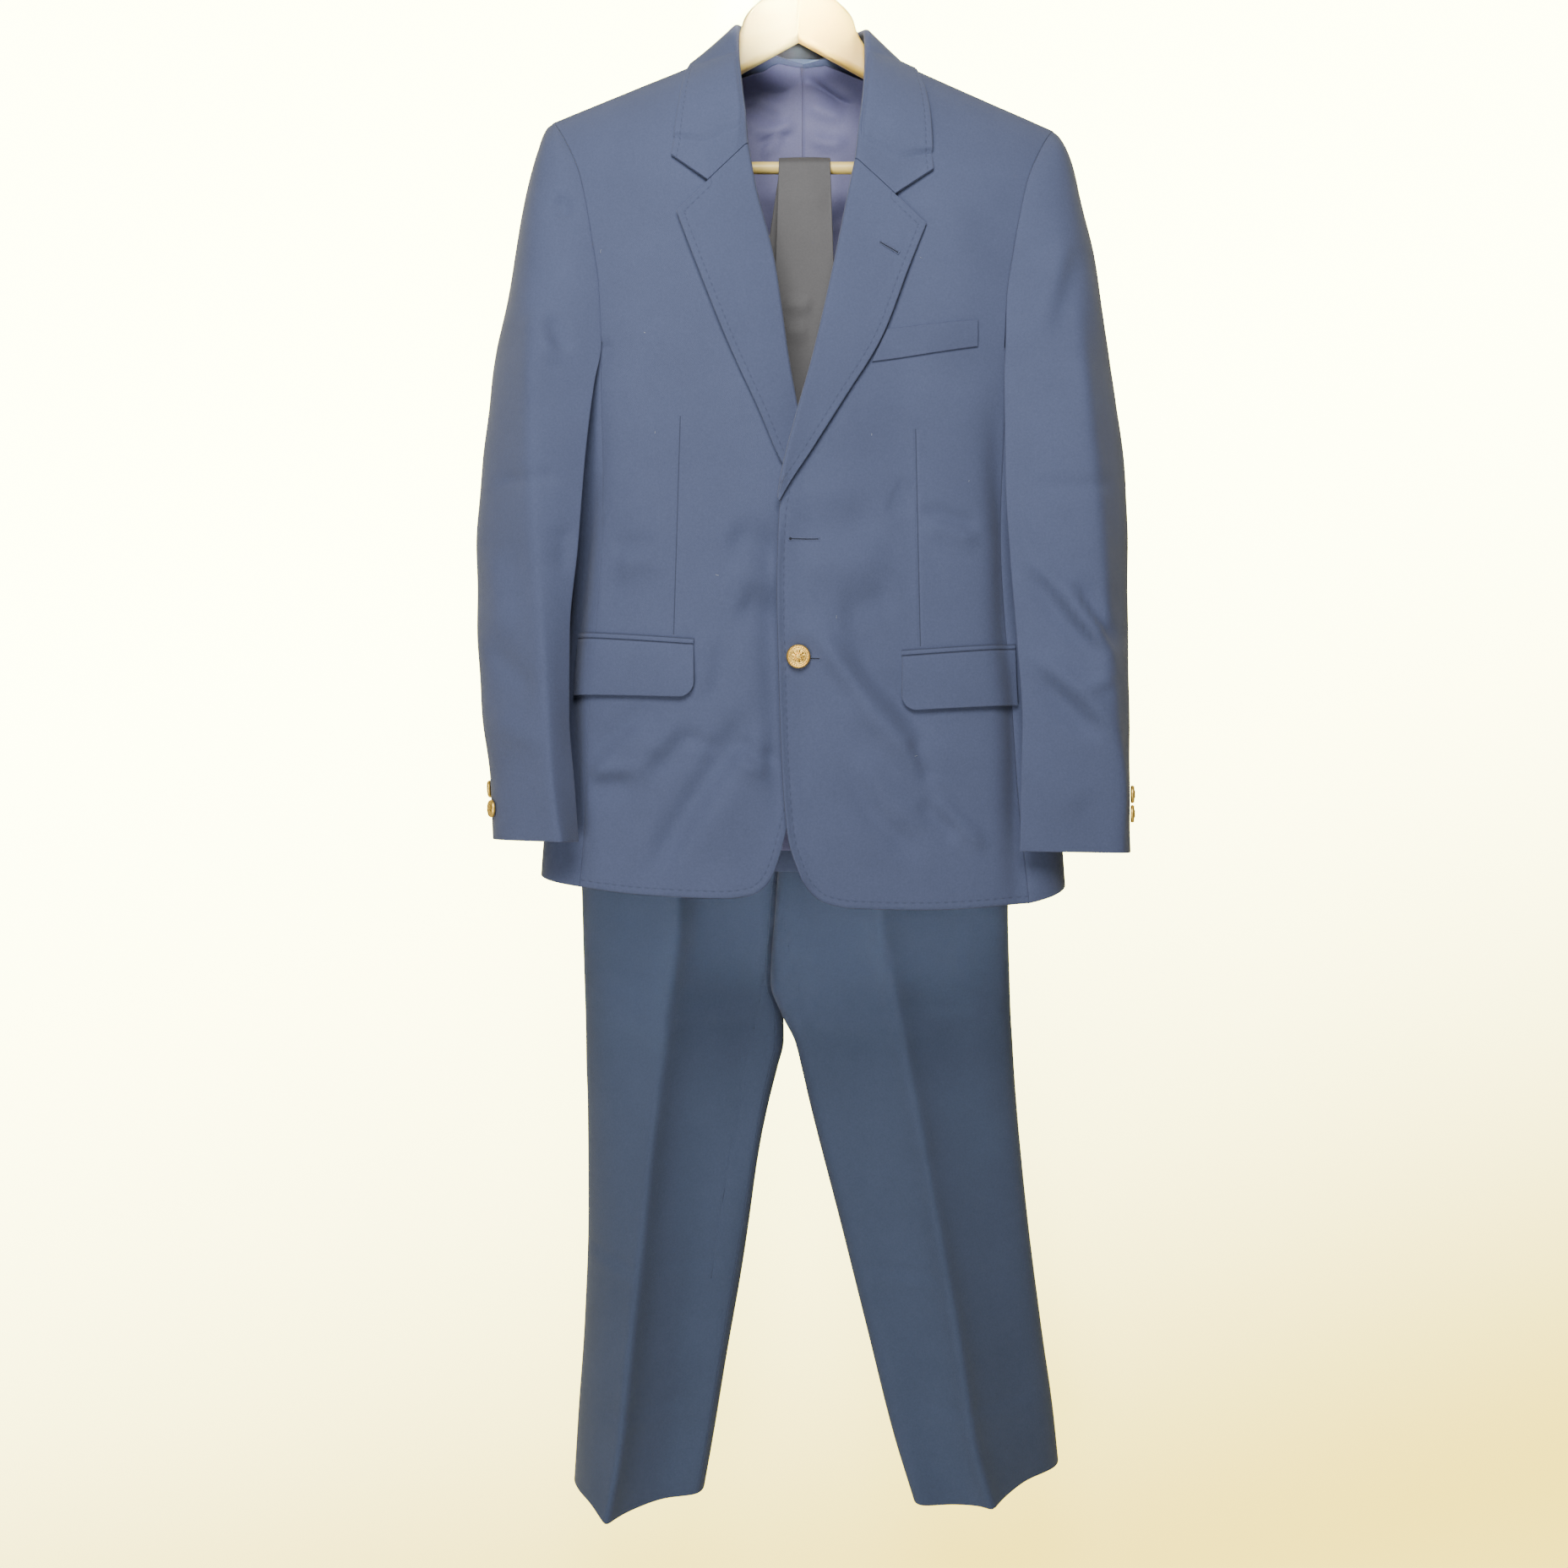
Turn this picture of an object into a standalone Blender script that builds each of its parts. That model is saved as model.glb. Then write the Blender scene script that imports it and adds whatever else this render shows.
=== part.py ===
# A school uniform on its hanger: a two-button blazer, the trousers behind it and a necktie over the bar.
# +X is to the right seen from the front, the front faces -Y, +Z is up. Left and right in the names are
# the wearer's, so left is +X. The origin is the inner top of the hanger's hook, where a peg holds it.
# Tables are in millimetres; table() turns them into metres.

import math

import bpy
import numpy as np

mm = 0.001

# Driving dimensions
clothBlazer = 2.0 * mm  # fronts, sides and backs, with their canvas
clothSleeve = 1.6 * mm
clothTrouser = 1.4 * mm
clothLapel = 2.6 * mm
clothLining = 1.0 * mm
clothTie = 2.6 * mm
seamGap = 0.2 * mm  # each side of a seam
jacketShift = 4 * mm  # the blazer hangs this far to its left on the hanger
jacketTilt = -0.016  # and a little lower on that side
shoulderHalf = 217 * mm  # centre to the top of the armhole
neckHalf = 88 * mm
neckHeight = -140 * mm
shoulderSlope = 0.419
ridgeRound = 20 * mm
sideCurve = 3.0  # exponent of the body's rounding towards its sides
armholeFoot = -395 * mm  # where the sleeve's two seams start
barHeight = -229 * mm
barRadius = 5.2 * mm
frontButtonRadius = 10 * mm
cuffButtonRadius = 7.5 * mm
hookWire = 2 * mm  # radius of the wire of both hooks and of the clip hanger's stem
hookInner = 20 * mm
hookSpacing = 4.3 * mm  # from one hook's plane to the other's
rodRadius = 3 * mm
rodCentre = (98 * mm, -440 * mm)  # the clip hanger's rod, as y and z
rodHalf = 150 * mm
clipAt = 120 * mm
liningHalf = 176 * mm
tieCentre = 5.3 * mm
tieTip = -782 * mm
tieNarrowDrop = 545  # millimetres from the bar down to the narrow end's tip


def table(columns, *rows):
    names = columns.split()
    return {name: np.array([row[i] for row in rows]) * mm for i, name in enumerate(names)}


# The body of the blazer: half width, and depth in front of and behind its middle plane.
bodyTable = table("z side front back",
    (-890, 229, 58, 65),
    (-850, 227, 59, 65),
    (-700, 214, 60, 60),
    (-550, 203, 61, 56),
    (-430, 205, 63, 65),
    (-395, 209, 63, 67),
    (-300, 235, 57, 67),
    (-200, 260, 48, 63),
    (-140, 272, 41, 61),
    (-90, 280, 36, 59))

# The armholes, as distance from the blazer's middle at each height.
armholeTable = table("z front back",
    (-395, 169, 190),
    (-352, 171, 193),
    (-315, 176.5, 197),
    (-275, 184, 202),
    (-250, 190, 205),
    (-215, 205, 212),
    (-194, 217, 217))

# The left front's edge from its rounded corner up to the neck, and its hem towards the side.
frontLeftEdge = table("x z",
    (6, -851), (-3, -832), (-9.7, -808), (-14.6, -745), (-17, -675), (-18.5, -604), (-17, -545),
    (-9, -503), (7, -458), (20, -409), (36, -337), (54, -240), (60, -200), (72, -163), (88, -137.4))
frontLeftHem = table("x z", (6, -851), (20, -863.5), (45, -869), (108, -870.6), (196, -866))
# The right front passes under the left one.
frontRightEdge = table("x z",
    (-26, -848), (-19, -834), (-11, -806), (0, -760), (9, -710), (16, -660), (17, -604), (16, -545),
    (8, -503), (-8.5, -458), (-16, -409), (-30, -323), (-45, -240), (-54, -190), (-66, -155), (-82, -132))
frontRightHem = table("x z", (-26, -848), (-40, -858), (-62, -861), (-131, -858), (-188, -852))

# Distance from the blazer's middle to the seams in front of and behind each side body.
sideSeams = table("z front back",
    (-870, 192, 203), (-700, 181, 192), (-550, 171, 183), (-430, 171, 187), (-395, 169, 190))
backNeck = table("x z", (0, -116), (20, -117), (40, -121), (60, -129), (75, -136.5), (84, -138.4))
backHem = -845 * mm

# Lapels: the roll line and the free edge, from the gorge seam down to where they meet.
lapelLeft = table("rollX rollZ edgeX edgeZ",
    (47.4, -235.6, 106.6, -296.5),
    (40, -275, 93, -331),
    (27.6, -337, 69.3, -392.5),
    (11.3, -409, 38, -445),
    (-2, -458, 12, -487),
    (-13.5, -503, -8, -517),
    (-18.6, -532, -17.6, -534))
lapelRight = table("rollX rollZ edgeX edgeZ",
    (-43.1, -221.4, -102, -284.5),
    (-36, -265, -88, -325),
    (-21.7, -323, -60.1, -395.5),
    (-7.6, -416, -33, -455),
    (-0.1, -458, -12, -501),
    (9, -503, 6, -519),
    (15.6, -532, 15.2, -534))

# The collar, from its right end at the gorge round the neck to the left: fold, free edge, neck seam.
collarTable = table("at foldX foldY foldZ edgeX edgeY edgeZ seamX seamY seamZ",
    (0, -43.1, -53, -221.4, -107, -53, -235, -46.5, -47, -222),
    (50, -50, -41, -175, -100.5, -38, -191, -58, -36, -180),
    (92, -52.5, -24, -135, -96, -20, -155, -68, -21, -150),
    (128, -53, -5, -108, -92, -2, -139, -72, -3, -134),
    (146, -51.5, 13, -100, -88, 18, -136.5, -68, 15, -130),
    (162, -46, 30, -95.5, -80, 38, -134, -58, 33, -124),
    (192, -25, 49, -90.5, -46, 66, -133, -31, 52, -118),
    (220, 0, 55, -89.5, 2, 71, -132, 2, 57, -116),
    (248, 27, 49, -92, 50, 66, -135, 35, 52, -119),
    (278, 52, 30, -99, 87, 38, -139, 62, 33, -127),
    (294, 57, 13, -104.5, 95, 18, -141, 71, 15, -129.5),
    (312, 58.5, -5, -112, 98, -2, -146, 77, -4, -138.5),
    (348, 58, -25, -141, 104, -21, -167, 73, -22, -156),
    (392, 54.5, -42, -188, 110, -39, -207, 62, -37, -190),
    (440, 47.4, -54, -235.6, 114, -54, -249, 50.5, -48, -236))

# Sleeves: the seam in front, the pressed crease, the outermost line, the back, the elbow seam and
# the inner side, as distances from the blazer's middle, and how far back each lies.
sleeveLeft = table("z seamX seamY foldX foldY outX outY backX backY elbowX elbowY inX inY",
    (-818.5, 180.5, -60, 268, -62, 277, -38, 262, -8, 246, 2, 227, -20),
    (-772, 181, -61, 270, -66, 276.5, -34, 260, 2, 240, 12, 222, -12),
    (-710, 182, -62, 261, -74, 278, -28, 258, 18, 232, 26, 216, -4),
    (-640, 177.5, -61, 253, -78, 278, -22, 252, 36, 222, 38, 210, 0),
    (-572, 172, -60, 249, -78, 279, -14, 246, 52, 212, 48, 207, 0),
    (-505, 168.5, -58, 243, -76, 278.5, -8, 240, 62, 204, 50, 207, 0),
    (-431, 168, -54, 236, -73, 270.5, -4, 234, 66, 196, 46, 208, 0),
    (-395, 169, -49, 233, -71, 266, 0, 230, 64, 190, 42, 208, 0),
    (-344, 171, -46, 228, -66, 259.5, 2, 226, 60, 193, 44, 208, 0),
    (-300, 178, -42, 226, -58, 252.5, 3, 224, 53, 198, 42, 208, 0),
    (-259, 188, -35, 225, -46, 243, 4, 222, 44, 204, 38, 208, 0),
    (-220, 204, -25, 222, -30, 233, 5, 220, 32, 212, 28, 214, 0),
    (-200, 214, -8, 219, -11, 224, 3, 218, 13, 215, 10, 217, 0),
    (-194, 217, 0, 217.6, 0, 218, 0, 217.6, 0, 217, 0, 217, 0))
sleeveRight = table("z seamX seamY foldX foldY outX outY backX backY elbowX elbowY inX inY",
    (-816, 187.5, -60, 198, -88, 264, -38, 260, -12, 246, 2, 227, -20),
    (-772, 190.5, -61, 205, -88, 267.5, -34, 260, 0, 240, 12, 222, -12),
    (-710, 195, -62, 210, -86, 274, -28, 258, 16, 232, 26, 216, -4),
    (-640, 194.5, -62, 215, -83, 279.5, -22, 252, 36, 222, 38, 210, 0),
    (-570, 188, -61, 221, -80, 281, -16, 246, 52, 212, 48, 207, 0),
    (-491, 182, -58, 226, -76, 277, -8, 240, 62, 204, 50, 207, 0),
    (-431, 175, -54, 227, -74, 271, -4, 234, 66, 196, 46, 208, 0),
    (-395, 169, -49, 227.5, -71, 266, 0, 230, 64, 190, 42, 208, 0),
    (-344, 171, -46, 228.5, -66, 255.5, 2, 226, 60, 193, 44, 208, 0),
    (-300, 178, -42, 228, -58, 249, 3, 224, 53, 198, 42, 208, 0),
    (-259, 188, -35, 226, -46, 241, 4, 222, 44, 204, 38, 208, 0),
    (-220, 204, -25, 222, -30, 231, 5, 220, 32, 212, 28, 214, 0),
    (-200, 214, -8, 219, -11, 224, 3, 218, 13, 215, 10, 217, 0),
    (-194, 217, 0, 217.6, 0, 218, 0, 217.6, 0, 217, 0, 217, 0))

# Trouser legs: side seam, front crease, inner edge in front and behind, back crease.
legRight = table("z outX outY foldX foldY inX inFrontY inBackY backX backY",
    (-1411, -208, 105, -170, 27, -86, 92, 92, -146, 170),
    (-1356, -205, 108, -159, 34, -76, 98, 98, -140, 172),
    (-1264, -199, 110, -149, 42, -60, 104, 104, -130, 174),
    (-1170, -196, 112, -139, 50, -44, 108, 108, -122, 174),
    (-1059, -197, 114, -127, 59, -25.2, 112, 112, -118, 171),
    (-1030, -198, 114, -124, 62, -18.5, 114, 114, -118, 170),
    (-1005, -198.5, 115, -121, 65, -12.9, 117, 117, -118, 168),
    (-980, -199, 115, -118.5, 67, -13.4, 120, 120, -118, 167),
    (-950, -200, 115, -115, 70, -22.6, 122, 122, -119, 165),
    (-882, -202, 115, -107.6, 73, -19, 122, 122, -122, 160),
    (-800, -204, 112, -110, 75, -12, 118, 118, -120, 154),
    (-705, -205, 108, -112, 78, -2, 110, 114, -116, 148),
    (-660, -204, 105, -111, 80, -0.2, 90, 134, -113, 140),
    (-600, -200, 101, -108, 84, -0.2, 84, 130, -108, 128),
    (-540, -196, 99, -104, 89, -0.2, 88, 116, -104, 112),
    (-491, -190, 98, -100, 93, -0.2, 94, 103, -100, 103))
legLeft = table("z outX outY foldX foldY inX inFrontY inBackY backX backY",
    (-1411, 247, 128, 174, 34, 105, 56, 56, 166, 176),
    (-1356, 241, 122, 158, 40, 87, 72, 72, 152, 178),
    (-1264, 228, 116, 144, 46, 63, 92, 92, 134, 178),
    (-1170, 216, 114, 127, 52, 39, 106, 106, 116, 178),
    (-1059, 205.5, 115, 107, 59, 10.4, 110, 110, 101, 173),
    (-1030, 203.5, 115, 101, 62, 3.8, 108, 108, 98, 171),
    (-1005, 202, 115, 96.5, 65, -2.5, 106, 106, 95, 169),
    (-980, 200.5, 115, 92, 67, -14.9, 104, 104, 93, 167),
    (-950, 199.5, 115, 86, 70, -25.2, 102, 102, 92, 165),
    (-882, 198, 115, 75, 72, -21, 101, 101, 92, 160),
    (-800, 200, 112, 90, 75, -14, 104, 104, 96, 154),
    (-705, 204, 108, 108, 78, 1, 110, 114, 108, 148),
    (-660, 203, 105, 109, 80, 0.2, 90, 134, 111, 140),
    (-600, 200, 101, 107, 84, 0.2, 84, 130, 108, 128),
    (-540, 196, 99, 104, 89, 0.2, 88, 116, 104, 112),
    (-491, 190, 98, 100, 93, 0.2, 94, 103, 100, 103))

# The lapped left front stands this far forward at each height, to pass over the lapel and a button.
lapLift = table("z lift",
    (-890, 3.6), (-700, 4), (-640, 6), (-600, 9), (-540, 11), (-470, 10.5), (-420, 7), (-360, 1), (-300, 0),
    (-90, 0))

# Rows round the collar, closest where it crosses the shoulders; the label's ends, counted in them.
collarStations = (0, 24, 48, 70, 90, 104, 116, 126, 136, 148, 162, 182, 202, 220, 238, 258, 278, 292, 302, 312,
    322, 334, 348, 368, 392, 416)
labelRows = (11.6, 14.5)


def curveThrough(xs, ys, x):
    # A smooth curve through points that never overshoots them.
    order = np.argsort(xs)
    xs, ys = np.asarray(xs, float)[order], np.asarray(ys, float)[order]
    step = np.diff(xs)
    rise = np.diff(ys) / step
    slope = np.zeros(len(xs))
    slope[0], slope[-1] = rise[0], rise[-1]
    for i in range(1, len(xs) - 1):
        if rise[i - 1] * rise[i] > 0:
            weightA, weightB = 2 * step[i] + step[i - 1], step[i] + 2 * step[i - 1]
            slope[i] = (weightA + weightB) / (weightA / rise[i - 1] + weightB / rise[i])
    x = np.clip(np.asarray(x, float), xs[0], xs[-1])
    k = np.clip(np.searchsorted(xs, x) - 1, 0, len(xs) - 2)
    t = (x - xs[k]) / step[k]
    return ((1 + 2 * t) * (1 - t) ** 2 * ys[k] + t * (1 - t) ** 2 * step[k] * slope[k]
            + t * t * (3 - 2 * t) * ys[k + 1] + t * t * (t - 1) * step[k] * slope[k + 1])


def at(rows, column, z):
    return curveThrough(rows["z"], rows[column], z)


def smoothStep(low, high, x):
    t = np.clip((np.asarray(x, float) - low) / (high - low), 0, 1)
    return t * t * (3 - 2 * t)


def unit(v):
    return v / np.maximum(np.linalg.norm(v, axis=-1, keepdims=True), 1e-12)


# ---- the blazer's body as one surface: x across, drop below the shoulder ridge, front or back


def ridgeHeight(x):
    across = x - jacketShift
    return neckHeight - shoulderSlope * (np.abs(across) - neckHalf) + jacketTilt * across


def ridgeDrop(x, side):
    # Height over which the shoulder rounds from its ridge to full depth: short at the neck.
    atNeck = (70 if side == "front" else 30) * mm
    return atNeck + (120 * mm - atNeck) * smoothStep(40 * mm, 180 * mm, np.abs(x - jacketShift))


def bodyDepth(x, z, side):
    level = z - jacketTilt * (x - jacketShift)
    reach = np.minimum(np.abs(x - jacketShift) / at(bodyTable, "side", level), 0.9999)
    depth = at(bodyTable, side, level) * (1 - reach ** sideCurve) ** (1 / sideCurve)
    drop = np.clip((ridgeHeight(x) - z) / ridgeDrop(x, side), 0, 1)
    return depth * np.sqrt(np.maximum(1 - (1 - drop) ** 2, 0))


def panelLift(x, z, which):
    if which == "left":
        return at(lapLift, "lift", z) * (1 - smoothStep(20 * mm, 95 * mm, x))
    return np.zeros(np.shape(x))


def bodyPoint(x, z, side, which="", lift=0.0):
    # A point on the front or back of the body, moved outward by lift.
    x, z = np.broadcast_arrays(np.asarray(x, float), np.asarray(z, float))
    forward = -1.0 if side == "front" else 1.0

    def surface(xx, zz):
        return forward * (bodyDepth(xx, zz, side) + panelLift(xx, zz, which))

    small = 0.4 * mm
    y = surface(x, z)
    upper = np.minimum(z + small, ridgeHeight(x) - 0.001 * mm)
    slopeX = (surface(x + small, z) - surface(x - small, z)) / (2 * small)
    slopeZ = (surface(x, upper) - surface(x, z - small)) / (upper - z + small)
    normal = unit(np.stack([-slopeX, np.ones(x.shape), -slopeZ], -1)) * forward
    return np.stack([x, y, z], -1) + normal * np.asarray(lift)[..., None], normal


def toRoll(x, z):
    # Distance over the rounded ridge for a height, and back again in fromRoll.
    return np.sqrt(np.maximum(ridgeHeight(x) - z, 0) * (ridgeHeight(x) - z + 2 * ridgeRound))


def fromRoll(x, roll):
    return ridgeHeight(x) - (np.sqrt(roll ** 2 + ridgeRound ** 2) - ridgeRound)


# ---- meshes


def material(name, colour, roughness, metallic=0.0):
    made = bpy.data.materials.get(name) or bpy.data.materials.new(name)
    made.use_nodes = True
    shader = made.node_tree.nodes["Principled BSDF"]
    shader.inputs["Base Color"].default_value = (*colour, 1)
    shader.inputs["Roughness"].default_value = roughness
    shader.inputs["Metallic"].default_value = metallic
    return made


def addObject(name, points, faces, surface):
    mesh = bpy.data.meshes.new(name)
    mesh.from_pydata([tuple(p) for p in points], [], faces)
    mesh.materials.append(surface)
    mesh.validate()
    mesh.shade_smooth()
    mesh.set_sharp_from_angle(angle=math.radians(40))
    made = bpy.data.objects.new(name, mesh)
    bpy.context.collection.objects.link(made)
    return made


def shell(name, outer, inner, surface):
    # A closed wall between two grids of points of the same shape.
    rows, columns = outer.shape[:2]
    count = rows * columns
    faces = []

    def cell(i, j):
        return i * columns + j

    def quad(a, b, c, d):
        faces.append((a, b, c))
        faces.append((a, c, d))

    for i in range(rows - 1):
        for j in range(columns - 1):
            a, b, c, d = cell(i, j), cell(i, j + 1), cell(i + 1, j + 1), cell(i + 1, j)
            quad(a, b, c, d)
            quad(count + a, count + d, count + c, count + b)
    rim = [cell(0, j) for j in range(columns)]
    rim += [cell(i, columns - 1) for i in range(1, rows)]
    rim += [cell(rows - 1, j) for j in range(columns - 2, -1, -1)]
    rim += [cell(i, 0) for i in range(rows - 2, 0, -1)]
    for a, b in zip(rim, rim[1:] + rim[:1]):
        quad(b, a, count + a, count + b)
    points = np.concatenate([outer.reshape(-1, 3), inner.reshape(-1, 3)])
    volume = sum(np.dot(points[a], np.cross(points[b], points[c])) for a, b, c in faces)
    if volume < 0:
        faces = [face[::-1] for face in faces]
    return addObject(name, points, faces, surface)


def gridNormals(grid, toward):
    # Vertex normals of a grid, turned to the side that toward(grid) gives.
    alongRows = np.gradient(grid, axis=0)
    alongColumns = np.gradient(grid, axis=1)
    normal = unit(np.cross(alongColumns, alongRows))
    return normal if (normal * toward).sum() > 0 else -normal


def pulledIn(grid, left=True, right=True):
    # The grid with its side columns drawn in by the seam gap.
    moved = grid.copy()
    if left:
        moved[:, 0] += unit(grid[:, 1] - grid[:, 0]) * seamGap
    if right:
        moved[:, -1] += unit(grid[:, -2] - grid[:, -1]) * seamGap
    return moved


def coons(bottom, top, left, right):
    # A grid between four edges; bottom and top share a count, as do left and right.
    s = np.linspace(0, 1, len(bottom))[None, :, None]
    t = np.linspace(0, 1, len(left))[:, None, None]
    ruled = (1 - t) * bottom[None] + t * top[None] + (1 - s) * left[:, None] + s * right[:, None]
    corners = ((1 - s) * (1 - t) * bottom[0] + s * (1 - t) * bottom[-1]
               + (1 - s) * t * top[0] + s * t * top[-1])
    return ruled - corners


def along(points, count, shares=None):
    # count points along a line through the given ones, evenly or at given shares of its length.
    points = np.asarray(points, float)
    length = np.concatenate([[0], np.cumsum(np.linalg.norm(np.diff(points, axis=0), axis=1))])
    wanted = (np.linspace(0, 1, count) if shares is None else np.asarray(shares)) * length[-1]
    return np.stack([curveThrough(length, points[:, k], wanted) for k in range(points.shape[1])], -1)


# ---- the blazer's body

armholeHeights = [z * mm for z in (-194.3, -200, -212, -232, -262, -300, -345)]  # above its foot
seamShares = (0, 0.07, 0.16, 0.27, 0.4, 0.53, 0.66, 0.79, 0.9, 1)  # down the side seams


def placed(across, level, sign):
    # Distance from the blazer's middle and level on it, as x and z.
    return jacketShift + sign * across, level + jacketTilt * sign * across


def sideLine(sign, side, hemLevel):
    # The armhole and the side seam of one panel, from the shoulder down, as x and z.
    levels = armholeHeights + [armholeFoot + share * (hemLevel - armholeFoot) for share in seamShares]
    rows = [placed(at(armholeTable, side, z) if z > armholeFoot else at(sideSeams, side, z), z, sign)
            for z in levels]
    return np.array(rows, float)


def panelGrid(sign, side, which, edgeLine, hemLine, topLine, seamLine):
    # Points and normals of a front or back panel between its four edges, given as x and z.
    def rolled(line):
        x, z = np.asarray(line, float).T
        return np.stack([x, toRoll(x, np.minimum(z, ridgeHeight(x)))], -1)

    edgeLine[0], edgeLine[-1] = topLine[0], hemLine[0]
    seamLine[0], seamLine[-1] = topLine[-1], hemLine[-1]
    flat = coons(rolled(hemLine), rolled(topLine), rolled(edgeLine)[::-1], rolled(seamLine)[::-1])
    x, roll = flat[..., 0], np.maximum(flat[..., 1], 0.1 * mm)
    grid, normal = bodyPoint(x, fromRoll(x, roll), side, which)
    # Along the shoulder seam the wall is upright.
    onSeam = flat[-1, :, 1] < 1 * mm
    grid[-1, onSeam, 1] = (-1 if side == "front" else 1) * seamGap
    normal[-1, onSeam, 1] = 0
    return grid, unit(normal)


def panelSolid(name, grid, normal, surface, cloth=clothBlazer):
    grid = pulledIn(grid)
    return shell(name, grid, grid - normal * cloth, surface)


def hemFrontLevel(sign):
    hem = frontLeftHem if sign > 0 else frontRightHem
    return hem["z"][-1] - jacketTilt * (hem["x"][-1] - jacketShift)


def frontPanel(which, surface):
    sign = 1 if which == "left" else -1
    edge, hem = (frontLeftEdge, frontLeftHem) if which == "left" else (frontRightEdge, frontRightHem)
    seamLine = sideLine(sign, "front", hemFrontLevel(sign))
    seamLine[-1, 1] = hem["z"][-1]
    # The front edge has a point level with each row of the side line.
    levels = np.interp(seamLine[:, 1], [seamLine[-1, 1], armholeFoot, seamLine[0, 1]],
                       [edge["z"][0], armholeFoot, edge["z"][-1]])
    edgeLine = np.stack([curveThrough(edge["z"], edge["x"], levels), levels], -1)
    shares = np.array([0, 0.06, 0.13, 0.22, 0.34, 0.48, 0.62, 0.75, 0.88, 1])
    hemLine = along(np.stack([hem["x"], hem["z"]], -1), len(shares), shares)
    hemLine[-1] = seamLine[-1]
    across = edgeLine[0, 0] + (seamLine[0, 0] - edgeLine[0, 0]) * shares
    topLine = np.stack([across, ridgeHeight(across)], -1)
    grid, normal = panelGrid(sign, "front", which, edgeLine, hemLine, topLine, seamLine)
    return panelSolid("jacket_front_" + which, grid, normal, surface)


def backPanel(which, surface):
    sign = 1 if which == "left" else -1
    seamLine = sideLine(sign, "back", backHem)
    across = np.array([0, 28, 56, 84, 117, 150, 184, 217]) * mm
    neck = curveThrough(backNeck["x"], backNeck["z"], across)
    x, z = placed(across, neck, sign)
    topLine = np.stack([x, np.where(across > 83 * mm, ridgeHeight(x), z)], -1)
    hemAcross = np.linspace(0, at(sideSeams, "back", backHem), len(across))
    hemLine = np.stack(placed(hemAcross, np.full(len(across), backHem), sign), -1)
    levels = np.interp(seamLine[:, 1], [seamLine[-1, 1], seamLine[0, 1]], [backHem, topLine[0, 1]])
    edgeLine = np.stack([np.full(len(levels), jacketShift), levels], -1)
    grid, normal = panelGrid(sign, "back", which, edgeLine, hemLine, topLine, seamLine)
    return panelSolid("jacket_back_" + which, grid, normal, surface)


def sideLevels(columns, hemFront):
    # Levels of a side body's points: the top sags into the foot of the armhole.
    s = np.linspace(0, 1, columns)[None, :]
    share = np.array(seamShares)[:, None]
    hem = hemFront + (backHem - hemFront) * (1 - (1 - s) ** 3)
    sag = 37 * mm * (1 - share) ** 4 * np.sin(np.pi * s) ** 0.8
    return armholeFoot - seamGap + share * (hem - armholeFoot + seamGap) - sag


def sidePoints(levels, sign):
    # Points round the side of the body, even from its front seam to its back seam.
    half = at(bodyTable, "side", levels)
    s = np.linspace(0, 1, levels.shape[1])[None, :]

    def share(side):
        return (1 - (at(sideSeams, side, levels) / half) ** sideCurve) ** (1 / sideCurve)

    depth = -share("front") * (1 - s) + share("back") * s
    across = half * (1 - np.abs(depth) ** sideCurve) ** (1 / sideCurve)
    y = depth * np.where(depth < 0, at(bodyTable, "front", levels), at(bodyTable, "back", levels))
    x, z = placed(across, levels, sign)
    return np.stack([x, y, z], -1)


def bodyField(points):
    # Below the armholes: 0 on the body, negative inside it.
    x, y, z = points[..., 0], points[..., 1], points[..., 2]
    level = z - jacketTilt * (x - jacketShift)
    depth = np.where(y < 0, at(bodyTable, "front", level), at(bodyTable, "back", level))
    reach = np.abs(x - jacketShift) / at(bodyTable, "side", level)
    return reach ** sideCurve + (np.abs(y) / depth) ** sideCurve - 1


def fieldNormal(points):
    small = 0.3 * mm
    steps = np.eye(3) * small
    slope = np.stack([bodyField(points + step) - bodyField(points - step) for step in steps], -1)
    slope = slope / (2 * small)
    return unit(slope), np.linalg.norm(slope, axis=-1)


def clearOfBody(points, gap):
    # The points, moved out where they come nearer to the body than the gap.
    for _ in range(4):
        normal, steep = fieldNormal(points)
        short = gap - bodyField(points) / steep
        points = points + normal * np.maximum(short, 0)[..., None]
    return points


def sidePanel(which, surface):
    sign = 1 if which == "left" else -1
    grid = sidePoints(sideLevels(7, hemFrontLevel(sign)), sign)
    return panelSolid("jacket_side_" + which, grid, fieldNormal(grid)[0], surface)


# ---- sleeves


def hermite(start, end, startWay, endWay, steps):
    # Points of a smooth curve; a way of None leaves that end free.
    chord = end - start
    length = np.linalg.norm(chord, axis=-1, keepdims=True)
    startTangent = chord if startWay is None else np.asarray(startWay, float) * length
    endTangent = chord if endWay is None else np.asarray(endWay, float) * length
    t = np.linspace(0, 1, steps + 1)[:, None, None]
    return ((2 * t ** 3 - 3 * t * t + 1) * start + (t ** 3 - 2 * t * t + t) * startTangent
            + (3 * t * t - 2 * t ** 3) * end + (t ** 3 - t * t) * endTangent)


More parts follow.
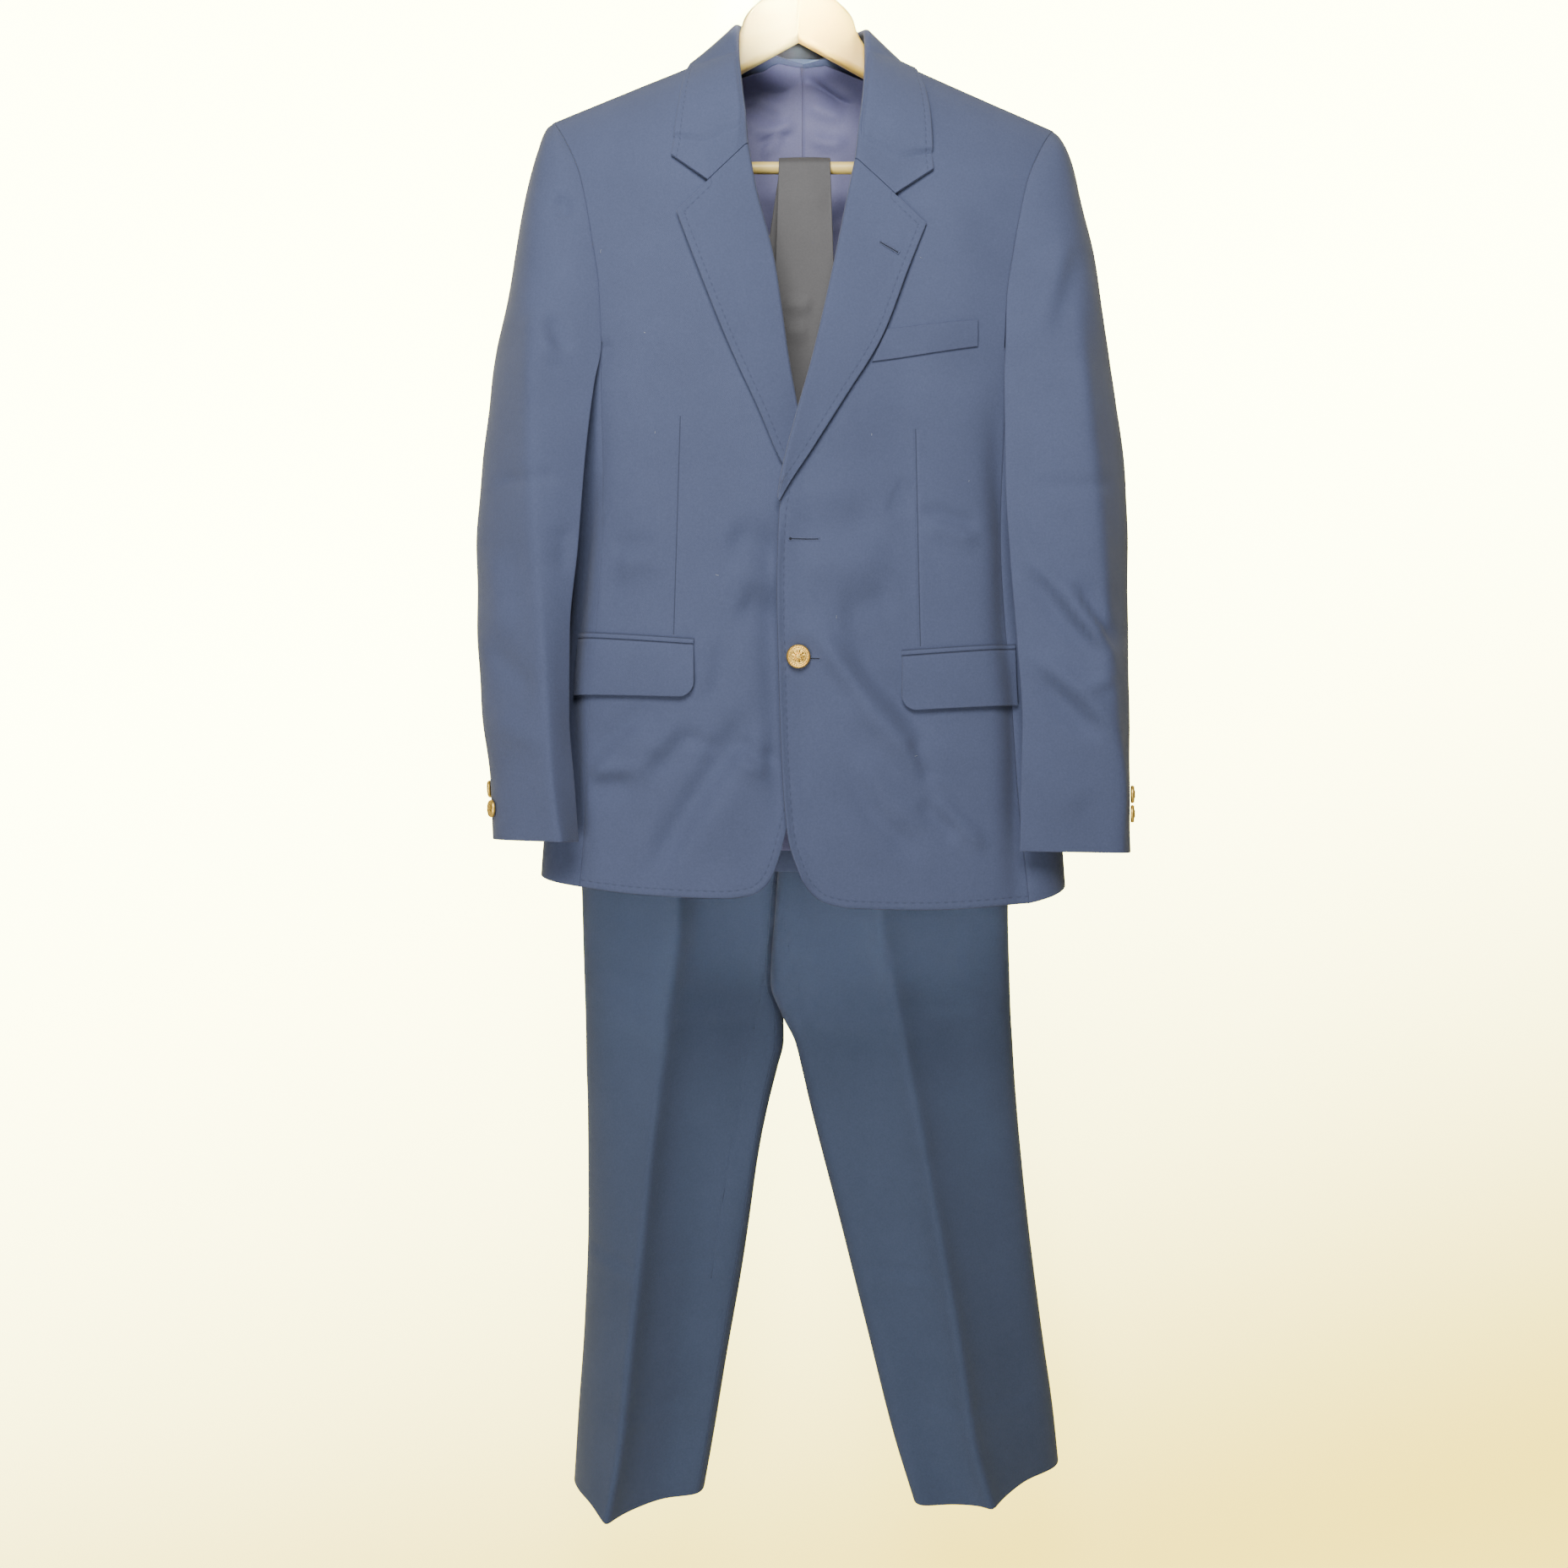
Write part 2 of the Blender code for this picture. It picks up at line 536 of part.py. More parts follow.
def sleeveRings(rows, levels, sign):
    # For each level the upper path, seam to elbow round the outside, and the under path back.
    def corner(name):
        return np.stack([at(rows, name + "X", levels), at(rows, name + "Y", levels)], -1)

    seam, fold, out, back = corner("seam"), corner("fold"), corner("out"), corner("back")
    elbow, inner = corner("elbow"), corner("in")
    upper = [hermite(seam, fold, None, None, 2)[:-1], hermite(fold, out, None, (0, 1), 2)[:-1],
             hermite(out, back, (0, 1), (-1, 0.2), 2)[:-1], hermite(back, elbow, (-1, 0.2), None, 2)]
    under = [hermite(elbow, inner, None, (0, -1), 3)[:-1], hermite(inner, seam, (0, -1), None, 3)]

    def turned(parts):
        flat = np.concatenate(parts).transpose(1, 0, 2)
        x, z = placed(flat[..., 0], np.broadcast_to(np.asarray(levels)[:, None], flat.shape[:2]), sign)
        return np.stack([x, flat[..., 1], z], -1)

    return turned(upper), turned(under)


def sleeve(which, surface):
    sign = 1 if which == "left" else -1
    rows = sleeveLeft if which == "left" else sleeveRight
    cuff = rows["z"][0]
    levels = np.array(armholeHeights + [armholeFoot + share * (cuff - armholeFoot) for share in seamShares])
    upper, under = sleeveRings(rows, levels, sign)
    cap = len(armholeHeights)

    # The cap starts on the armhole, the under sleeve on the top of the side body.
    normals = {}
    for side, column in (("front", 0), ("back", -1)):
        x, z = placed(at(armholeTable, side, levels[:cap + 1]), levels[:cap + 1], sign)
        z = np.minimum(z, ridgeHeight(x) - 0.01 * mm)
        lift = (clothSleeve + 0.5 * mm) * smoothStep(345 * mm, 395 * mm, -levels[:cap + 1])
        upper[:cap + 1, column], normals[side] = bodyPoint(x, z, side, "", lift)
    under = under[cap:]
    foot = sidePoints(sideLevels(under.shape[1], hemFrontLevel(sign)), sign)[0][::-1]
    footNormal = fieldNormal(foot)[0]
    sink = np.array([np.interp(share, (0, 0.07, 0.16, 0.27), (1, 0.75, 0.4, 0)) for share in seamShares])
    sag = (foot[:, 2] - under[0, :, 2])[None, :] * sink[:, None]
    under = clearOfBody(under + np.stack([0 * sag, 0 * sag, sag], -1), 4.2 * mm)
    under[1:, 0], under[1:, -1] = upper[cap + 1:, -1], upper[cap + 1:, 0]
    under[0] = foot + footNormal * 0.5 * mm

    middle = np.array([jacketShift + sign * 235 * mm, 0, 0])
    upperNormal = gridNormals(upper, (upper - middle) * (1, 1, 0))
    underNormal = gridNormals(under, (under - middle) * (1, 1, 0))
    upperNormal[:cap + 1, 0], upperNormal[:cap + 1, -1] = normals["front"], normals["back"]
    upperNormal[0] = unit(np.array([sign * 0.42, 0, 0.9]))
    underNormal[0] = -footNormal
    # The under sleeve's edges stop just inside the upper sleeve.
    for mine, step, its in ((0, 1, -1), (-1, -1, 0)):  # elbow edge, front edge
        way = unit(under[:, mine + step] - under[:, mine])
        upperWay = unit(upper[cap:, its - step] - upper[cap:, its])
        turn = np.clip((way * upperWay).sum(-1, keepdims=True), -0.9, 0.9)
        under[:, mine] += way * (clothSleeve * (1 + turn) + 1.3 * mm) / np.sqrt(1 - turn ** 2)
    upper = pulledIn(upper)
    upper[0, :, 0] += sign * 0.4 * mm
    shell("sleeve_upper_" + which, upper, upper - upperNormal * clothSleeve, surface)
    shell("sleeve_under_" + which, under, under - underNormal * clothSleeve, surface)
    return upper, upperNormal


# ---- lapels and collar


def edgeAt(rows, z):
    return curveThrough(rows["z"], rows["x"], z)


def lapel(which, reach, surface):
    # A leaf laid over the front, its fold, and a short tail that meets the front's edge; reach is the
    # share of its length that is built.
    sign = 1 if which == "left" else -1
    rows = lapelLeft if which == "left" else lapelRight
    edge = frontLeftEdge if which == "left" else frontRightEdge
    stations = np.linspace(0, 1, 12)
    line = np.stack([rows[name] for name in ("rollX", "rollZ", "edgeX", "edgeZ")], -1)
    path = along(line, 12, 0.006 + stations * (reach - 0.006))
    grid = []
    for rollX, rollZ, edgeX, edgeZ in path:
        width = math.hypot(edgeX - rollX, edgeZ - rollZ)
        across = np.array([edgeX - rollX, edgeZ - rollZ]) / width
        radius = min(2.6 * mm, width * 0.2)
        bend = radius + clothLapel / 2
        top = 2 * radius - clothBlazer / 2
        section = [(width, clothLapel / 2 + 0.7 * mm), (width * 0.66, top * 0.8), (width * 0.34, top)]
        section += [(bend - radius * math.sin(a), radius * (1 + math.cos(a)) - clothBlazer / 2)
                    for a in np.radians((0, 60, 120, 180))]
        row = [bodyPoint(rollX + across[0] * d, rollZ + across[1] * d, "front", which, lift)[0]
               for d, lift in section]
        tailZ = rollZ + across[1] * (bend + 4 * mm)
        tailX = edgeAt(edge, tailZ) - sign * 0.6 * mm
        if sign * (tailX - rollX - across[0] * bend) < 0.5 * mm:
            tailX = rollX + across[0] * (bend + 0.5 * mm)
        row.append(bodyPoint(tailX, tailZ, "front", which, -clothBlazer / 2)[0])
        grid.append(row)
    grid = np.array(grid)
    normal = gridNormals(grid, np.zeros(3))
    if (normal[:, 1] * (0, -1, 0)).sum() < 0:
        normal = -normal
    half = normal * clothLapel / 2
    tail = np.ones(grid.shape[1])
    tail[-1] = 0.7
    half = half * tail[None, :, None]
    shell("lapel_" + which, grid + half, grid - half, surface)


def collarGrid(stations, leafSteps=3, standSteps=2):
    # Rows round the neck; columns from the free edge over the fold down to the neck seam.
    def corner(name):
        columns = [collarTable[name + axis] for axis in "XYZ"]
        return np.stack([curveThrough(collarTable["at"], column, stations) for column in columns], -1)

    fold, edge, seam = corner("fold"), corner("edge"), corner("seam")
    radius = 2.3 * mm
    toEdge, toSeam = unit(edge - fold), unit(seam - fold)
    inward = unit(toEdge + toSeam)
    leafSide = unit(toEdge - (toEdge * inward).sum(-1, keepdims=True) * inward)
    centre = fold + inward * radius
    arc = [centre + radius * (leafSide * math.cos(a) - inward * math.sin(a))
           for a in np.radians((0, 60, 120, 180))]
    leaf = [edge + (arc[0] - edge) * k / leafSteps for k in range(leafSteps)]
    reach = 1 - 1.2 * mm / np.linalg.norm(seam - arc[-1], axis=-1, keepdims=True)
    stand = [arc[-1] + (seam - arc[-1]) * reach * k / standSteps for k in range(1, standSteps + 1)]
    return np.stack(leaf + arc + stand, 1)


def clearOfSurface(points, gap):
    # Near the neck: the points, moved off the fronts, the backs and the shoulder ridge.
    for _ in range(4):
        x, y, z = points[..., 0], points[..., 1], points[..., 2]
        for side, sign in (("front", -1), ("back", 1)):
            below = np.minimum(z, ridgeHeight(x) - 1 * mm)
            surface, normal = bodyPoint(x, below, side)
            away = ((points - surface) * normal).sum(-1)
            push = np.where(y * sign >= 0, np.maximum(gap - away, 0), 0)
            points = points + normal * push[..., None] * 0.7
    return points


def collar(surface):
    stations = np.concatenate([collarStations, [440]]) * mm
    grid = collarGrid(stations)
    # At each end the leaf's middle drops to the notch.
    for row, notch in ((0, (-76.3, -258.1)), (-1, (81.6, -270.1))):
        x, z = np.array(notch) * mm
        grid[row, 1] = bodyPoint(x, z, "front", "", 2 * mm)[0]
        grid[row, 2] = (grid[row, 1] + grid[row, 3]) / 2
    for column, gap in enumerate((2.4, 2.6, 3, 3.4)):
        grid[:, column] = clearOfSurface(grid[:, column], gap * mm)
    normal = gridNormals(grid, np.zeros(3))
    if normal[:, 0, 2].sum() < 0:
        normal = -normal
    half = normal * clothLapel / 2
    shell("collar", grid + half, grid - half, surface)
    return grid, normal


# ---- small parts of the blazer


def patch(name, corners, columns, rows, which, cloth, surface, dropAt=None, gap=0.4):
    # A piece laid on the front, from its four corners in x and z: top inner, top outer, low outer, low inner.
    topIn, topOut, lowOut, lowIn = [np.array(corner) * mm for corner in corners]
    s = (np.linspace(0, 1, columns) ** (1.6 if dropAt else 1))[:, None]
    top, low = topIn + (topOut - topIn) * s, lowIn + (lowOut - lowIn) * s
    if dropAt is not None:
        low[:, 1] += dropAt(np.abs(low[:, 0] - lowIn[0]))
    t = np.linspace(0, 1, rows)[:, None, None]
    flat = top[None] * (1 - t) + low[None] * t
    inner, normal = bodyPoint(flat[..., 0], flat[..., 1], "front", which, gap * mm)
    return shell(name, inner + normal * cloth, inner, surface)


def roundedCorner(distance):
    radius = 13 * mm
    reach = np.clip(radius - distance, 0, radius)
    return radius - np.sqrt(radius ** 2 - reach ** 2)


def turnedPiece(name, profile, centre, facing, surface, segments=20):
    # A turned solid from rows of radius and height; facing is the way its height points.
    facing = unit(np.asarray(facing, float))
    side = unit(np.cross(facing, (0, 0, 1)))
    up = np.cross(side, facing)
    points = [np.asarray(centre) + facing * profile[0][1]]
    for radius, height in profile[1:-1]:
        for k in range(segments):
            angle = 2 * math.pi * k / segments
            points.append(centre + facing * height + radius * (side * math.cos(angle) + up * math.sin(angle)))
    points.append(np.asarray(centre) + facing * profile[-1][1])
    faces, rings, last = [], len(profile) - 2, len(points) - 1
    for k in range(segments):
        n = (k + 1) % segments
        faces.append((0, 1 + n, 1 + k))
        faces.append((last, last - segments + k, last - segments + n))
        for ring in range(rings - 1):
            a = 1 + ring * segments
            faces.append((a + k, a + n, a + segments + n))
            faces.append((a + k, a + segments + n, a + segments + k))
    volume = sum(np.dot(points[a], np.cross(points[b], points[c])) for a, b, c in faces)
    return addObject(name, points, faces if volume > 0 else [face[::-1] for face in faces], surface)


def button(name, centre, facing, radius, surface):
    thick = 0.36 * radius
    profile = [(0, 0), (radius * 0.8, 0), (radius, thick * 0.4), (radius * 0.96, thick * 0.8),
               (radius * 0.82, thick), (radius * 0.5, thick * 1.12), (0, thick * 1.2)]
    return turnedPiece(name, profile, np.asarray(centre, float), facing, surface)


def nearestOn(grid, normals, target):
    # The point of a grid's facets nearest to target, and the way the grid faces there.
    best = None
    share = np.linspace(0, 1, 9)
    for i in range(grid.shape[0] - 1):
        for j in range(grid.shape[1] - 1):
            for s in share:
                for t in share:
                    weights = ((1 - s) * (1 - t), (1 - s) * t, s * (1 - t), s * t)
                    cells = ((i, j), (i, j + 1), (i + 1, j), (i + 1, j + 1))
                    point = sum(w * grid[c] for w, c in zip(weights, cells))
                    distance = np.linalg.norm(point - target)
                    if best is None or distance < best[0]:
                        best = distance, point, unit(sum(w * normals[c] for w, c in zip(weights, cells)))
    return best[1], best[2]


def cuffButtons(which, grid, normals, targets, surface):
    for label, target in targets:
        point, facing = nearestOn(grid, normals, np.array(target) * mm)
        name = "cuff_button_%s_%s" % (which, label)
        button(name, point + facing * 0.9 * mm, facing, cuffButtonRadius, surface)


def liningBack(surface):
    across = np.linspace(-1, 1, 13)
    x = jacketShift + across * liningHalf
    distance = np.abs(x - jacketShift)
    neck = curveThrough(backNeck["x"], backNeck["z"], distance) + jacketTilt * (x - jacketShift)
    shoulder = ridgeHeight(x) - 5 * mm
    top = np.where(distance > 84 * mm, shoulder, np.minimum(neck - 0.6 * mm, shoulder))
    low = np.full(len(x), backHem + 20 * mm)
    share = np.array([0, 0.03, 0.08, 0.16, 0.28, 0.42, 0.6, 0.8, 1])[:, None]
    narrow = 1 - 0.02 * smoothStep(-300 * mm, -395 * mm, top[None] * (1 - share) + low[None] * share)
    wide = jacketShift + (x - jacketShift)[None] * narrow
    z = top[None] * (1 - share) + low[None] * share
    outer, normal = bodyPoint(wide, z, "back", "", -(clothBlazer + 4 * mm))
    return shell("lining_back", outer, outer - normal * clothLining, surface)


def neckLabel(grid, normal, surface):
    # Sewn to the inside of the collar's stand, with the stand showing below it.
    rows = [labelRows[0]] + list(range(math.ceil(labelRows[0]), math.floor(labelRows[1]) + 1)) + [labelRows[1]]

    def read(values, row, column):
        low = int(row)
        return values[low, column] + (values[min(low + 1, len(values) - 1), column] - values[low, column]) * (row - low)

    inner, facing = [], []
    for row in rows:
        top, low = read(grid, row, -3), read(grid, row, -1)
        way = unit(read(normal, row, -2))
        inner.append([top + (low - top) * share + way * (clothLapel / 2 + 0.4 * mm) for share in (0.12, 0.8)])
        facing.append([way, way])
    inner, facing = np.array(inner), np.array(facing)
    return shell("neck_label", inner + facing * 0.8 * mm, inner, surface)


# ---- trousers

crotchLevel = -755 * mm
# The hem at the side seam, crease, inner edge, back crease and side seam again, in millimetres.
hemLevels = {"right": (-1411, -1423, -1415, -1411, -1411), "left": (-1403, -1413, -1413, -1405, -1403)}
trouserLevels = [z * mm for z in
                 (-491, -560, -640, -700, -755, -815, -882, -950, -980, -1005, -1030, -1059, -1170, -1300, -1411)]


def legRing(rows, z, places):
    # Points round a leg at one height; places run 0 side seam, 1 crease, 2 inner edge, 3 back crease.
    out = np.array([at(rows, "outX", z), at(rows, "outY", z)])
    fold = np.array([at(rows, "foldX", z), at(rows, "foldY", z)])
    inFront = np.array([at(rows, "inX", z), at(rows, "inFrontY", z)])
    inBack = np.array([at(rows, "inX", z), at(rows, "inBackY", z)])
    back = np.array([at(rows, "backX", z), at(rows, "backY", z)])
    leg = float(np.clip((-640 * mm - z) / (90 * mm), 0, 1))
    inward = math.copysign(1, inFront[0] - out[0])
    frontWay = unit(np.array([inward * (1 - leg), leg]))
    backWay = unit(np.array([-inward * (1 - leg), leg]))
    ways = [(out, fold, (0, -1), None), (fold, inFront, None, frontWay),
            (inBack, back, backWay, None), (back, out, None, (0, -1))]
    ring = []
    for place in places:
        k = min(int(place), 3)
        start, end, startWay, endWay = ways[k]
        chord = end - start
        length = np.linalg.norm(chord) * 0.9
        a = chord if startWay is None else np.array(startWay, float) * length
        b = chord if endWay is None else np.array(endWay, float) * length
        t = place - k
        ring.append((2 * t ** 3 - 3 * t * t + 1) * start + (t ** 3 - 2 * t * t + t) * a
                    + (3 * t * t - 2 * t ** 3) * end + (t ** 3 - t * t) * b)
    return np.array(ring)


def trouserLeg(which, rows, seamShift, surface):
    # The front and back panels of a leg; the inner seam moves round by seamShift below the crotch.
    frontGrid, backGrid, centres = [], [], []
    for z in trouserLevels:
        shift = seamShift * float(smoothStep(755 * mm, 880 * mm, -z))
        frontPlaces = np.concatenate([np.linspace(0, 1, 5)[:-1], np.linspace(1, 2 + shift - 1e-6, 5)])
        backPlaces = np.concatenate([[2 + shift], np.linspace(2 + (0.0001 if shift else 0.12), 3, 5)[:-1],
                                     np.linspace(3, 4, 4)])
        for grid, places in ((frontGrid, frontPlaces), (backGrid, backPlaces)):
            level = np.full(len(places), z)
            if z == trouserLevels[-1]:
                level = np.interp(places, range(5), hemLevels[which]) * mm
            grid.append(np.column_stack([legRing(rows, z, places), level]))
        centres.append([(at(rows, "outX", z) + at(rows, "inX", z)) / 2,
                        (at(rows, "foldY", z) + at(rows, "backY", z)) / 2, z])
    frontGrid, backGrid, centres = np.array(frontGrid), np.array(backGrid), np.array(centres)[:, None]
    frontNormal = gridNormals(frontGrid, frontGrid - centres)
    backNormal = gridNormals(backGrid, backGrid - centres)

    def share(frontColumn, backColumn, fromRow):
        both = unit(frontNormal[fromRow:, frontColumn] + backNormal[fromRow:, backColumn])
        frontNormal[fromRow:, frontColumn], backNormal[fromRow:, backColumn] = both, both

    joined = trouserLevels.index(crotchLevel)
    share(0, -1, 0)
    share(-1, 0, joined)
    # Above the crotch both legs' panels meet each other flat.
    frontNormal[:joined, -1] = unit(frontNormal[:joined, -1] * (0, 1, 1))
    backNormal[:joined, 0] = unit(backNormal[:joined, 0] * (0, 1, 1))
    frontGrid, backGrid = pulledIn(frontGrid), pulledIn(backGrid)
    shell("trouser_front_" + which, frontGrid, frontGrid - frontNormal * clothTrouser, surface)
    shell("trouser_back_" + which, backGrid, backGrid - backNormal * clothTrouser, surface)


def waistband(which, surface):
    sign = 1 if which == "left" else -1
    front, back, half, thick = 94 * mm, 102 * mm, 190 * mm, 2.6 * mm
    radius = (back - front) / 2
    middle = (back + front) / 2
    path = [(0.2 * mm, front), (60 * mm, front), (120 * mm, front), (half - radius, front)]
    path += [(half - radius + radius * math.sin(a), middle - radius * math.cos(a)) for a in np.radians((45, 90, 135))]
    path += [(half - radius, back), (120 * mm, back), (60 * mm, back), (0.2 * mm, back)]
    inward = [(0, 1)] * 4 + [(-math.sin(a), math.cos(a)) for a in np.radians((45, 90, 135))] + [(0, -1)] * 4
    levels = np.array([-454 * mm, -490.5 * mm])
    outer = np.array([[(sign * x, y, z) for x, y in path] for z in levels])
    step = np.array([(sign * x, y, 0) for x, y in inward]) * thick
    return shell("waistband_" + which, outer, outer + step[None], surface)


# ---- necktie


def necktie(surface):
    # Over the bar: the wide end in front, the narrow end behind and askew.
    reach = barRadius + 0.5 * mm + clothTie / 2
    atBar = 22.4 * mm  # half its width there
    across = np.array([-1, -0.72, 0, 0.72, 1])
    rows = []
    for z in np.array([0, 18, 40, 142, 262, 382, 482, 527]) * mm + tieTip:
        half = min(atBar + (barHeight - z) * 0.034, 39 * mm)
        point = half * max(0.0, 1 - (z - tieTip) / (40 * mm))
        y = -reach - 1.2 * mm * smoothStep(230 * mm, 300 * mm, -z)
        rows.append([(tieCentre + u * half, y, z + point * abs(u)) for u in across])
    for a in np.radians((0, 45, 90, 135, 180)):
        rows.append([(tieCentre + u * atBar, -reach * math.cos(a), barHeight + reach * math.sin(a)) for u in across])
    for drop in (25, 60, 110, 180, 350, tieNarrowDrop - 20, tieNarrowDrop):
        askew = 0.155 * min(drop, 150) + 0.03 * max(drop - 150, 0)
        half = max(22 - drop * 0.006, 19) * mm
        point = half * max(0.0, 1 - (tieNarrowDrop - drop) / 22)
        rows.append([(tieCentre - askew * mm + u * half, reach + 1 * mm * smoothStep(0, 60, drop),
                      barHeight - drop * mm + point * abs(u)) for u in across])
    grid = np.array(rows, float)
    normal = gridNormals(grid, np.zeros(3))
    if normal[0, 2, 1] > 0:
        normal = -normal
    half = normal * clothTie / 2
    return shell("necktie", grid + half, grid - half, surface)


# ---- hangers


def tube(name, path, radius, surface, sides=10):
    # A rod along a path of points, closed at both ends.
    path = np.asarray(path, float)
    ways = unit(np.gradient(path, axis=0))
    side = unit(np.cross(ways[0], (0.3, 1, 0.2)))
    rings = []
    for point, way in zip(path, ways):
        side = unit(side - way * np.dot(side, way))
        up = np.cross(way, side)
        rings.append([point + radius * (side * math.cos(a) + up * math.sin(a))
                      for a in np.linspace(0, 2 * math.pi, sides, endpoint=False)])
    return ringSolid(name, rings, surface)


def ringSolid(name, rings, surface):
    # A closed solid through rings of the same count, with flat ends.
    count = len(rings[0])
    points = [p for ring in rings for p in ring]
    faces = []
    for i in range(len(rings) - 1):
        for k in range(count):
            n = (k + 1) % count
            a, b, c, d = i * count + k, i * count + n, (i + 1) * count + n, (i + 1) * count + k
            faces += [(a, b, c), (a, c, d)]
    last = (len(rings) - 1) * count
    for k in range(1, count - 1):
        faces.append((0, k + 1, k))
        faces.append((last, last + k, last + k + 1))
    volume = sum(np.dot(points[a], np.cross(points[b], points[c])) for a, b, c in faces)
    return addObject(name, points, faces if volume > 0 else [face[::-1] for face in faces], surface)


def cutRound(made, centre, axis, radius, length):
    # A round hole cut by a Boolean; the cutter is hidden.
    centre, axis = np.asarray(centre, float), np.asarray(axis, float)
    path = [centre - axis * length / 2, centre + axis * length / 2]
    cutter = tube(made.name + "_cutter", path, radius, made.data.materials[0], 24)
    cutter.hide_render = True
    cutter.display_type = "WIRE"
    hole = made.modifiers.new("hole", "BOOLEAN")
    hole.operation = "DIFFERENCE"
    hole.object = cutter


def hookPath(y, stem):
    # Up the stem, round the loop from its lower right over the top to its open end.
    radius = hookInner + hookWire
    loop = [(radius * math.cos(a), y, -hookInner + radius * math.sin(a))
            for a in np.radians(np.arange(-50, 201, 12.5))]
    start = [(0, y, -50 * mm), (1.2 * mm, y, -46.5 * mm), (5.5 * mm, y, -42 * mm)]
    return stem + start + loop


boardTable = table("x top",
    (0, -57), (17, -68), (34, -85), (44, -95), (48, -102), (50, -109.5), (58, -124), (66, -134.5), (80, -145),
    (94, -152), (130, -167.5), (165, -183), (190, -196), (203, -208), (208, -222))


def hangerBoard(which, surface):
    sign = 1 if which == "left" else -1
    stations = np.array([0.15, 17, 34, 44, 48, 50, 58, 66, 80, 94, 130, 165, 178, 190, 198, 204, 207]) * mm
    rings = []
    for x in stations:
        top = curveThrough(boardTable["x"], boardTable["top"], x)
        low = -119 * mm - 0.555 * x
        if x > 170 * mm:
            low = low - (242 * mm + low) * smoothStep(170 * mm, 200 * mm, x)
        low = low + 16 * mm * smoothStep(196 * mm, 210 * mm, x)
        half = (7 + 2 * smoothStep(60 * mm, 200 * mm, x) - 2.5 * smoothStep(200 * mm, 208 * mm, x)) * mm
        soft = min(6 * mm, (top - low) / 2 - 1 * mm)
        corners = ((1, top - soft), (-1, top - soft), (-1, low + soft), (1, low + soft))
        ring = []
        for k, (side, height) in enumerate(corners):
            for a in np.radians(90 * k + np.array([0, 30, 60, 90])):
                ring.append((sign * x, side * (half - soft * 0.9) + soft * 0.9 * math.cos(a), height + soft * math.sin(a)))
        rings.append(ring)
    made = ringSolid("hanger_board_" + which, rings, surface)
    cutRound(made, (sign * 180 * mm, 0, barHeight), (1, 0, 0), barRadius + 0.3 * mm, 47 * mm)
    return made


def clip(which, surface):
    # A block on the rod with a jaw down each side of the waistband.
    sign = 1 if which == "left" else -1
    half = 11.5 * mm
    outline = [(90.4, -480), (93.6, -480), (93.6, -451.5), (102.4, -451.5), (102.4, -480), (105.6, -480),
               (105.6, -434), (102, -429), (94, -429), (90.4, -434)]
    ring = [(y * mm, z * mm) for y, z in outline]
    points = [(sign * clipAt + side * half, y, z) for side in (-1, 1) for y, z in ring]
    count = len(ring)
    faces = [tuple(range(count)), tuple(range(2 * count - 1, count - 1, -1))]
    faces += [(k, count + k, count + (k + 1) % count, (k + 1) % count) for k in range(count)]
    made = addObject("clip_" + which, points, faces, surface)
    cutRound(made, (sign * clipAt, *rodCentre), (1, 0, 0), rodRadius + 0.3 * mm, 40 * mm)
    return made


# ---- the whole


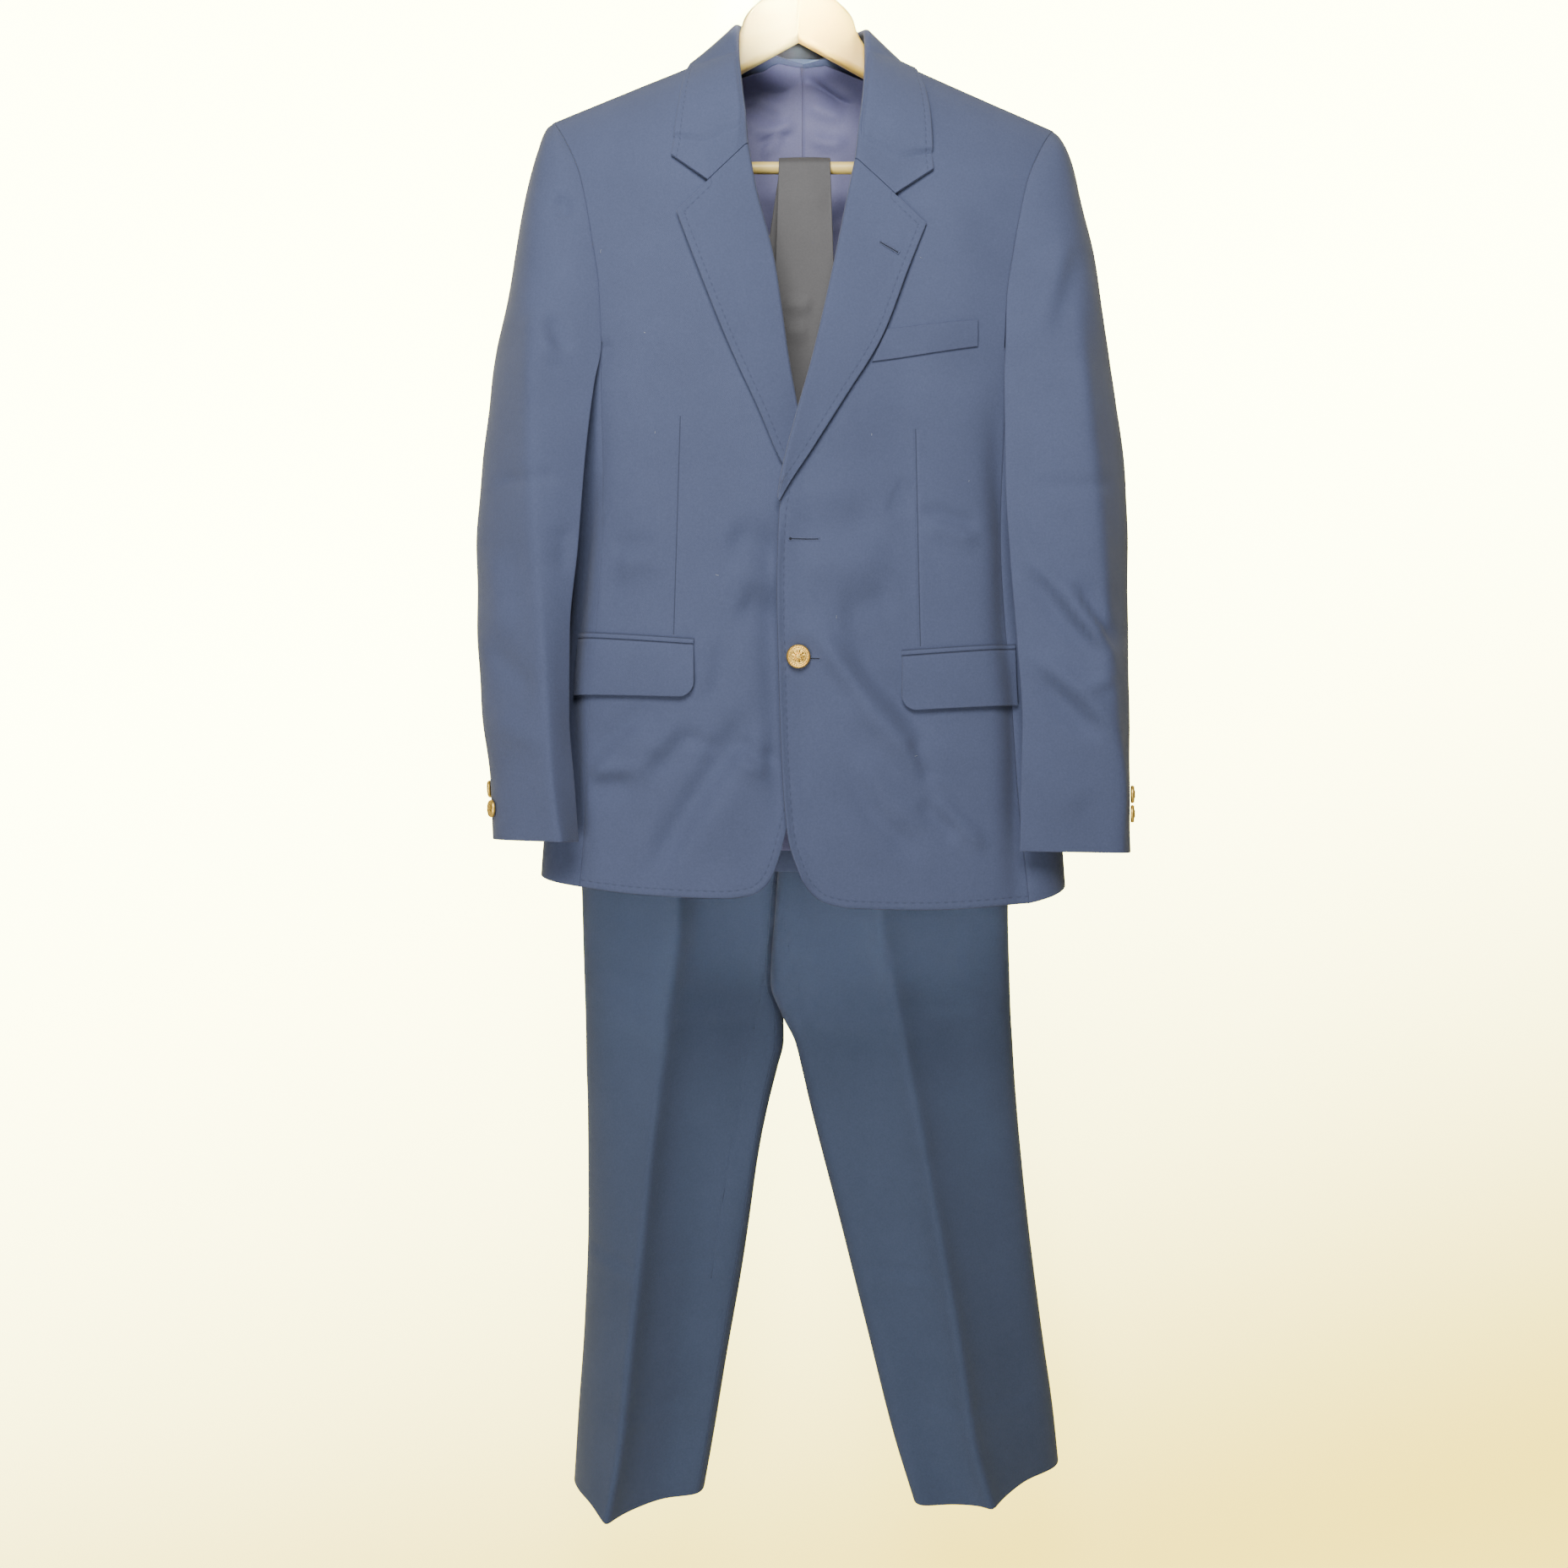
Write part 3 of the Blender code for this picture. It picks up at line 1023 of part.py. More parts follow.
def buildAll():
    for old in list(bpy.data.objects):
        bpy.data.objects.remove(old, do_unlink=True)

    wool = material("wool", (0.156, 0.205, 0.314), 0.9)
    woolTrouser = material("trouser_wool", (0.085, 0.107, 0.14), 0.9)
    satin = material("lining", (0.26, 0.29, 0.43), 0.4)
    labelCloth = material("label", (0.02, 0.02, 0.022), 0.6)
    gold = material("gold", (0.86, 0.62, 0.22), 0.25, 1.0)
    silk = material("tie_silk", (0.2, 0.19, 0.2), 0.5)
    wood = material("wood", (0.9, 0.78, 0.5), 0.5)
    steel = material("steel", (0.75, 0.75, 0.76), 0.25, 1.0)

    for which in ("left", "right"):
        frontPanel(which, wool)
        backPanel(which, wool)
        sidePanel(which, wool)
        lapel(which, 0.965 if which == "left" else 0.86, wool)
        grid, normals = sleeve(which, wool)
        if which == "left":
            targets = (("low", (281, -43, -788.7)), ("high", (281, -43, -772.9)))
        else:
            targets = (("low", (-254.5, -45, -785)), ("high", (-264, -17, -769)))
        cuffButtons(which, grid, normals, targets, gold)
    neckLabel(*collar(wool), labelCloth)
    liningBack(satin)

    patch("flap_right", ((-87, -649), (-193, -645.5), (-194, -689), (-88, -692)), 9, 5, "right", 1.6 * mm, wool,
          roundedCorner)
    patch("jet_right", ((-86, -641.5), (-193, -637.8), (-193, -645.1), (-86, -648.6)), 9, 2, "right", 1.6 * mm, wool)
    patch("flap_left", ((84.6, -659.4), (186, -652.4), (187.5, -698), (86, -703)), 9, 5, "left", 1.6 * mm, wool,
          roundedCorner)
    patch("jet_left", ((84, -651.5), (187, -644.5), (187, -652), (84, -659)), 9, 2, "left", 1.6 * mm, wool)
    patch("breast_welt", ((72.8, -386.8), (149.4, -377.1), (149.4, -399), (60.2, -414.6)), 6, 3, "left",
          1.8 * mm, wool)

    point, facing = bodyPoint(-0.6 * mm, -659 * mm, "front", "left", 0.5 * mm)
    button("button_front_lower", point, facing, frontButtonRadius, gold)
    point, facing = bodyPoint(0.0, -565 * mm, "front", "right", 0.5 * mm)
    button("button_front_upper", point, facing, frontButtonRadius, gold)

    for which, rows, shift in (("right", legRight, -0.2), ("left", legLeft, 0.0)):
        trouserLeg(which, rows, shift, woolTrouser)
        waistband(which, woolTrouser)

    necktie(silk)

    for which in ("left", "right"):
        hangerBoard(which, wood)
        clip(which, steel)
    tube("hanger_bar", [(-203 * mm, 0, barHeight), (203 * mm, 0, barHeight)], barRadius, wood, 24)
    tube("hanger_hook", hookPath(0, [(0, 0, -56.6 * mm)]), hookWire, steel)
    # The clip hanger's stem, from its rod up behind the collar and over it to its own hook.
    behind = [(0, 96, -436.7), (0, 92, -425), (0, 84, -400), (0, 82, -380), (0, 82, -200), (0, 82, -110),
              (0, 79, -88), (0, 70, -74), (0, 45, -64), (0, 20, -58), (0, 9, -54)]
    tube("clip_hanger_stem", hookPath(hookSpacing, [tuple(v * mm for v in p) for p in behind]), hookWire, steel)
    tube("clip_hanger_rod", [(-rodHalf, *rodCentre), (rodHalf, *rodCentre)], rodRadius, steel, 12)


buildAll()
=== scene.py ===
# The looks of a school uniform on its hangers: blazer, trousers and necktie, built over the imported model.
# +X is to the right seen from the front, the front faces -Y, +Z is up. Left and right in the names are
# the wearer's, so left is +X. The cut is in millimetres in the tables, and table() turns them into metres.
import math

import bmesh
import bpy
import numpy as np
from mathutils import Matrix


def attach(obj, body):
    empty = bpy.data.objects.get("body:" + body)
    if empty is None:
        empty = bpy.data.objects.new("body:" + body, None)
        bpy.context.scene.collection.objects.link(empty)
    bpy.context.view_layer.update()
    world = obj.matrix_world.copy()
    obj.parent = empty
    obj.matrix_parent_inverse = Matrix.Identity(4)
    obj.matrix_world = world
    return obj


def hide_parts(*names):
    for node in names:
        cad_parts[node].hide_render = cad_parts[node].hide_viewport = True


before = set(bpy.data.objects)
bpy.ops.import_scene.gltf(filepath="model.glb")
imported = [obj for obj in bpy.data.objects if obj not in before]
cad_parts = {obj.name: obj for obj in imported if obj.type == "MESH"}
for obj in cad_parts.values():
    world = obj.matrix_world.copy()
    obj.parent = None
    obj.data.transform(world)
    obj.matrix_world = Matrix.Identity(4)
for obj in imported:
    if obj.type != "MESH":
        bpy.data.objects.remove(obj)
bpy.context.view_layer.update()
mm = 0.001
signs = {"left": 1, "right": -1}  # the side of x that each lies on
print("frame loaded:", len(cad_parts), "nodes")


# the cut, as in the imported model

clothBlazer = 2.0 * mm  # fronts, sides and backs, with their canvas
clothSleeve = 1.6 * mm
clothTrouser = 1.4 * mm
clothLapel = 2.6 * mm
clothLining = 1.0 * mm
clothTie = 2.6 * mm
seamGap = 0.08 * mm  # each side of a seam
jacketShift = 4 * mm  # the blazer hangs this far to its left on the hanger
jacketTilt = -0.016  # and a little lower on that side
neckHalf = 88 * mm
neckHeight = -140 * mm
shoulderSlope = 0.419
ridgeRound = 20 * mm
sideCurve = 3.0  # exponent of the body's rounding towards its sides
armholeFoot = -395 * mm  # where the sleeve's two seams start
barHeight = -229 * mm
barRadius = 5.2 * mm
backHem = -845 * mm


def table(columns, *rows):
    names = columns.split()
    return {name: np.array([row[i] for row in rows]) * mm for i, name in enumerate(names)}


# The body of the blazer: half width, and depth in front of and behind its middle plane.


bodyTable = table("z side front back",
    (-890, 229, 58, 65),
    (-850, 227, 59, 65),
    (-700, 214, 60, 60),
    (-550, 203, 61, 56),
    (-430, 205, 63, 65),
    (-395, 209, 63, 67),
    (-300, 235, 57, 67),
    (-200, 260, 48, 63),
    (-140, 272, 41, 61),
    (-90, 280, 36, 59))
armholeTable = table("z front back",
    (-395, 169, 190),
    (-352, 171, 193),
    (-315, 176.5, 197),
    (-275, 184, 202),
    (-250, 190, 205),
    (-215, 205, 212),
    (-194, 217, 217))
frontLeftEdge = table("x z",
    (6, -851), (-3, -832), (-9.7, -808), (-14.6, -745), (-17, -675), (-18.5, -604), (-17, -545),
    (-9, -503), (7, -458), (20, -409), (36, -337), (54, -240), (60, -200), (72, -163), (88, -137.4))
frontLeftHem = table("x z", (6, -851), (20, -863.5), (45, -869), (108, -870.6), (196, -866))
frontRightEdge = table("x z",
    (-26, -848), (-19, -834), (-11, -806), (0, -760), (9, -710), (16, -660), (17, -604), (16, -545),
    (8, -503), (-8.5, -458), (-16, -409), (-30, -323), (-45, -240), (-54, -190), (-66, -155), (-82, -132))
frontRightHem = table("x z", (-26, -848), (-40, -858), (-62, -861), (-131, -858), (-188, -852))
sideSeams = table("z front back",
    (-870, 192, 203), (-700, 181, 192), (-550, 171, 183), (-430, 171, 187), (-395, 169, 190))
backNeck = table("x z", (0, -116), (20, -117), (40, -121), (60, -129), (75, -136.5), (84, -138.4))
lapelLeft = table("rollX rollZ edgeX edgeZ",
    (46.9, -240.6, 106.6, -297),
    (40, -275, 93, -331),
    (27.6, -337, 69.3, -392.5),
    (11.3, -409, 38, -445),
    (-2, -458, 12, -487),
    (-13.5, -503, -8, -517),
    (-18.6, -532, -17.6, -534))
lapelRight = table("rollX rollZ edgeX edgeZ",
    (-42.5, -227.6, -102.5, -286),
    (-36, -265, -88, -325),
    (-21.7, -323, -60.1, -395.5),
    (-7.6, -416, -33, -455),
    (-0.1, -458, -12, -501),
    (9, -503, 6, -519),
    (15.6, -532, 15.2, -534))
collarTable = table("at foldX foldY foldZ edgeX edgeY edgeZ seamX seamY seamZ",
    (0, -42.5, -53, -227.6, -107.4, -53, -237.4, -46, -47, -228),
    (50, -48.8, -41, -175, -100.5, -38, -191, -58, -36, -180),
    (92, -52.5, -24, -135, -96, -20, -155, -68, -21, -150),
    (128, -53, -5, -108, -92, -2, -139, -72, -3, -134),
    (146, -51.5, 13, -100, -88, 18, -136.5, -68, 15, -130),
    (162, -46, 30, -95.5, -80, 38, -134, -58, 33, -124),
    (192, -25, 49, -90.5, -46, 66, -133, -31, 52, -118),
    (220, 0, 55, -89.5, 2, 71, -132, 2, 57, -116),
    (248, 27, 49, -92, 50, 66, -135, 35, 52, -119),
    (278, 52, 30, -99, 87, 38, -139, 62, 33, -127),
    (294, 57, 13, -104.5, 95, 18, -141, 71, 15, -129.5),
    (312, 58.5, -5, -112, 98, -2, -146, 77, -4, -138.5),
    (348, 58, -25, -141, 104, -21, -167, 73, -22, -156),
    (392, 54.5, -42, -188, 110, -39, -207, 62, -37, -190),
    (440, 46.9, -54, -240.6, 113, -54, -250, 50, -48, -241))
sleeveLeft = table("z seamX seamY foldX foldY outX outY backX backY elbowX elbowY inX inY",
    (-818.5, 180.5, -60, 268, -62, 277, -38, 262, -8, 246, 2, 227, -20),
    (-772, 181, -61, 270, -66, 276.5, -34, 260, 2, 240, 12, 222, -12),
    (-710, 182, -62, 261, -74, 278, -28, 258, 18, 232, 26, 216, -4),
    (-640, 177.5, -61, 253, -78, 278, -22, 252, 36, 222, 38, 210, 0),
    (-572, 172, -60, 249, -78, 279, -14, 246, 52, 212, 48, 207, 0),
    (-505, 168.5, -58, 243, -76, 278.5, -8, 240, 62, 204, 50, 207, 0),
    (-431, 168, -54, 236, -73, 270.5, -4, 234, 66, 196, 46, 208, 0),
    (-395, 169, -49, 233, -71, 266, 0, 230, 64, 190, 42, 208, 0),
    (-344, 171, -46, 228, -66, 259.5, 2, 226, 60, 193, 44, 208, 0),
    (-300, 178, -42, 226, -58, 252.5, 3, 224, 53, 198, 42, 208, 0),
    (-259, 188, -35, 225, -46, 243, 4, 222, 44, 204, 38, 208, 0),
    (-220, 204, -25, 222, -30, 233, 5, 220, 32, 212, 28, 214, 0),
    (-200, 214, -8, 219, -11, 224, 3, 218, 13, 215, 10, 217, 0),
    (-194, 217, 0, 217.6, 0, 218, 0, 217.6, 0, 217, 0, 217, 0))
sleeveRight = table("z seamX seamY foldX foldY outX outY backX backY elbowX elbowY inX inY",
    (-816, 187.5, -60, 198, -88, 264, -38, 260, -12, 246, 2, 227, -20),
    (-772, 190.5, -61, 205, -88, 267.5, -34, 260, 0, 240, 12, 222, -12),
    (-710, 195, -62, 210, -86, 274, -28, 258, 16, 232, 26, 216, -4),
    (-640, 194.5, -62, 215, -83, 279.5, -22, 252, 36, 222, 38, 210, 0),
    (-570, 188, -61, 221, -80, 281, -16, 246, 52, 212, 48, 207, 0),
    (-491, 182, -58, 226, -76, 277, -8, 240, 62, 204, 50, 207, 0),
    (-431, 175, -54, 227, -74, 271, -4, 234, 66, 196, 46, 208, 0),
    (-395, 169, -49, 227.5, -71, 266, 0, 230, 64, 190, 42, 208, 0),
    (-344, 171, -46, 228.5, -66, 255.5, 2, 226, 60, 193, 44, 208, 0),
    (-300, 178, -42, 228, -58, 249, 3, 224, 53, 198, 42, 208, 0),
    (-259, 188, -35, 226, -46, 241, 4, 222, 44, 204, 38, 208, 0),
    (-220, 204, -25, 222, -30, 231, 5, 220, 32, 212, 28, 214, 0),
    (-200, 214, -8, 219, -11, 224, 3, 218, 13, 215, 10, 217, 0),
    (-194, 217, 0, 217.6, 0, 218, 0, 217.6, 0, 217, 0, 217, 0))
legRight = table("z outX outY foldX foldY inX inFrontY inBackY backX backY",
    (-1411, -208, 105, -170, 27, -86, 92, 92, -146, 170),
    (-1356, -205, 108, -159, 34, -76, 98, 98, -140, 172),
    (-1264, -199, 110, -149, 42, -60, 104, 104, -130, 174),
    (-1170, -196, 112, -139, 50, -44, 108, 108, -122, 174),
    (-1059, -197, 114, -127, 59, -25.2, 112, 112, -118, 171),
    (-1030, -198, 114, -124, 62, -18.5, 114, 114, -118, 170),
    (-1005, -198.5, 115, -121, 65, -12.9, 117, 117, -118, 168),
    (-980, -199, 115, -118.5, 67, -13.4, 120, 120, -118, 167),
    (-950, -200, 115, -115, 70, -22.6, 122, 122, -119, 165),
    (-882, -202, 115, -107.6, 73, -19, 122, 122, -122, 160),
    (-800, -204, 112, -110, 75, -12, 118, 118, -120, 154),
    (-705, -205, 108, -112, 78, -2, 110, 114, -116, 148),
    (-660, -204, 105, -111, 80, -0.2, 90, 134, -113, 140),
    (-600, -200, 101, -108, 84, -0.2, 84, 130, -108, 128),
    (-540, -196, 99, -104, 89, -0.2, 88, 116, -104, 112),
    (-491, -190, 98, -100, 93, -0.2, 94, 103, -100, 103))
legLeft = table("z outX outY foldX foldY inX inFrontY inBackY backX backY",
    (-1411, 247, 128, 174, 34, 105, 56, 56, 166, 176),
    (-1356, 241, 122, 158, 40, 87, 72, 72, 152, 178),
    (-1264, 228, 116, 144, 46, 63, 92, 92, 134, 178),
    (-1170, 216, 114, 127, 52, 39, 106, 106, 116, 178),
    (-1059, 205.5, 115, 107, 59, 10.4, 110, 110, 101, 173),
    (-1030, 203.5, 115, 101, 62, 3.8, 108, 108, 98, 171),
    (-1005, 202, 115, 96.5, 65, -2.5, 106, 106, 95, 169),
    (-980, 200.5, 115, 92, 67, -14.9, 104, 104, 93, 167),
    (-950, 199.5, 115, 86, 70, -25.2, 102, 102, 92, 165),
    (-882, 198, 115, 75, 72, -21, 101, 101, 92, 160),
    (-800, 200, 112, 90, 75, -14, 104, 104, 96, 154),
    (-705, 204, 108, 108, 78, 1, 110, 114, 108, 148),
    (-660, 203, 105, 109, 80, 0.2, 90, 134, 111, 140),
    (-600, 200, 101, 107, 84, 0.2, 84, 130, 108, 128),
    (-540, 196, 99, 104, 89, 0.2, 88, 116, 104, 112),
    (-491, 190, 98, 100, 93, 0.2, 94, 103, 100, 103))
lapLift = table("z lift",
    (-890, 3.6), (-700, 4), (-640, 6), (-600, 9), (-540, 11), (-470, 10.5), (-420, 7), (-360, 1), (-300, 0),
    (-90, 0))


def curveThrough(xs, ys, x):
    # A smooth curve through points that never overshoots them.
    order = np.argsort(xs)
    xs, ys = np.asarray(xs, float)[order], np.asarray(ys, float)[order]
    step = np.diff(xs)
    rise = np.diff(ys) / step
    slope = np.zeros(len(xs))
    slope[0], slope[-1] = rise[0], rise[-1]
    for i in range(1, len(xs) - 1):
        if rise[i - 1] * rise[i] > 0:
            weightA, weightB = 2 * step[i] + step[i - 1], step[i] + 2 * step[i - 1]
            slope[i] = (weightA + weightB) / (weightA / rise[i - 1] + weightB / rise[i])
    x = np.clip(np.asarray(x, float), xs[0], xs[-1])
    k = np.clip(np.searchsorted(xs, x) - 1, 0, len(xs) - 2)
    t = (x - xs[k]) / step[k]
    return ((1 + 2 * t) * (1 - t) ** 2 * ys[k] + t * (1 - t) ** 2 * step[k] * slope[k]
            + t * t * (3 - 2 * t) * ys[k + 1] + t * t * (t - 1) * step[k] * slope[k + 1])


def at(rows, column, z):
    return curveThrough(rows["z"], rows[column], z)


def smoothStep(low, high, x):
    t = np.clip((np.asarray(x, float) - low) / (high - low), 0, 1)
    return t * t * (3 - 2 * t)


def unit(v):
    return v / np.maximum(np.linalg.norm(v, axis=-1, keepdims=True), 1e-12)


def runLength(points, axis=0):
    # Distance along a line, or along every line of a grid, from its first point.
    steps = np.linalg.norm(np.diff(points, axis=axis), axis=-1)
    return np.concatenate([np.zeros_like(steps.take([0], axis)), np.cumsum(steps, axis)], axis)


def cubic(t, start, end, startWay, endWay):
    # A smooth curve from start to end that sets off along startWay and arrives along endWay.
    return ((2 * t ** 3 - 3 * t * t + 1) * start + (t ** 3 - 2 * t * t + t) * startWay
            + (3 * t * t - 2 * t ** 3) * end + (t ** 3 - t * t) * endWay)


def smoothed(grid, passes, strength=None):
    # Each row evened out along itself, its ends kept; strength gives the share for each row.
    moved = grid.copy()
    for _ in range(passes):
        moved[:, 1:-1] = moved[:, 1:-1] / 2 + (moved[:, :-2] + moved[:, 2:]) / 4
    return moved if strength is None else grid + (moved - grid) * strength[:, None, None]


def along(points, count, shares=None):
    # count points along a line through the given ones, evenly or at given shares of its length.
    points = np.asarray(points, float)
    length = runLength(points)
    wanted = (np.linspace(0, 1, count) if shares is None else np.asarray(shares)) * length[-1]
    return np.stack([curveThrough(length, points[:, k], wanted) for k in range(points.shape[1])], -1)


def coons(bottom, top, left, right):
    # A grid between four edges; bottom and top share a count, as do left and right.
    s = np.linspace(0, 1, len(bottom))[None, :, None]
    t = np.linspace(0, 1, len(left))[:, None, None]
    ruled = (1 - t) * bottom[None] + t * top[None] + (1 - s) * left[:, None] + s * right[:, None]
    corners = ((1 - s) * (1 - t) * bottom[0] + s * (1 - t) * bottom[-1]
               + (1 - s) * t * top[0] + s * t * top[-1])
    return ruled - corners


def gridNormals(grid, toward):
    # Vertex normals of a grid, turned to the side that toward(grid) gives.
    alongRows = np.gradient(grid, axis=0)
    alongColumns = np.gradient(grid, axis=1)
    normal = unit(np.cross(alongColumns, alongRows))
    return normal if (normal * toward).sum() > 0 else -normal


# the blazer's body as one surface: x across, drop below the shoulder ridge, front or back


def ridgeHeight(x):
    across = x - jacketShift
    return neckHeight - shoulderSlope * (np.abs(across) - neckHalf) + jacketTilt * across


def ridgeDrop(x, side):
    # Height over which the shoulder rounds from its ridge to full depth: short at the neck.
    atNeck = (70 if side == "front" else 30) * mm
    return atNeck + (120 * mm - atNeck) * smoothStep(40 * mm, 180 * mm, np.abs(x - jacketShift))


def bodyDepth(x, z, side):
    level = z - jacketTilt * (x - jacketShift)
    reach = np.minimum(np.abs(x - jacketShift) / at(bodyTable, "side", level), 0.9999)
    depth = at(bodyTable, side, level) * (1 - reach ** sideCurve) ** (1 / sideCurve)
    drop = np.clip((ridgeHeight(x) - z) / ridgeDrop(x, side), 0, 1)
    return depth * np.sqrt(np.maximum(1 - (1 - drop) ** 2, 0))


def panelLift(x, z, which):
    if which == "left":
        return at(lapLift, "lift", z) * (1 - smoothStep(20 * mm, 95 * mm, x))
    return np.zeros(np.shape(x))


def bodyPoint(x, z, side, which="", lift=0.0):
    # A point on the front or back of the body, moved outward by lift.
    x, z = np.broadcast_arrays(np.asarray(x, float), np.asarray(z, float))
    forward = -1.0 if side == "front" else 1.0

    def surface(xx, zz):
        return forward * (bodyDepth(xx, zz, side) + panelLift(xx, zz, which))

    small = 0.4 * mm
    y = surface(x, z)
    upper = np.minimum(z + small, ridgeHeight(x) - 0.001 * mm)
    slopeX = (surface(x + small, z) - surface(x - small, z)) / (2 * small)
    slopeZ = (surface(x, upper) - surface(x, z - small)) / (upper - z + small)
    normal = unit(np.stack([-slopeX, np.ones(x.shape), -slopeZ], -1)) * forward
    return np.stack([x, y, z], -1) + normal * np.asarray(lift)[..., None], normal


def toRoll(x, z):
    # Distance over the rounded ridge for a height, and back again in fromRoll.
    return np.sqrt(np.maximum(ridgeHeight(x) - z, 0) * (ridgeHeight(x) - z + 2 * ridgeRound))


def fromRoll(x, roll):
    return ridgeHeight(x) - (np.sqrt(roll ** 2 + ridgeRound ** 2) - ridgeRound)


def placed(across, level, sign):
    # Distance from the blazer's middle and level on it, as x and z.
    return jacketShift + sign * across, level + jacketTilt * sign * across


def pulledIn(grid):
    # The grid with its side columns drawn in by the seam gap.
    moved = grid.copy()
    moved[:, 0] += unit(grid[:, 1] - grid[:, 0]) * seamGap
    moved[:, -1] += unit(grid[:, -2] - grid[:, -1]) * seamGap
    return moved


# cloth as meshes

rimShares = (0, 0.04, 0.16, 0.4, 0.75, 1)  # extra lines beside an edge, in shares of its rounding


def addObject(name, data):
    made = bpy.data.objects.new(name, data)
    bpy.context.scene.collection.objects.link(made)
    return made


def makeMesh(name, points, quads, surface, layout=None, marks=None):
    # A mesh from arrays; layout is each point's place on the flat cloth, marks are named values on it.
    mesh = bpy.data.meshes.new(name)
    quads = np.asarray(quads, np.int32)
    mesh.vertices.add(len(points))
    mesh.vertices.foreach_set("co", np.asarray(points, np.float32).ravel())
    mesh.loops.add(quads.size)
    mesh.loops.foreach_set("vertex_index", quads.ravel())
    mesh.polygons.add(len(quads))
    mesh.polygons.foreach_set("loop_start", np.arange(0, quads.size, quads.shape[1], dtype=np.int32))
    mesh.update(calc_edges=True)
    if layout is not None:
        layer = mesh.uv_layers.new(name="cloth")
        layer.data.foreach_set("uv", np.asarray(layout, np.float32)[quads.ravel()].ravel())
    for mark, values in (marks or {}).items():
        attribute = mesh.attributes.new(mark, "FLOAT_VECTOR", "POINT")
        attribute.data.foreach_set("vector", np.asarray(values, np.float32).ravel())
    mesh.validate()
    mesh.shade_smooth()
    mesh.materials.append(surface)
    return addObject(name, mesh)


def withRims(values, rim, axis):
    # values with lines added beside its first and last line, at rimShares of the distance rim.
    values = np.moveaxis(values, axis, 0)
    spacing = [np.linalg.norm((values[1] - values[0])[..., :3], axis=-1, keepdims=True),
               np.linalg.norm((values[-2] - values[-1])[..., :3], axis=-1, keepdims=True)]
    lines = []
    rims = rim if isinstance(rim, tuple) else (rim, rim)
    for end, step in ((0, 1), (-1, -2)):
        reach = np.minimum(rims[end] / np.maximum(spacing[end], 1e-9), 0.9)
        lines.append([values[end] + (values[step] - values[end]) * reach * share for share in rimShares])
    joined = lines[0] + list(values[1:-1]) + lines[1][::-1]
    return np.moveaxis(np.array(joined), 0, axis)


def rimDrop(count):
    # How far each line's faces close on the wall's middle: 1 at an edge, 0 inside.
    drop = np.zeros(count)
    shares = np.array(rimShares)
    profile = 1 - np.sqrt(1 - (1 - shares) ** 2)
    drop[:len(shares)] = profile
    drop[-len(shares):] = profile[::-1]
    return drop


def clothShell(name, grid, normals, thickness, surface, rim=1.0 * mm, marks=None, rimEnds=None):
    # A wall of cloth between a grid of points on its face and the same grid moved in, with rounded edges.
    # rim is the rounding of its side edges, one value or a pair; rimEnds that of its ends where it differs.
    rows, columns = grid.shape[:2]
    extra = [np.broadcast_to(np.atleast_3d(v), (rows, columns, 3)) for v in (marks or {}).values()]
    packed = np.concatenate([grid, normals] + extra, -1)
    packed = withRims(withRims(packed, rim, 1), rimEnds or rim, 0)
    grid, normals = packed[..., :3], unit(packed[..., 3:6])
    rows, columns = grid.shape[:2]
    drop = 1 - (1 - rimDrop(columns))[None, :] * (1 - rimDrop(rows))[:, None]
    across, down = runLength(grid, 1), runLength(grid, 0)
    outer = grid - normals * (thickness / 2 * drop)[..., None]
    inside = grid - normals * (thickness * (1 - drop / 2))[..., None]
    index = np.arange(rows * columns).reshape(rows, columns)
    under = index + rows * columns
    border = drop >= 1
    under = np.where(border, index, under)
    quads = [np.stack([i[:-1, :-1], i[:-1, 1:], i[1:, 1:], i[1:, :-1]], -1).reshape(-1, 4)
             for i in (index, under)]
    facing = np.cross(grid[:-1, 1:] - grid[:-1, :-1], grid[1:, :-1] - grid[:-1, :-1])
    flip = (facing * normals[:-1, :-1]).sum() < 0
    quads[0 if flip else 1] = quads[0 if flip else 1][:, ::-1]
    points = np.concatenate([outer.reshape(-1, 3), inside.reshape(-1, 3)])
    layout = np.stack([across, down - down[rows // 2]], -1).reshape(-1, 2)
    tags = {}
    for k, mark in enumerate(marks or {}):
        tags[mark] = np.concatenate([packed[..., 6 + 3 * k:9 + 3 * k].reshape(-1, 3)] * 2)
    made = makeMesh(name, points, np.concatenate(quads), surface, np.concatenate([layout, layout]), tags)
    dropLoose(made)
    made["cut"] = (float(across[:, -1].max()), float(down[-1].max()),
                   float(np.linalg.norm(np.cross(grid[:-1, 1:] - grid[:-1, :-1],
                                                 grid[1:, :-1] - grid[:-1, :-1]), axis=-1).sum()))
    return made


def dropLoose(made):
    # Removes points that no face uses, and faces with no area.
    cleaned = bmesh.new()
    cleaned.from_mesh(made.data)
    bmesh.ops.dissolve_degenerate(cleaned, edges=cleaned.edges, dist=1e-7)
    loose = [v for v in cleaned.verts if not v.link_faces]
    bmesh.ops.delete(cleaned, geom=loose, context="VERTS")
    cleaned.to_mesh(made.data)
    cleaned.free()


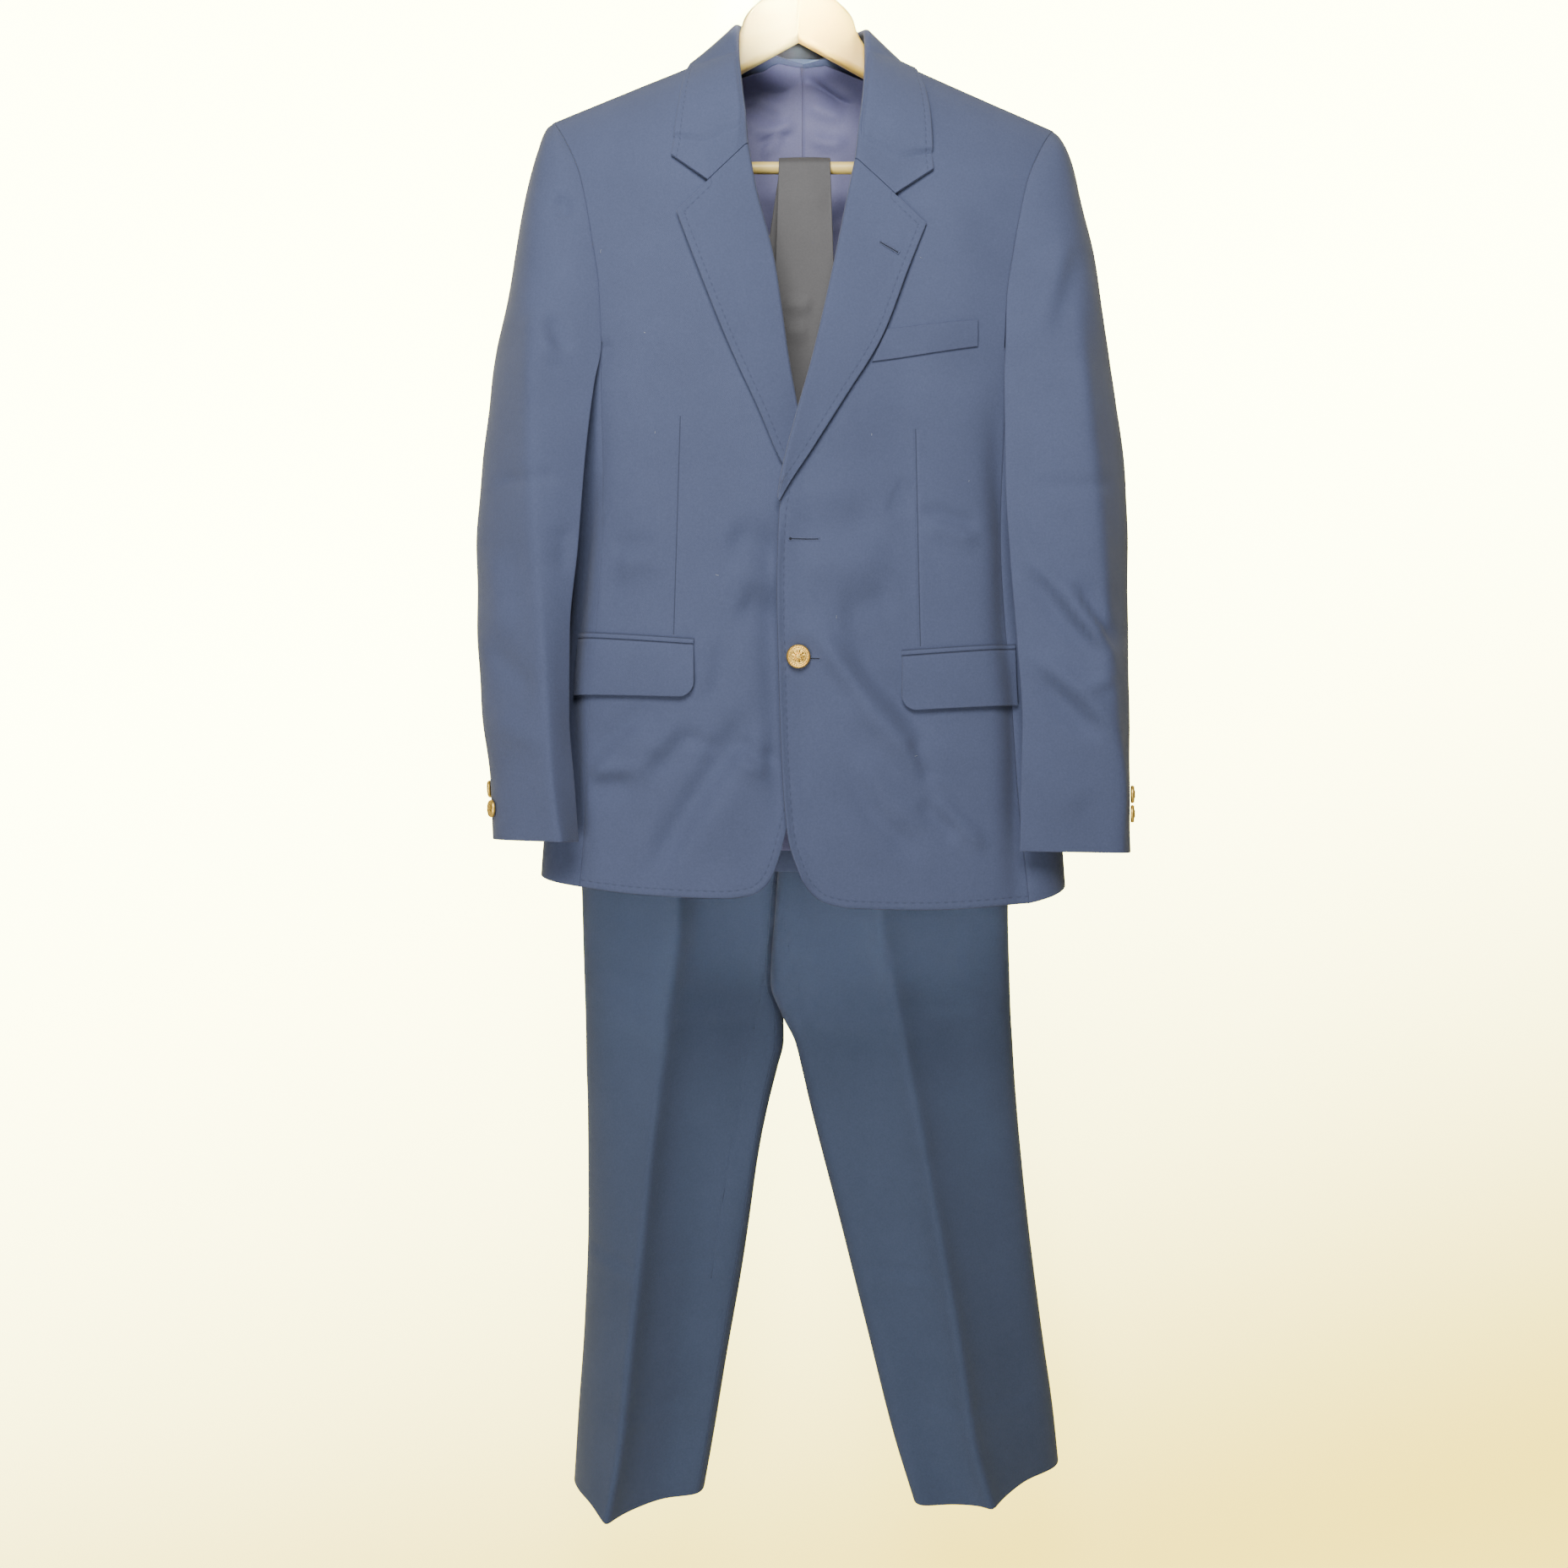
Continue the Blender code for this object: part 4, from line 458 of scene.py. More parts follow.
def nearLine(x, z, path):
    # Distance of each point from a line of points, and its place along it from 0 to 1.
    path = path[np.concatenate([[True], np.linalg.norm(np.diff(path, axis=0), axis=1) > 1e-6])]
    lengths = np.linalg.norm(np.diff(path, axis=0), axis=1)
    starts = np.concatenate([[0], np.cumsum(lengths)])
    best = np.full(np.shape(x), np.inf)
    place = np.zeros(np.shape(x))
    for k in range(len(path) - 1):
        step = path[k + 1] - path[k]
        t = np.clip(((x - path[k, 0]) * step[0] + (z - path[k, 1]) * step[1]) / lengths[k] ** 2, 0, 1)
        distance = np.hypot(x - path[k, 0] - t * step[0], z - path[k, 1] - t * step[1])
        nearer = distance < best
        best = np.where(nearer, distance, best)
        place = np.where(nearer, (starts[k] + t * lengths[k]) / starts[-1], place)
    return best, place


def foldHeight(x, z, folds, broader=1.0):
    # Soft ridges and troughs: each fold is its depth and width in millimetres and the line it follows.
    height = np.zeros(np.shape(x))
    for depth, width, path in folds:
        line = np.array(path, float) * mm
        distance, place = nearLine(x, z, along(line, 24) if len(path) > 2 else line)
        fade = smoothStep(0, 0.3, place) * smoothStep(0, 0.3, 1 - place)
        height = height + depth * mm * fade * np.exp(-(distance / (width * broader * mm)) ** 2)
    return height


def ripple(x, z, seed, size):
    # Slow, uneven swells, about 1 high, with a typical length of size.
    draw = np.random.default_rng(seed)
    height = np.zeros(np.shape(x))
    for _ in range(7):
        turn, phase = draw.uniform(0, 2 * math.pi, 2)
        pitch = size * draw.uniform(0.6, 1.7)
        height = height + np.sin((x * math.cos(turn) + z * math.sin(turn)) * 2 * math.pi / pitch + phase)
    return height / 3


def markPlaces(distance, place):
    # A mark's values: the distance from its line and the place along it.
    return np.stack([distance, place, 0 * place], -1)


def outlineMark(grid, line):
    # For stitches beside an edge: each point's distance from the line in x and z, and its place along it.
    distance, place = nearLine(grid[..., 0], grid[..., 2], line)
    length = np.linalg.norm(np.diff(line, axis=0), axis=1).sum()
    return markPlaces(distance, place * length)


def bunched(count, first=1.0, last=1.0):
    # Shares from 0 to 1, closer together at the start where first is above 1, and at the end for last.
    s = np.linspace(0, 1, count)
    low, high = s ** first, 1 - (1 - s) ** last
    blend = smoothStep(0, 1, s)
    return low * (1 - blend) + high * blend


# finishes


def addGroup(name, inputs, outputs):
    # A shader node group with named sockets; returns it, its input node and its output node.
    made = bpy.data.node_groups.new(name, "ShaderNodeTree")
    for label, kind, value in inputs:
        socket = made.interface.new_socket(name=label, in_out="INPUT", socket_type=kind)
        if value is not None:
            socket.default_value = value
    for label, kind in outputs:
        made.interface.new_socket(name=label, in_out="OUTPUT", socket_type=kind)
    return made, made.nodes.new("NodeGroupInput"), made.nodes.new("NodeGroupOutput")


def wire(tree, node, values):
    # Sets inputs given by name or number, or links them where the value is another node's output.
    for key, value in values.items():
        if isinstance(value, bpy.types.NodeSocket):
            tree.links.new(value, node.inputs[key])
        else:
            node.inputs[key].default_value = value


def addNode(tree, kind, **settings):
    # A node with its properties set, and its inputs wired where a name starts with an underscore.
    made = tree.nodes.new(kind)
    sockets = {}
    for key, value in settings.items():
        if key.startswith("_"):
            sockets[int(key[1:]) if key[1:].isdigit() else key[1:].replace("_", " ")] = value
        else:
            setattr(made, key, value)
    wire(tree, made, sockets)
    return made


def newMaterial(name):
    made = bpy.data.materials.new(name)
    made.use_nodes = True
    return made, made.node_tree, made.node_tree.nodes["Principled BSDF"]


def grouped(tree, group, **values):
    # The outputs of a node group in a tree, its inputs wired as by addNode.
    return addNode(tree, "ShaderNodeGroup", node_tree=group, **values).outputs


def maths(tree, operation, a, b=0.0, c=0.0):
    return addNode(tree, "ShaderNodeMath", operation=operation, _0=a, _1=b, _2=c).outputs[0]


def mixColour(tree, share, a, b, blend="MIX"):
    made = addNode(tree, "ShaderNodeMix", data_type="RGBA", blend_type=blend, _0=share, _6=a, _7=b)
    return made.outputs[2]


def bumped(tree, height, distance, strength):
    return addNode(tree, "ShaderNodeBump", _Height=height, _Distance=distance, _Strength=strength).outputs[0]


def fallOff(tree, share):
    # 1 where share is 0, falling softly to 0 where it is 1.
    return addNode(tree, "ShaderNodeMapRange", interpolation_type="SMOOTHSTEP", _0=share, _1=0.0, _2=1.0,
                   _3=1.0, _4=0.0).outputs[0]


fullTurn = 6.2832


def scaledPlace(tree, place, scale):
    return addNode(tree, "ShaderNodeVectorMath", operation="MULTIPLY", _0=place, _1=scale).outputs[0]


def times(tree, a, b):
    return maths(tree, "MULTIPLY", a, b)


def noise(tree, place, **settings):
    return addNode(tree, "ShaderNodeTexNoise", _Vector=place, **settings).outputs


def weaveGroup():
    # Twill: fine diagonal ribs over the flat cloth, with uneven yarns. Layout is in metres.
    tree, given, result = addGroup(
        "twill_weave",
        [("Layout", "NodeSocketVector", None), ("Pitch", "NodeSocketFloat", 0.0006),
         ("Slope", "NodeSocketFloat", 1.0), ("Unevenness", "NodeSocketFloat", 0.5)],
        [("Height", "NodeSocketFloat"), ("Shade", "NodeSocketFloat")])
    given = given.outputs
    x, y = addNode(tree, "ShaderNodeSeparateXYZ", _0=given["Layout"]).outputs[:2]
    scaleUp = maths(tree, "DIVIDE", fullTurn, given["Pitch"])
    diagonal = maths(tree, "ADD", x, times(tree, y, given["Slope"]))
    rib, yarn = [maths(tree, "SINE", times(tree, way, scaleUp)) for way in (diagonal, y)]
    slub = noise(tree, scaledPlace(tree, given["Layout"], (900, 140, 1)), _Scale=1.0, _Detail=2.0)
    uneven = times(tree, maths(tree, "SUBTRACT", slub["Fac"], 0.5), given["Unevenness"])
    height = maths(tree, "ADD", times(tree, rib, 0.35), times(tree, yarn, 0.12))
    height = maths(tree, "ADD", height, uneven)
    wire(tree, result, {"Height": height, "Shade": maths(tree, "MULTIPLY_ADD", height, 0.5, 0.5)})
    return tree


def stitchGroup():
    # A row of hand-like stitches at Inset from an edge: Dent is 1 in the dents, Line along the whole row.
    tree, given, result = addGroup(
        "stitch_row",
        [("Distance", "NodeSocketFloat", 1.0), ("Along", "NodeSocketFloat", 0.0),
         ("Inset", "NodeSocketFloat", 0.006), ("Pitch", "NodeSocketFloat", 0.005),
         ("Width", "NodeSocketFloat", 0.0011)],
        [("Dent", "NodeSocketFloat"), ("Line", "NodeSocketFloat")])
    given = given.outputs
    off = maths(tree, "ABSOLUTE", maths(tree, "SUBTRACT", given["Distance"], given["Inset"]))
    line = fallOff(tree, maths(tree, "DIVIDE", off, given["Width"]))
    turn = times(tree, maths(tree, "DIVIDE", given["Along"], given["Pitch"]), fullTurn)
    beat = maths(tree, "MULTIPLY_ADD", maths(tree, "SINE", turn), 0.5, 0.5)
    wire(tree, result, {"Dent": times(tree, line, beat), "Line": line})
    return tree


def seamGroup():
    # A narrow line where a mark's distance is near zero, between 0 and 1 of its place along the line: a
    # pressed seam, and for some marks a painted shadow line along an edge.
    tree, given, result = addGroup(
        "seam_line",
        [("Mark", "NodeSocketVector", None), ("Width", "NodeSocketFloat", 0.0007)],
        [("Line", "NodeSocketFloat"), ("Soft", "NodeSocketFloat")])
    distance, place = addNode(tree, "ShaderNodeSeparateXYZ", _0=given.outputs["Mark"]).outputs[:2]
    off = maths(tree, "ABSOLUTE", distance)
    within = times(tree, maths(tree, "GREATER_THAN", place, 0.0), maths(tree, "LESS_THAN", place, 1.0))
    for label, wider in (("Line", 1.0), ("Soft", 4.0)):
        band = fallOff(tree, maths(tree, "DIVIDE", off, times(tree, given.outputs["Width"], wider)))
        wire(tree, result, {label: times(tree, band, within)})
    return tree


def unevenGroup():
    # Cloudy differences of shade that cloth, wood and metal all have, at a size in metres.
    tree, given, result = addGroup(
        "cloudy_shade",
        [("Size", "NodeSocketFloat", 0.05), ("Amount", "NodeSocketFloat", 0.1)],
        [("Shade", "NodeSocketFloat"), ("Mask", "NodeSocketFloat")])
    place = addNode(tree, "ShaderNodeTexCoord").outputs["Object"]
    scaled = addNode(tree, "ShaderNodeVectorMath", operation="SCALE", _0=place,
                     _Scale=maths(tree, "DIVIDE", 1.0, given.outputs["Size"])).outputs[0]
    mask = noise(tree, scaled, _Scale=1.0, _Detail=4.0, _Roughness=0.55)["Fac"]
    swing = times(tree, maths(tree, "SUBTRACT", mask, 0.5), given.outputs["Amount"])
    wire(tree, result, {"Shade": maths(tree, "ADD", 1.0, swing), "Mask": mask})
    return tree


weave, stitches, seam, cloudy = weaveGroup(), stitchGroup(), seamGroup(), unevenGroup()

woolLook = dict(colour=(0.074, 0.093, 0.172), roughness=0.82, sheen=0.16, pitch=0.0007, depth=0.00012)
trouserLook = dict(colour=(0.056, 0.077, 0.136), roughness=0.85, sheen=0.12, pitch=0.0007, depth=0.0001)
liningLook = dict(colour=(0.15, 0.155, 0.30), roughness=0.55, sheen=0.2, pitch=0.0004, depth=0.00004)
tieLook = dict(colour=(0.078, 0.077, 0.081), roughness=0.5, sheen=0.15, pitch=0.0009, depth=0.0001)
labelLook = dict(colour=(0.012, 0.013, 0.02), roughness=0.45, sheen=0.1, pitch=0.0005, depth=0.00005)


def clothMaterial(name, look, rows=(), seamMarks=(), slope=1.0):
    # Cloth with its weave; rows are the inset and pitch of stitches, seamMarks the names of darkened lines:
    # pressed seams, and painted shadow lines along edges.
    made, tree, shader = newMaterial(name)

    def marked(mark):
        return addNode(tree, "ShaderNodeAttribute", attribute_name=mark).outputs["Vector"]

    def shaded(shade, value, change, base=1.0):
        return times(tree, shade, maths(tree, "MULTIPLY_ADD", value, change, base))

    def sunk(height, value, depth):
        return maths(tree, "SUBTRACT", height, times(tree, value, depth))

    layout = addNode(tree, "ShaderNodeUVMap", uv_map="cloth").outputs[0]
    twill = grouped(tree, weave, _Layout=layout, _Pitch=look["pitch"], _Slope=slope)
    clouds, flecks = [grouped(tree, cloudy, _Size=size, _Amount=amount)["Shade"]
                      for size, amount in ((0.06, 0.22), (0.0016, 0.3))]
    shade = shaded(times(tree, clouds, flecks), twill["Shade"], 0.16, 0.92)
    height = times(tree, twill["Height"], look["depth"])
    for inset, pitch in rows:
        parts = addNode(tree, "ShaderNodeSeparateXYZ", _0=marked("outline")).outputs
        row = grouped(tree, stitches, _Distance=parts[0], _Along=parts[1], _Inset=inset, _Pitch=pitch)
        height = sunk(sunk(height, row["Dent"], 0.0003), row["Line"], 0.00008)
        # The dents are darkened in colour as well as sunk: painted shade in the stitch dimples.
        shade = shaded(shade, row["Dent"], -0.22)
    for mark in seamMarks:
        line = grouped(tree, seam, _Mark=marked(mark))
        # Each line is darkened in colour: a dark joint for seams, painted shadow for the front's edge and the
        # pockets' tops.
        shade = shaded(shade, line["Line"], -0.55)
        height = sunk(height, line["Soft"], 0.0005)
    wire(tree, shader, {
        "Base Color": mixColour(tree, 1.0, (*look["colour"], 1), shade, "MULTIPLY"),
        "Roughness": look["roughness"], "Specular IOR Level": 0.35,
        "Sheen Weight": look["sheen"], "Sheen Roughness": 0.45,
        "Normal": bumped(tree, height, 1.0, 0.8)})
    return made


woolPlain = clothMaterial("blazer_wool", woolLook)
# Front cloth: its edge mark paints a dark line along the closing edge and hem, partly the edge seam and
# partly painted shadow beside the standing edge.
woolFront = clothMaterial("blazer_wool_front", woolLook, ((0.006, 0.007),), ("dart", "edge"))
woolStitched = clothMaterial("blazer_wool_stitched", woolLook, ((0.0056, 0.006),))
# Pocket cloth: its topLine mark paints a dark line along the top of each flap and jet, partly the seam and
# partly painted shadow in the gap.
woolPocket = clothMaterial("blazer_wool_pocket", woolLook, (), ("topLine",))
trouserWool = clothMaterial("trouser_wool", trouserLook)
trouserSeamed = clothMaterial("trouser_wool_front", trouserLook, (), ("inseam",))
liningSatin = clothMaterial("lining_satin", liningLook, (), ("dart",))
tieSilk = clothMaterial("tie_silk", tieLook, slope=0.6)
labelSatin = clothMaterial("label_satin", labelLook)
threadPlain = clothMaterial("buttonhole_thread", dict(woolLook, colour=(0.105, 0.13, 0.23), pitch=0.0004))
# Near-black cloth for the buttonhole slits: painted shade inside the cut, not a thread colour.
slitShade = clothMaterial("buttonhole_slit_shade", dict(woolLook, colour=(0.012, 0.016, 0.028), sheen=0.0))
threadPale = clothMaterial("lint_fibre", dict(woolLook, colour=(0.5, 0.52, 0.55)))


def metalMaterial(name, colour, roughness):
    made, tree, shader = newMaterial(name)
    clouds = grouped(tree, cloudy, _Size=0.002, _Amount=0.25)
    scratches = grouped(tree, cloudy, _Size=0.0005, _Amount=1.0)["Mask"]
    wire(tree, shader, {
        "Base Color": mixColour(tree, 1.0, (*colour, 1), clouds["Shade"], "MULTIPLY"), "Metallic": 1.0,
        "Roughness": maths(tree, "MULTIPLY_ADD", clouds["Mask"], 0.2, roughness - 0.1),
        "Normal": bumped(tree, scratches, 0.00003, 0.6)})
    return made


def woodMaterial(name, light, dark, offset):
    # Pale close-grained wood: long rings along the board and short pores.
    made, tree, shader = newMaterial(name)
    place = addNode(tree, "ShaderNodeTexCoord").outputs["Object"]
    warp = noise(tree, place, _Scale=9.0, _Detail=3.0)["Color"]
    warp = addNode(tree, "ShaderNodeVectorMath", operation="SCALE", _0=warp, _Scale=2.2).outputs[0]
    mapped = addNode(tree, "ShaderNodeMapping", _Vector=place, _Location=offset, _Rotation=(0.0, 0.35, 0.0),
                     _Scale=(10.0, 60.0, 55.0)).outputs[0]
    bent = addNode(tree, "ShaderNodeVectorMath", operation="ADD", _0=mapped, _1=warp).outputs[0]
    rings = noise(tree, bent, _Scale=1.0, _Detail=5.0, _Roughness=0.6)["Fac"]
    fine = addNode(tree, "ShaderNodeMapping", _Vector=place, _Scale=(180.0, 900.0, 900.0)).outputs[0]
    pores = noise(tree, fine, _Scale=1.0, _Detail=2.0)["Fac"]
    share = addNode(tree, "ShaderNodeMapRange", _0=rings, _1=0.38, _2=0.66).outputs[0]
    grain = maths(tree, "MULTIPLY_ADD", pores, 0.25, times(tree, share, 0.75))
    wire(tree, shader, {
        "Base Color": mixColour(tree, grain, (*light, 1), (*dark, 1)), "Roughness": 0.42, "Coat Weight": 0.25,
        "Coat Roughness": 0.25, "Normal": bumped(tree, pores, 0.0001, 0.5)})
    return made


gold = metalMaterial("button_gold", (1.0, 0.66, 0.16), 0.42)
steel = metalMaterial("hook_steel", (0.72, 0.72, 0.73), 0.25)
# The right board and the bar get a paler, lighter tone than the left board: painted light, for the stronger
# light on that side; both are the same wood.
woodRight = woodMaterial("hanger_wood_right", (1.0, 0.78, 0.26), (0.97, 0.72, 0.20), (0, 0, 0))
woodLeft = woodMaterial("hanger_wood_left", (1.0, 0.66, 0.12), (0.95, 0.58, 0.09), (3, 1, 7))
print("finishes made")


# camera, light and backdrop

view = dict(lens=38.25, across=-0.0125, away=1.45, height=-0.765)
studio = dict(
    wallAt=0.215, wallColour=(0.9, 0.83, 0.5), wallTop=3, halfWidth=6,
    floorAt=-1.75, floorColour=(0.85, 0.84, 0.82),
    roomColour=(1.0, 0.985, 0.95), roomLight=0.11, lampColour=(1.0, 0.985, 0.96),
    glowTop=(16.0, 16.0, 7.6), glowLow=(3.3, 2.4, 0.0), glowFrom=-1.67, glowTo=-0.37, glowSlant=-0.25)
lamps = dict(
    key=dict(place=(-0.12, -1.15, 0.22), toward=(0, 0, -0.25), size=(0.8, 0.7), power=25.0),
    fill=dict(place=(-0.65, -1.68, -1.3), toward=(0, 0.05, -1.05), size=(0.9, 0.9), power=17.0),
    beam=dict(place=(0.08, -1.25, -0.6), toward=(0, -0.01, -0.08), size=(0.03, 0.03), power=0.34, spread=5.5),
    low=dict(place=(0, -1.1, -1.72), toward=(0, 0.05, -0.93), size=(0.42, 0.03), power=0.12, spread=8))


def setCamera():
    made = bpy.data.cameras.new("camera")
    made.lens = view["lens"]
    made.sensor_width = 36
    camera = addObject("camera", made)
    camera.location = (view["across"], -view["away"], view["height"])
    camera.rotation_euler = (math.radians(90), 0, 0)
    bpy.context.scene.camera = camera


def addLamp(name, place, toward, size, power, spread=180):
    made = bpy.data.lights.new(name, "AREA")
    made.shape = "RECTANGLE"
    made.size, made.size_y = size
    made.energy = power
    made.spread = math.radians(spread)
    made.color = studio["lampColour"]
    lamp = addObject(name, made)
    lamp.location = place
    x, y, z = np.array(toward, float) - np.array(place, float)
    lamp.rotation_euler = (math.atan2(math.hypot(x, y), -z), 0, math.atan2(x, -y) + math.pi)


def lightUp(tree, shader):
    # The wall glows for whoever looks straight at it, warmer and dimmer towards its lower right; it
    # lights nothing else.
    place = addNode(tree, "ShaderNodeTexCoord").outputs["Object"]
    parts = addNode(tree, "ShaderNodeSeparateXYZ", _0=place).outputs
    slant = maths(tree, "MULTIPLY_ADD", parts["X"], studio["glowSlant"], parts["Z"])
    share = addNode(tree, "ShaderNodeMapRange", interpolation_type="SMOOTHSTEP", _Value=slant,
                    _From_Min=studio["glowFrom"], _From_Max=studio["glowTo"]).outputs[0]
    glow = mixColour(tree, share, (*studio["glowLow"], 1), (*studio["glowTop"], 1))
    looking = addNode(tree, "ShaderNodeLightPath").outputs["Is Camera Ray"]
    seen = mixColour(tree, looking, (0, 0, 0, 1), glow)
    wire(tree, shader, {"Emission Color": seen, "Emission Strength": 1.0})


def setStudio():
    world = bpy.data.worlds.new("room")
    bpy.context.scene.world = world
    world.use_nodes = True
    background = world.node_tree.nodes["Background"]
    wire(world.node_tree, background, {"Color": (*studio["roomColour"], 1), "Strength": studio["roomLight"]})
    for name, lamp in lamps.items():
        addLamp(name, **lamp)
    half, wallAt, floorAt, wallTop = [studio[name] for name in ("halfWidth", "wallAt", "floorAt", "wallTop")]
    corners = {"wall": ((wallAt, floorAt), (wallAt, wallTop)), "floor": ((-half, floorAt), (wallAt, floorAt))}
    for name, ((nearY, nearZ), (farY, farZ)) in corners.items():
        paint, tree, shader = newMaterial(name + "_paint")
        wire(tree, shader, {"Base Color": (*studio[name + "Colour"], 1), "Roughness": 0.9})
        if name == "wall":
            lightUp(tree, shader)
        mesh = bpy.data.meshes.new(name)
        points = ((-half, nearY, nearZ), (half, nearY, nearZ), (half, farY, farZ), (-half, farY, farZ))
        mesh.from_pydata(points, [], [(0, 1, 2, 3)])
        mesh.materials.append(paint)
        addObject(name, mesh)


setCamera()
setStudio()
print("camera and studio made")


# the blazer

def finishPiece(made, nodes, held=None):
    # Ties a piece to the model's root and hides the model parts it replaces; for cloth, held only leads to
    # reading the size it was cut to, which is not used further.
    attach(made, "root")
    if nodes:
        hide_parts(*nodes)
    if held:
        width, length, area = made["cut"]
        width, length = round(width, 4), round(length, 4)


# Folds of the blazer's body: depth and width, and the line each follows, all in millimetres as x and z.
bodyFolds = {
    "right": (
        (-2.8, 5, ((-186, -521), (-172, -529), (-160, -537))),
        (2.4, 8, ((-188, -531), (-174, -540), (-160, -549))),
        (-1.8, 6, ((-160, -566), (-138, -566), (-118, -560))),
        (1.4, 9, ((-155, -580), (-136, -578), (-116, -572))),
        (-2.0, 12, ((-182, -610), (-144, -598), (-110, -582))),
        (-3.2, 11, ((-62, -553), (-36, -564), (-8, -572))),
        (-3.2, 11, ((-54, -611), (-32, -619), (-6, -626))),
        (2.0, 12, ((-60, -580), (-36, -592), (-10, -600))),
        (-3.4, 8, ((-20, -520), (-23, -600), (-22, -680), (-18, -760), (-14, -830))),
        (1.2, 6, ((-76, -636), (-77, -664), (-84, -696))),
        (-1.0, 7, ((-66, -640), (-68, -672), (-76, -700))),
        (-2.0, 7, ((-122, -694), (-150, -720), (-184, -748))),
        (3.0, 9, ((-118, -712), (-146, -736), (-176, -758))),
        (3.0, 7, ((-98, -704), (-110, -724), (-130, -746), (-146, -768))),
        (-2.4, 9, ((-84, -712), (-104, -738), (-126, -762))),
        (2.4, 5, ((-132, -750), (-156, -754), (-188, -757))),
        (-2.0, 9, ((-132, -766), (-160, -767), (-194, -775))),
        (-4.8, 9, ((-30, -690), (-66, -745), (-95, -790), (-112, -818), (-134, -862))),
        (2.2, 12, ((-26, -716), (-50, -758), (-78, -802), (-100, -840))),
        (-1.6, 4, ((-99, -723), (-82, -730), (-64, -738))),
        (-2.6, 5, ((-50, -722), (-42, -738), (-30, -743), (-16, -735))),
        (2.0, 6, ((-54, -738), (-40, -750), (-22, -750))),
        (2.0, 16, ((-128, -470), (-132, -560), (-126, -630))),
        (1.8, 20, ((-150, -420), (-165, -330), (-168, -262)))),
    "left": (
        (-2.4, 5, ((99, -536), (120, -541), (138, -546), (156, -551))),
        (2.2, 7, ((99, -546), (128, -553), (154, -561))), (-0.9, 6, ((78, -516), (90, -520), (102, -516))),
        (-0.8, 6, ((72, -529), (85, -533), (96, -530))), (-3.0, 13, ((-16, -554), (30, -551), (76, -541))),
        (2.0, 14, ((-10, -588), (36, -584), (80, -572))), (-2.2, 11, ((30, -624), (56, -616), (84, -606))),
        (6.2, 10, ((-8, -622), (14, -647), (28, -664), (46, -688), (68, -712), (92, -738), (112, -766))),
        (-3.4, 7, ((-12, -646), (8, -650), (22, -668), (40, -692), (56, -712))),
        (-3.4, 10, ((30, -622), (47, -648), (62, -674), (80, -692), (97, -716), (112, -748))),
        (-2.6, 5, ((92, -724), (103, -745), (112, -768))),
        (-2.4, 7, ((34, -738), (60, -786), (86, -812), (106, -832))),
        (2.0, 10, ((46, -736), (74, -778), (104, -810))),
        (2.6, 5, ((108, -770), (126, -790), (142, -805), (158, -824))),
        (-2.2, 6, ((100, -776), (116, -794), (136, -812))),
        (1.8, 20, ((118, -430), (130, -330), (124, -240))))}
foldBreadth, foldStrength = 1.4, 1.5  # what the table's widths and depths are multiplied by
# Beside each sleeve the front falls back.
sleeveHollows = {
    "right": (
        (-9, 13, ((-168, -400), (-174, -470), (-181, -530), (-193, -630),
                  (-198, -700), (-193, -780), (-188, -850), (-188, -930))),),
    "left": (
        (-10, 14, ((164, -400), (169, -450), (173, -507), (178, -563), (180, -633),
                   (186, -690), (188, -760), (188, -840), (188, -920))),)}


def clothPoint(x, z, side, which="", lift=0.0):
    # A point on the blazer's body with its folds, moved outward by lift.
    folds = bodyFolds[which] if side == "front" and which else ()
    seed = {"": 3, "left": 5, "right": 8}[which] + (0 if side == "front" else 20)
    x, z = np.broadcast_arrays(np.asarray(x, float), np.asarray(z, float))
    wave = ripple(x, z, seed, 150 * mm) * 0.55 * mm + ripple(x, z, seed + 1, 60 * mm) * 0.16 * mm
    drop = np.clip((ridgeHeight(x) - z) / (60 * mm), 0, 1)
    height = (foldHeight(x, z, folds, foldBreadth) * foldStrength + wave) * drop
    fromSide = at(sideSeams, side, np.clip(z, -870 * mm, -395 * mm)) - np.abs(x - jacketShift)
    height = height * np.where(z < armholeFoot, smoothStep(0, 14 * mm, fromSide), 1)
    if folds:
        height = height + foldHeight(x, z, sleeveHollows[which])
    return bodyPoint(x, z, side, which, np.asarray(lift) + height)


seamRim = 0.25 * mm  # a seam that is pressed flat

armholeLevels = -194.3 * mm + (armholeFoot + 194.3 * mm) * np.linspace(0, 1, 61)[:-1] ** 1.5


def sideLine(sign, side, hemLevel, rows):
    # The armhole and the side seam of one panel, from the shoulder down, as x and z.
    levels = np.concatenate([armholeLevels, np.linspace(armholeFoot, hemLevel, rows)])
    across = np.where(levels > armholeFoot, at(armholeTable, side, levels), at(sideSeams, side, levels))
    return np.stack(placed(across, levels, sign), -1)


def panelGrid(side, which, edgeLine, hemLine, topLine, seamLine):
    # Points and normals of a front or back panel between its four edges, given as x and z.
    def rolled(line):
        x, z = np.asarray(line, float).T
        return np.stack([x, toRoll(x, np.minimum(z, ridgeHeight(x)))], -1)

    edgeLine[0], edgeLine[-1] = topLine[0], hemLine[0]
    seamLine[0], seamLine[-1] = topLine[-1], hemLine[-1]
    flat = coons(rolled(hemLine), rolled(topLine), rolled(edgeLine)[::-1], rolled(seamLine)[::-1])
    x, roll = flat[..., 0], np.maximum(flat[..., 1], 0.1 * mm)
    grid, normal = clothPoint(x, fromRoll(x, roll), side, which)
    onSeam = flat[-1, :, 1] < 1 * mm
    grid[-1, onSeam, 1] = (-1 if side == "front" else 1) * seamGap
    normal[-1, onSeam, 1] *= 0.3
    return grid, unit(normal)


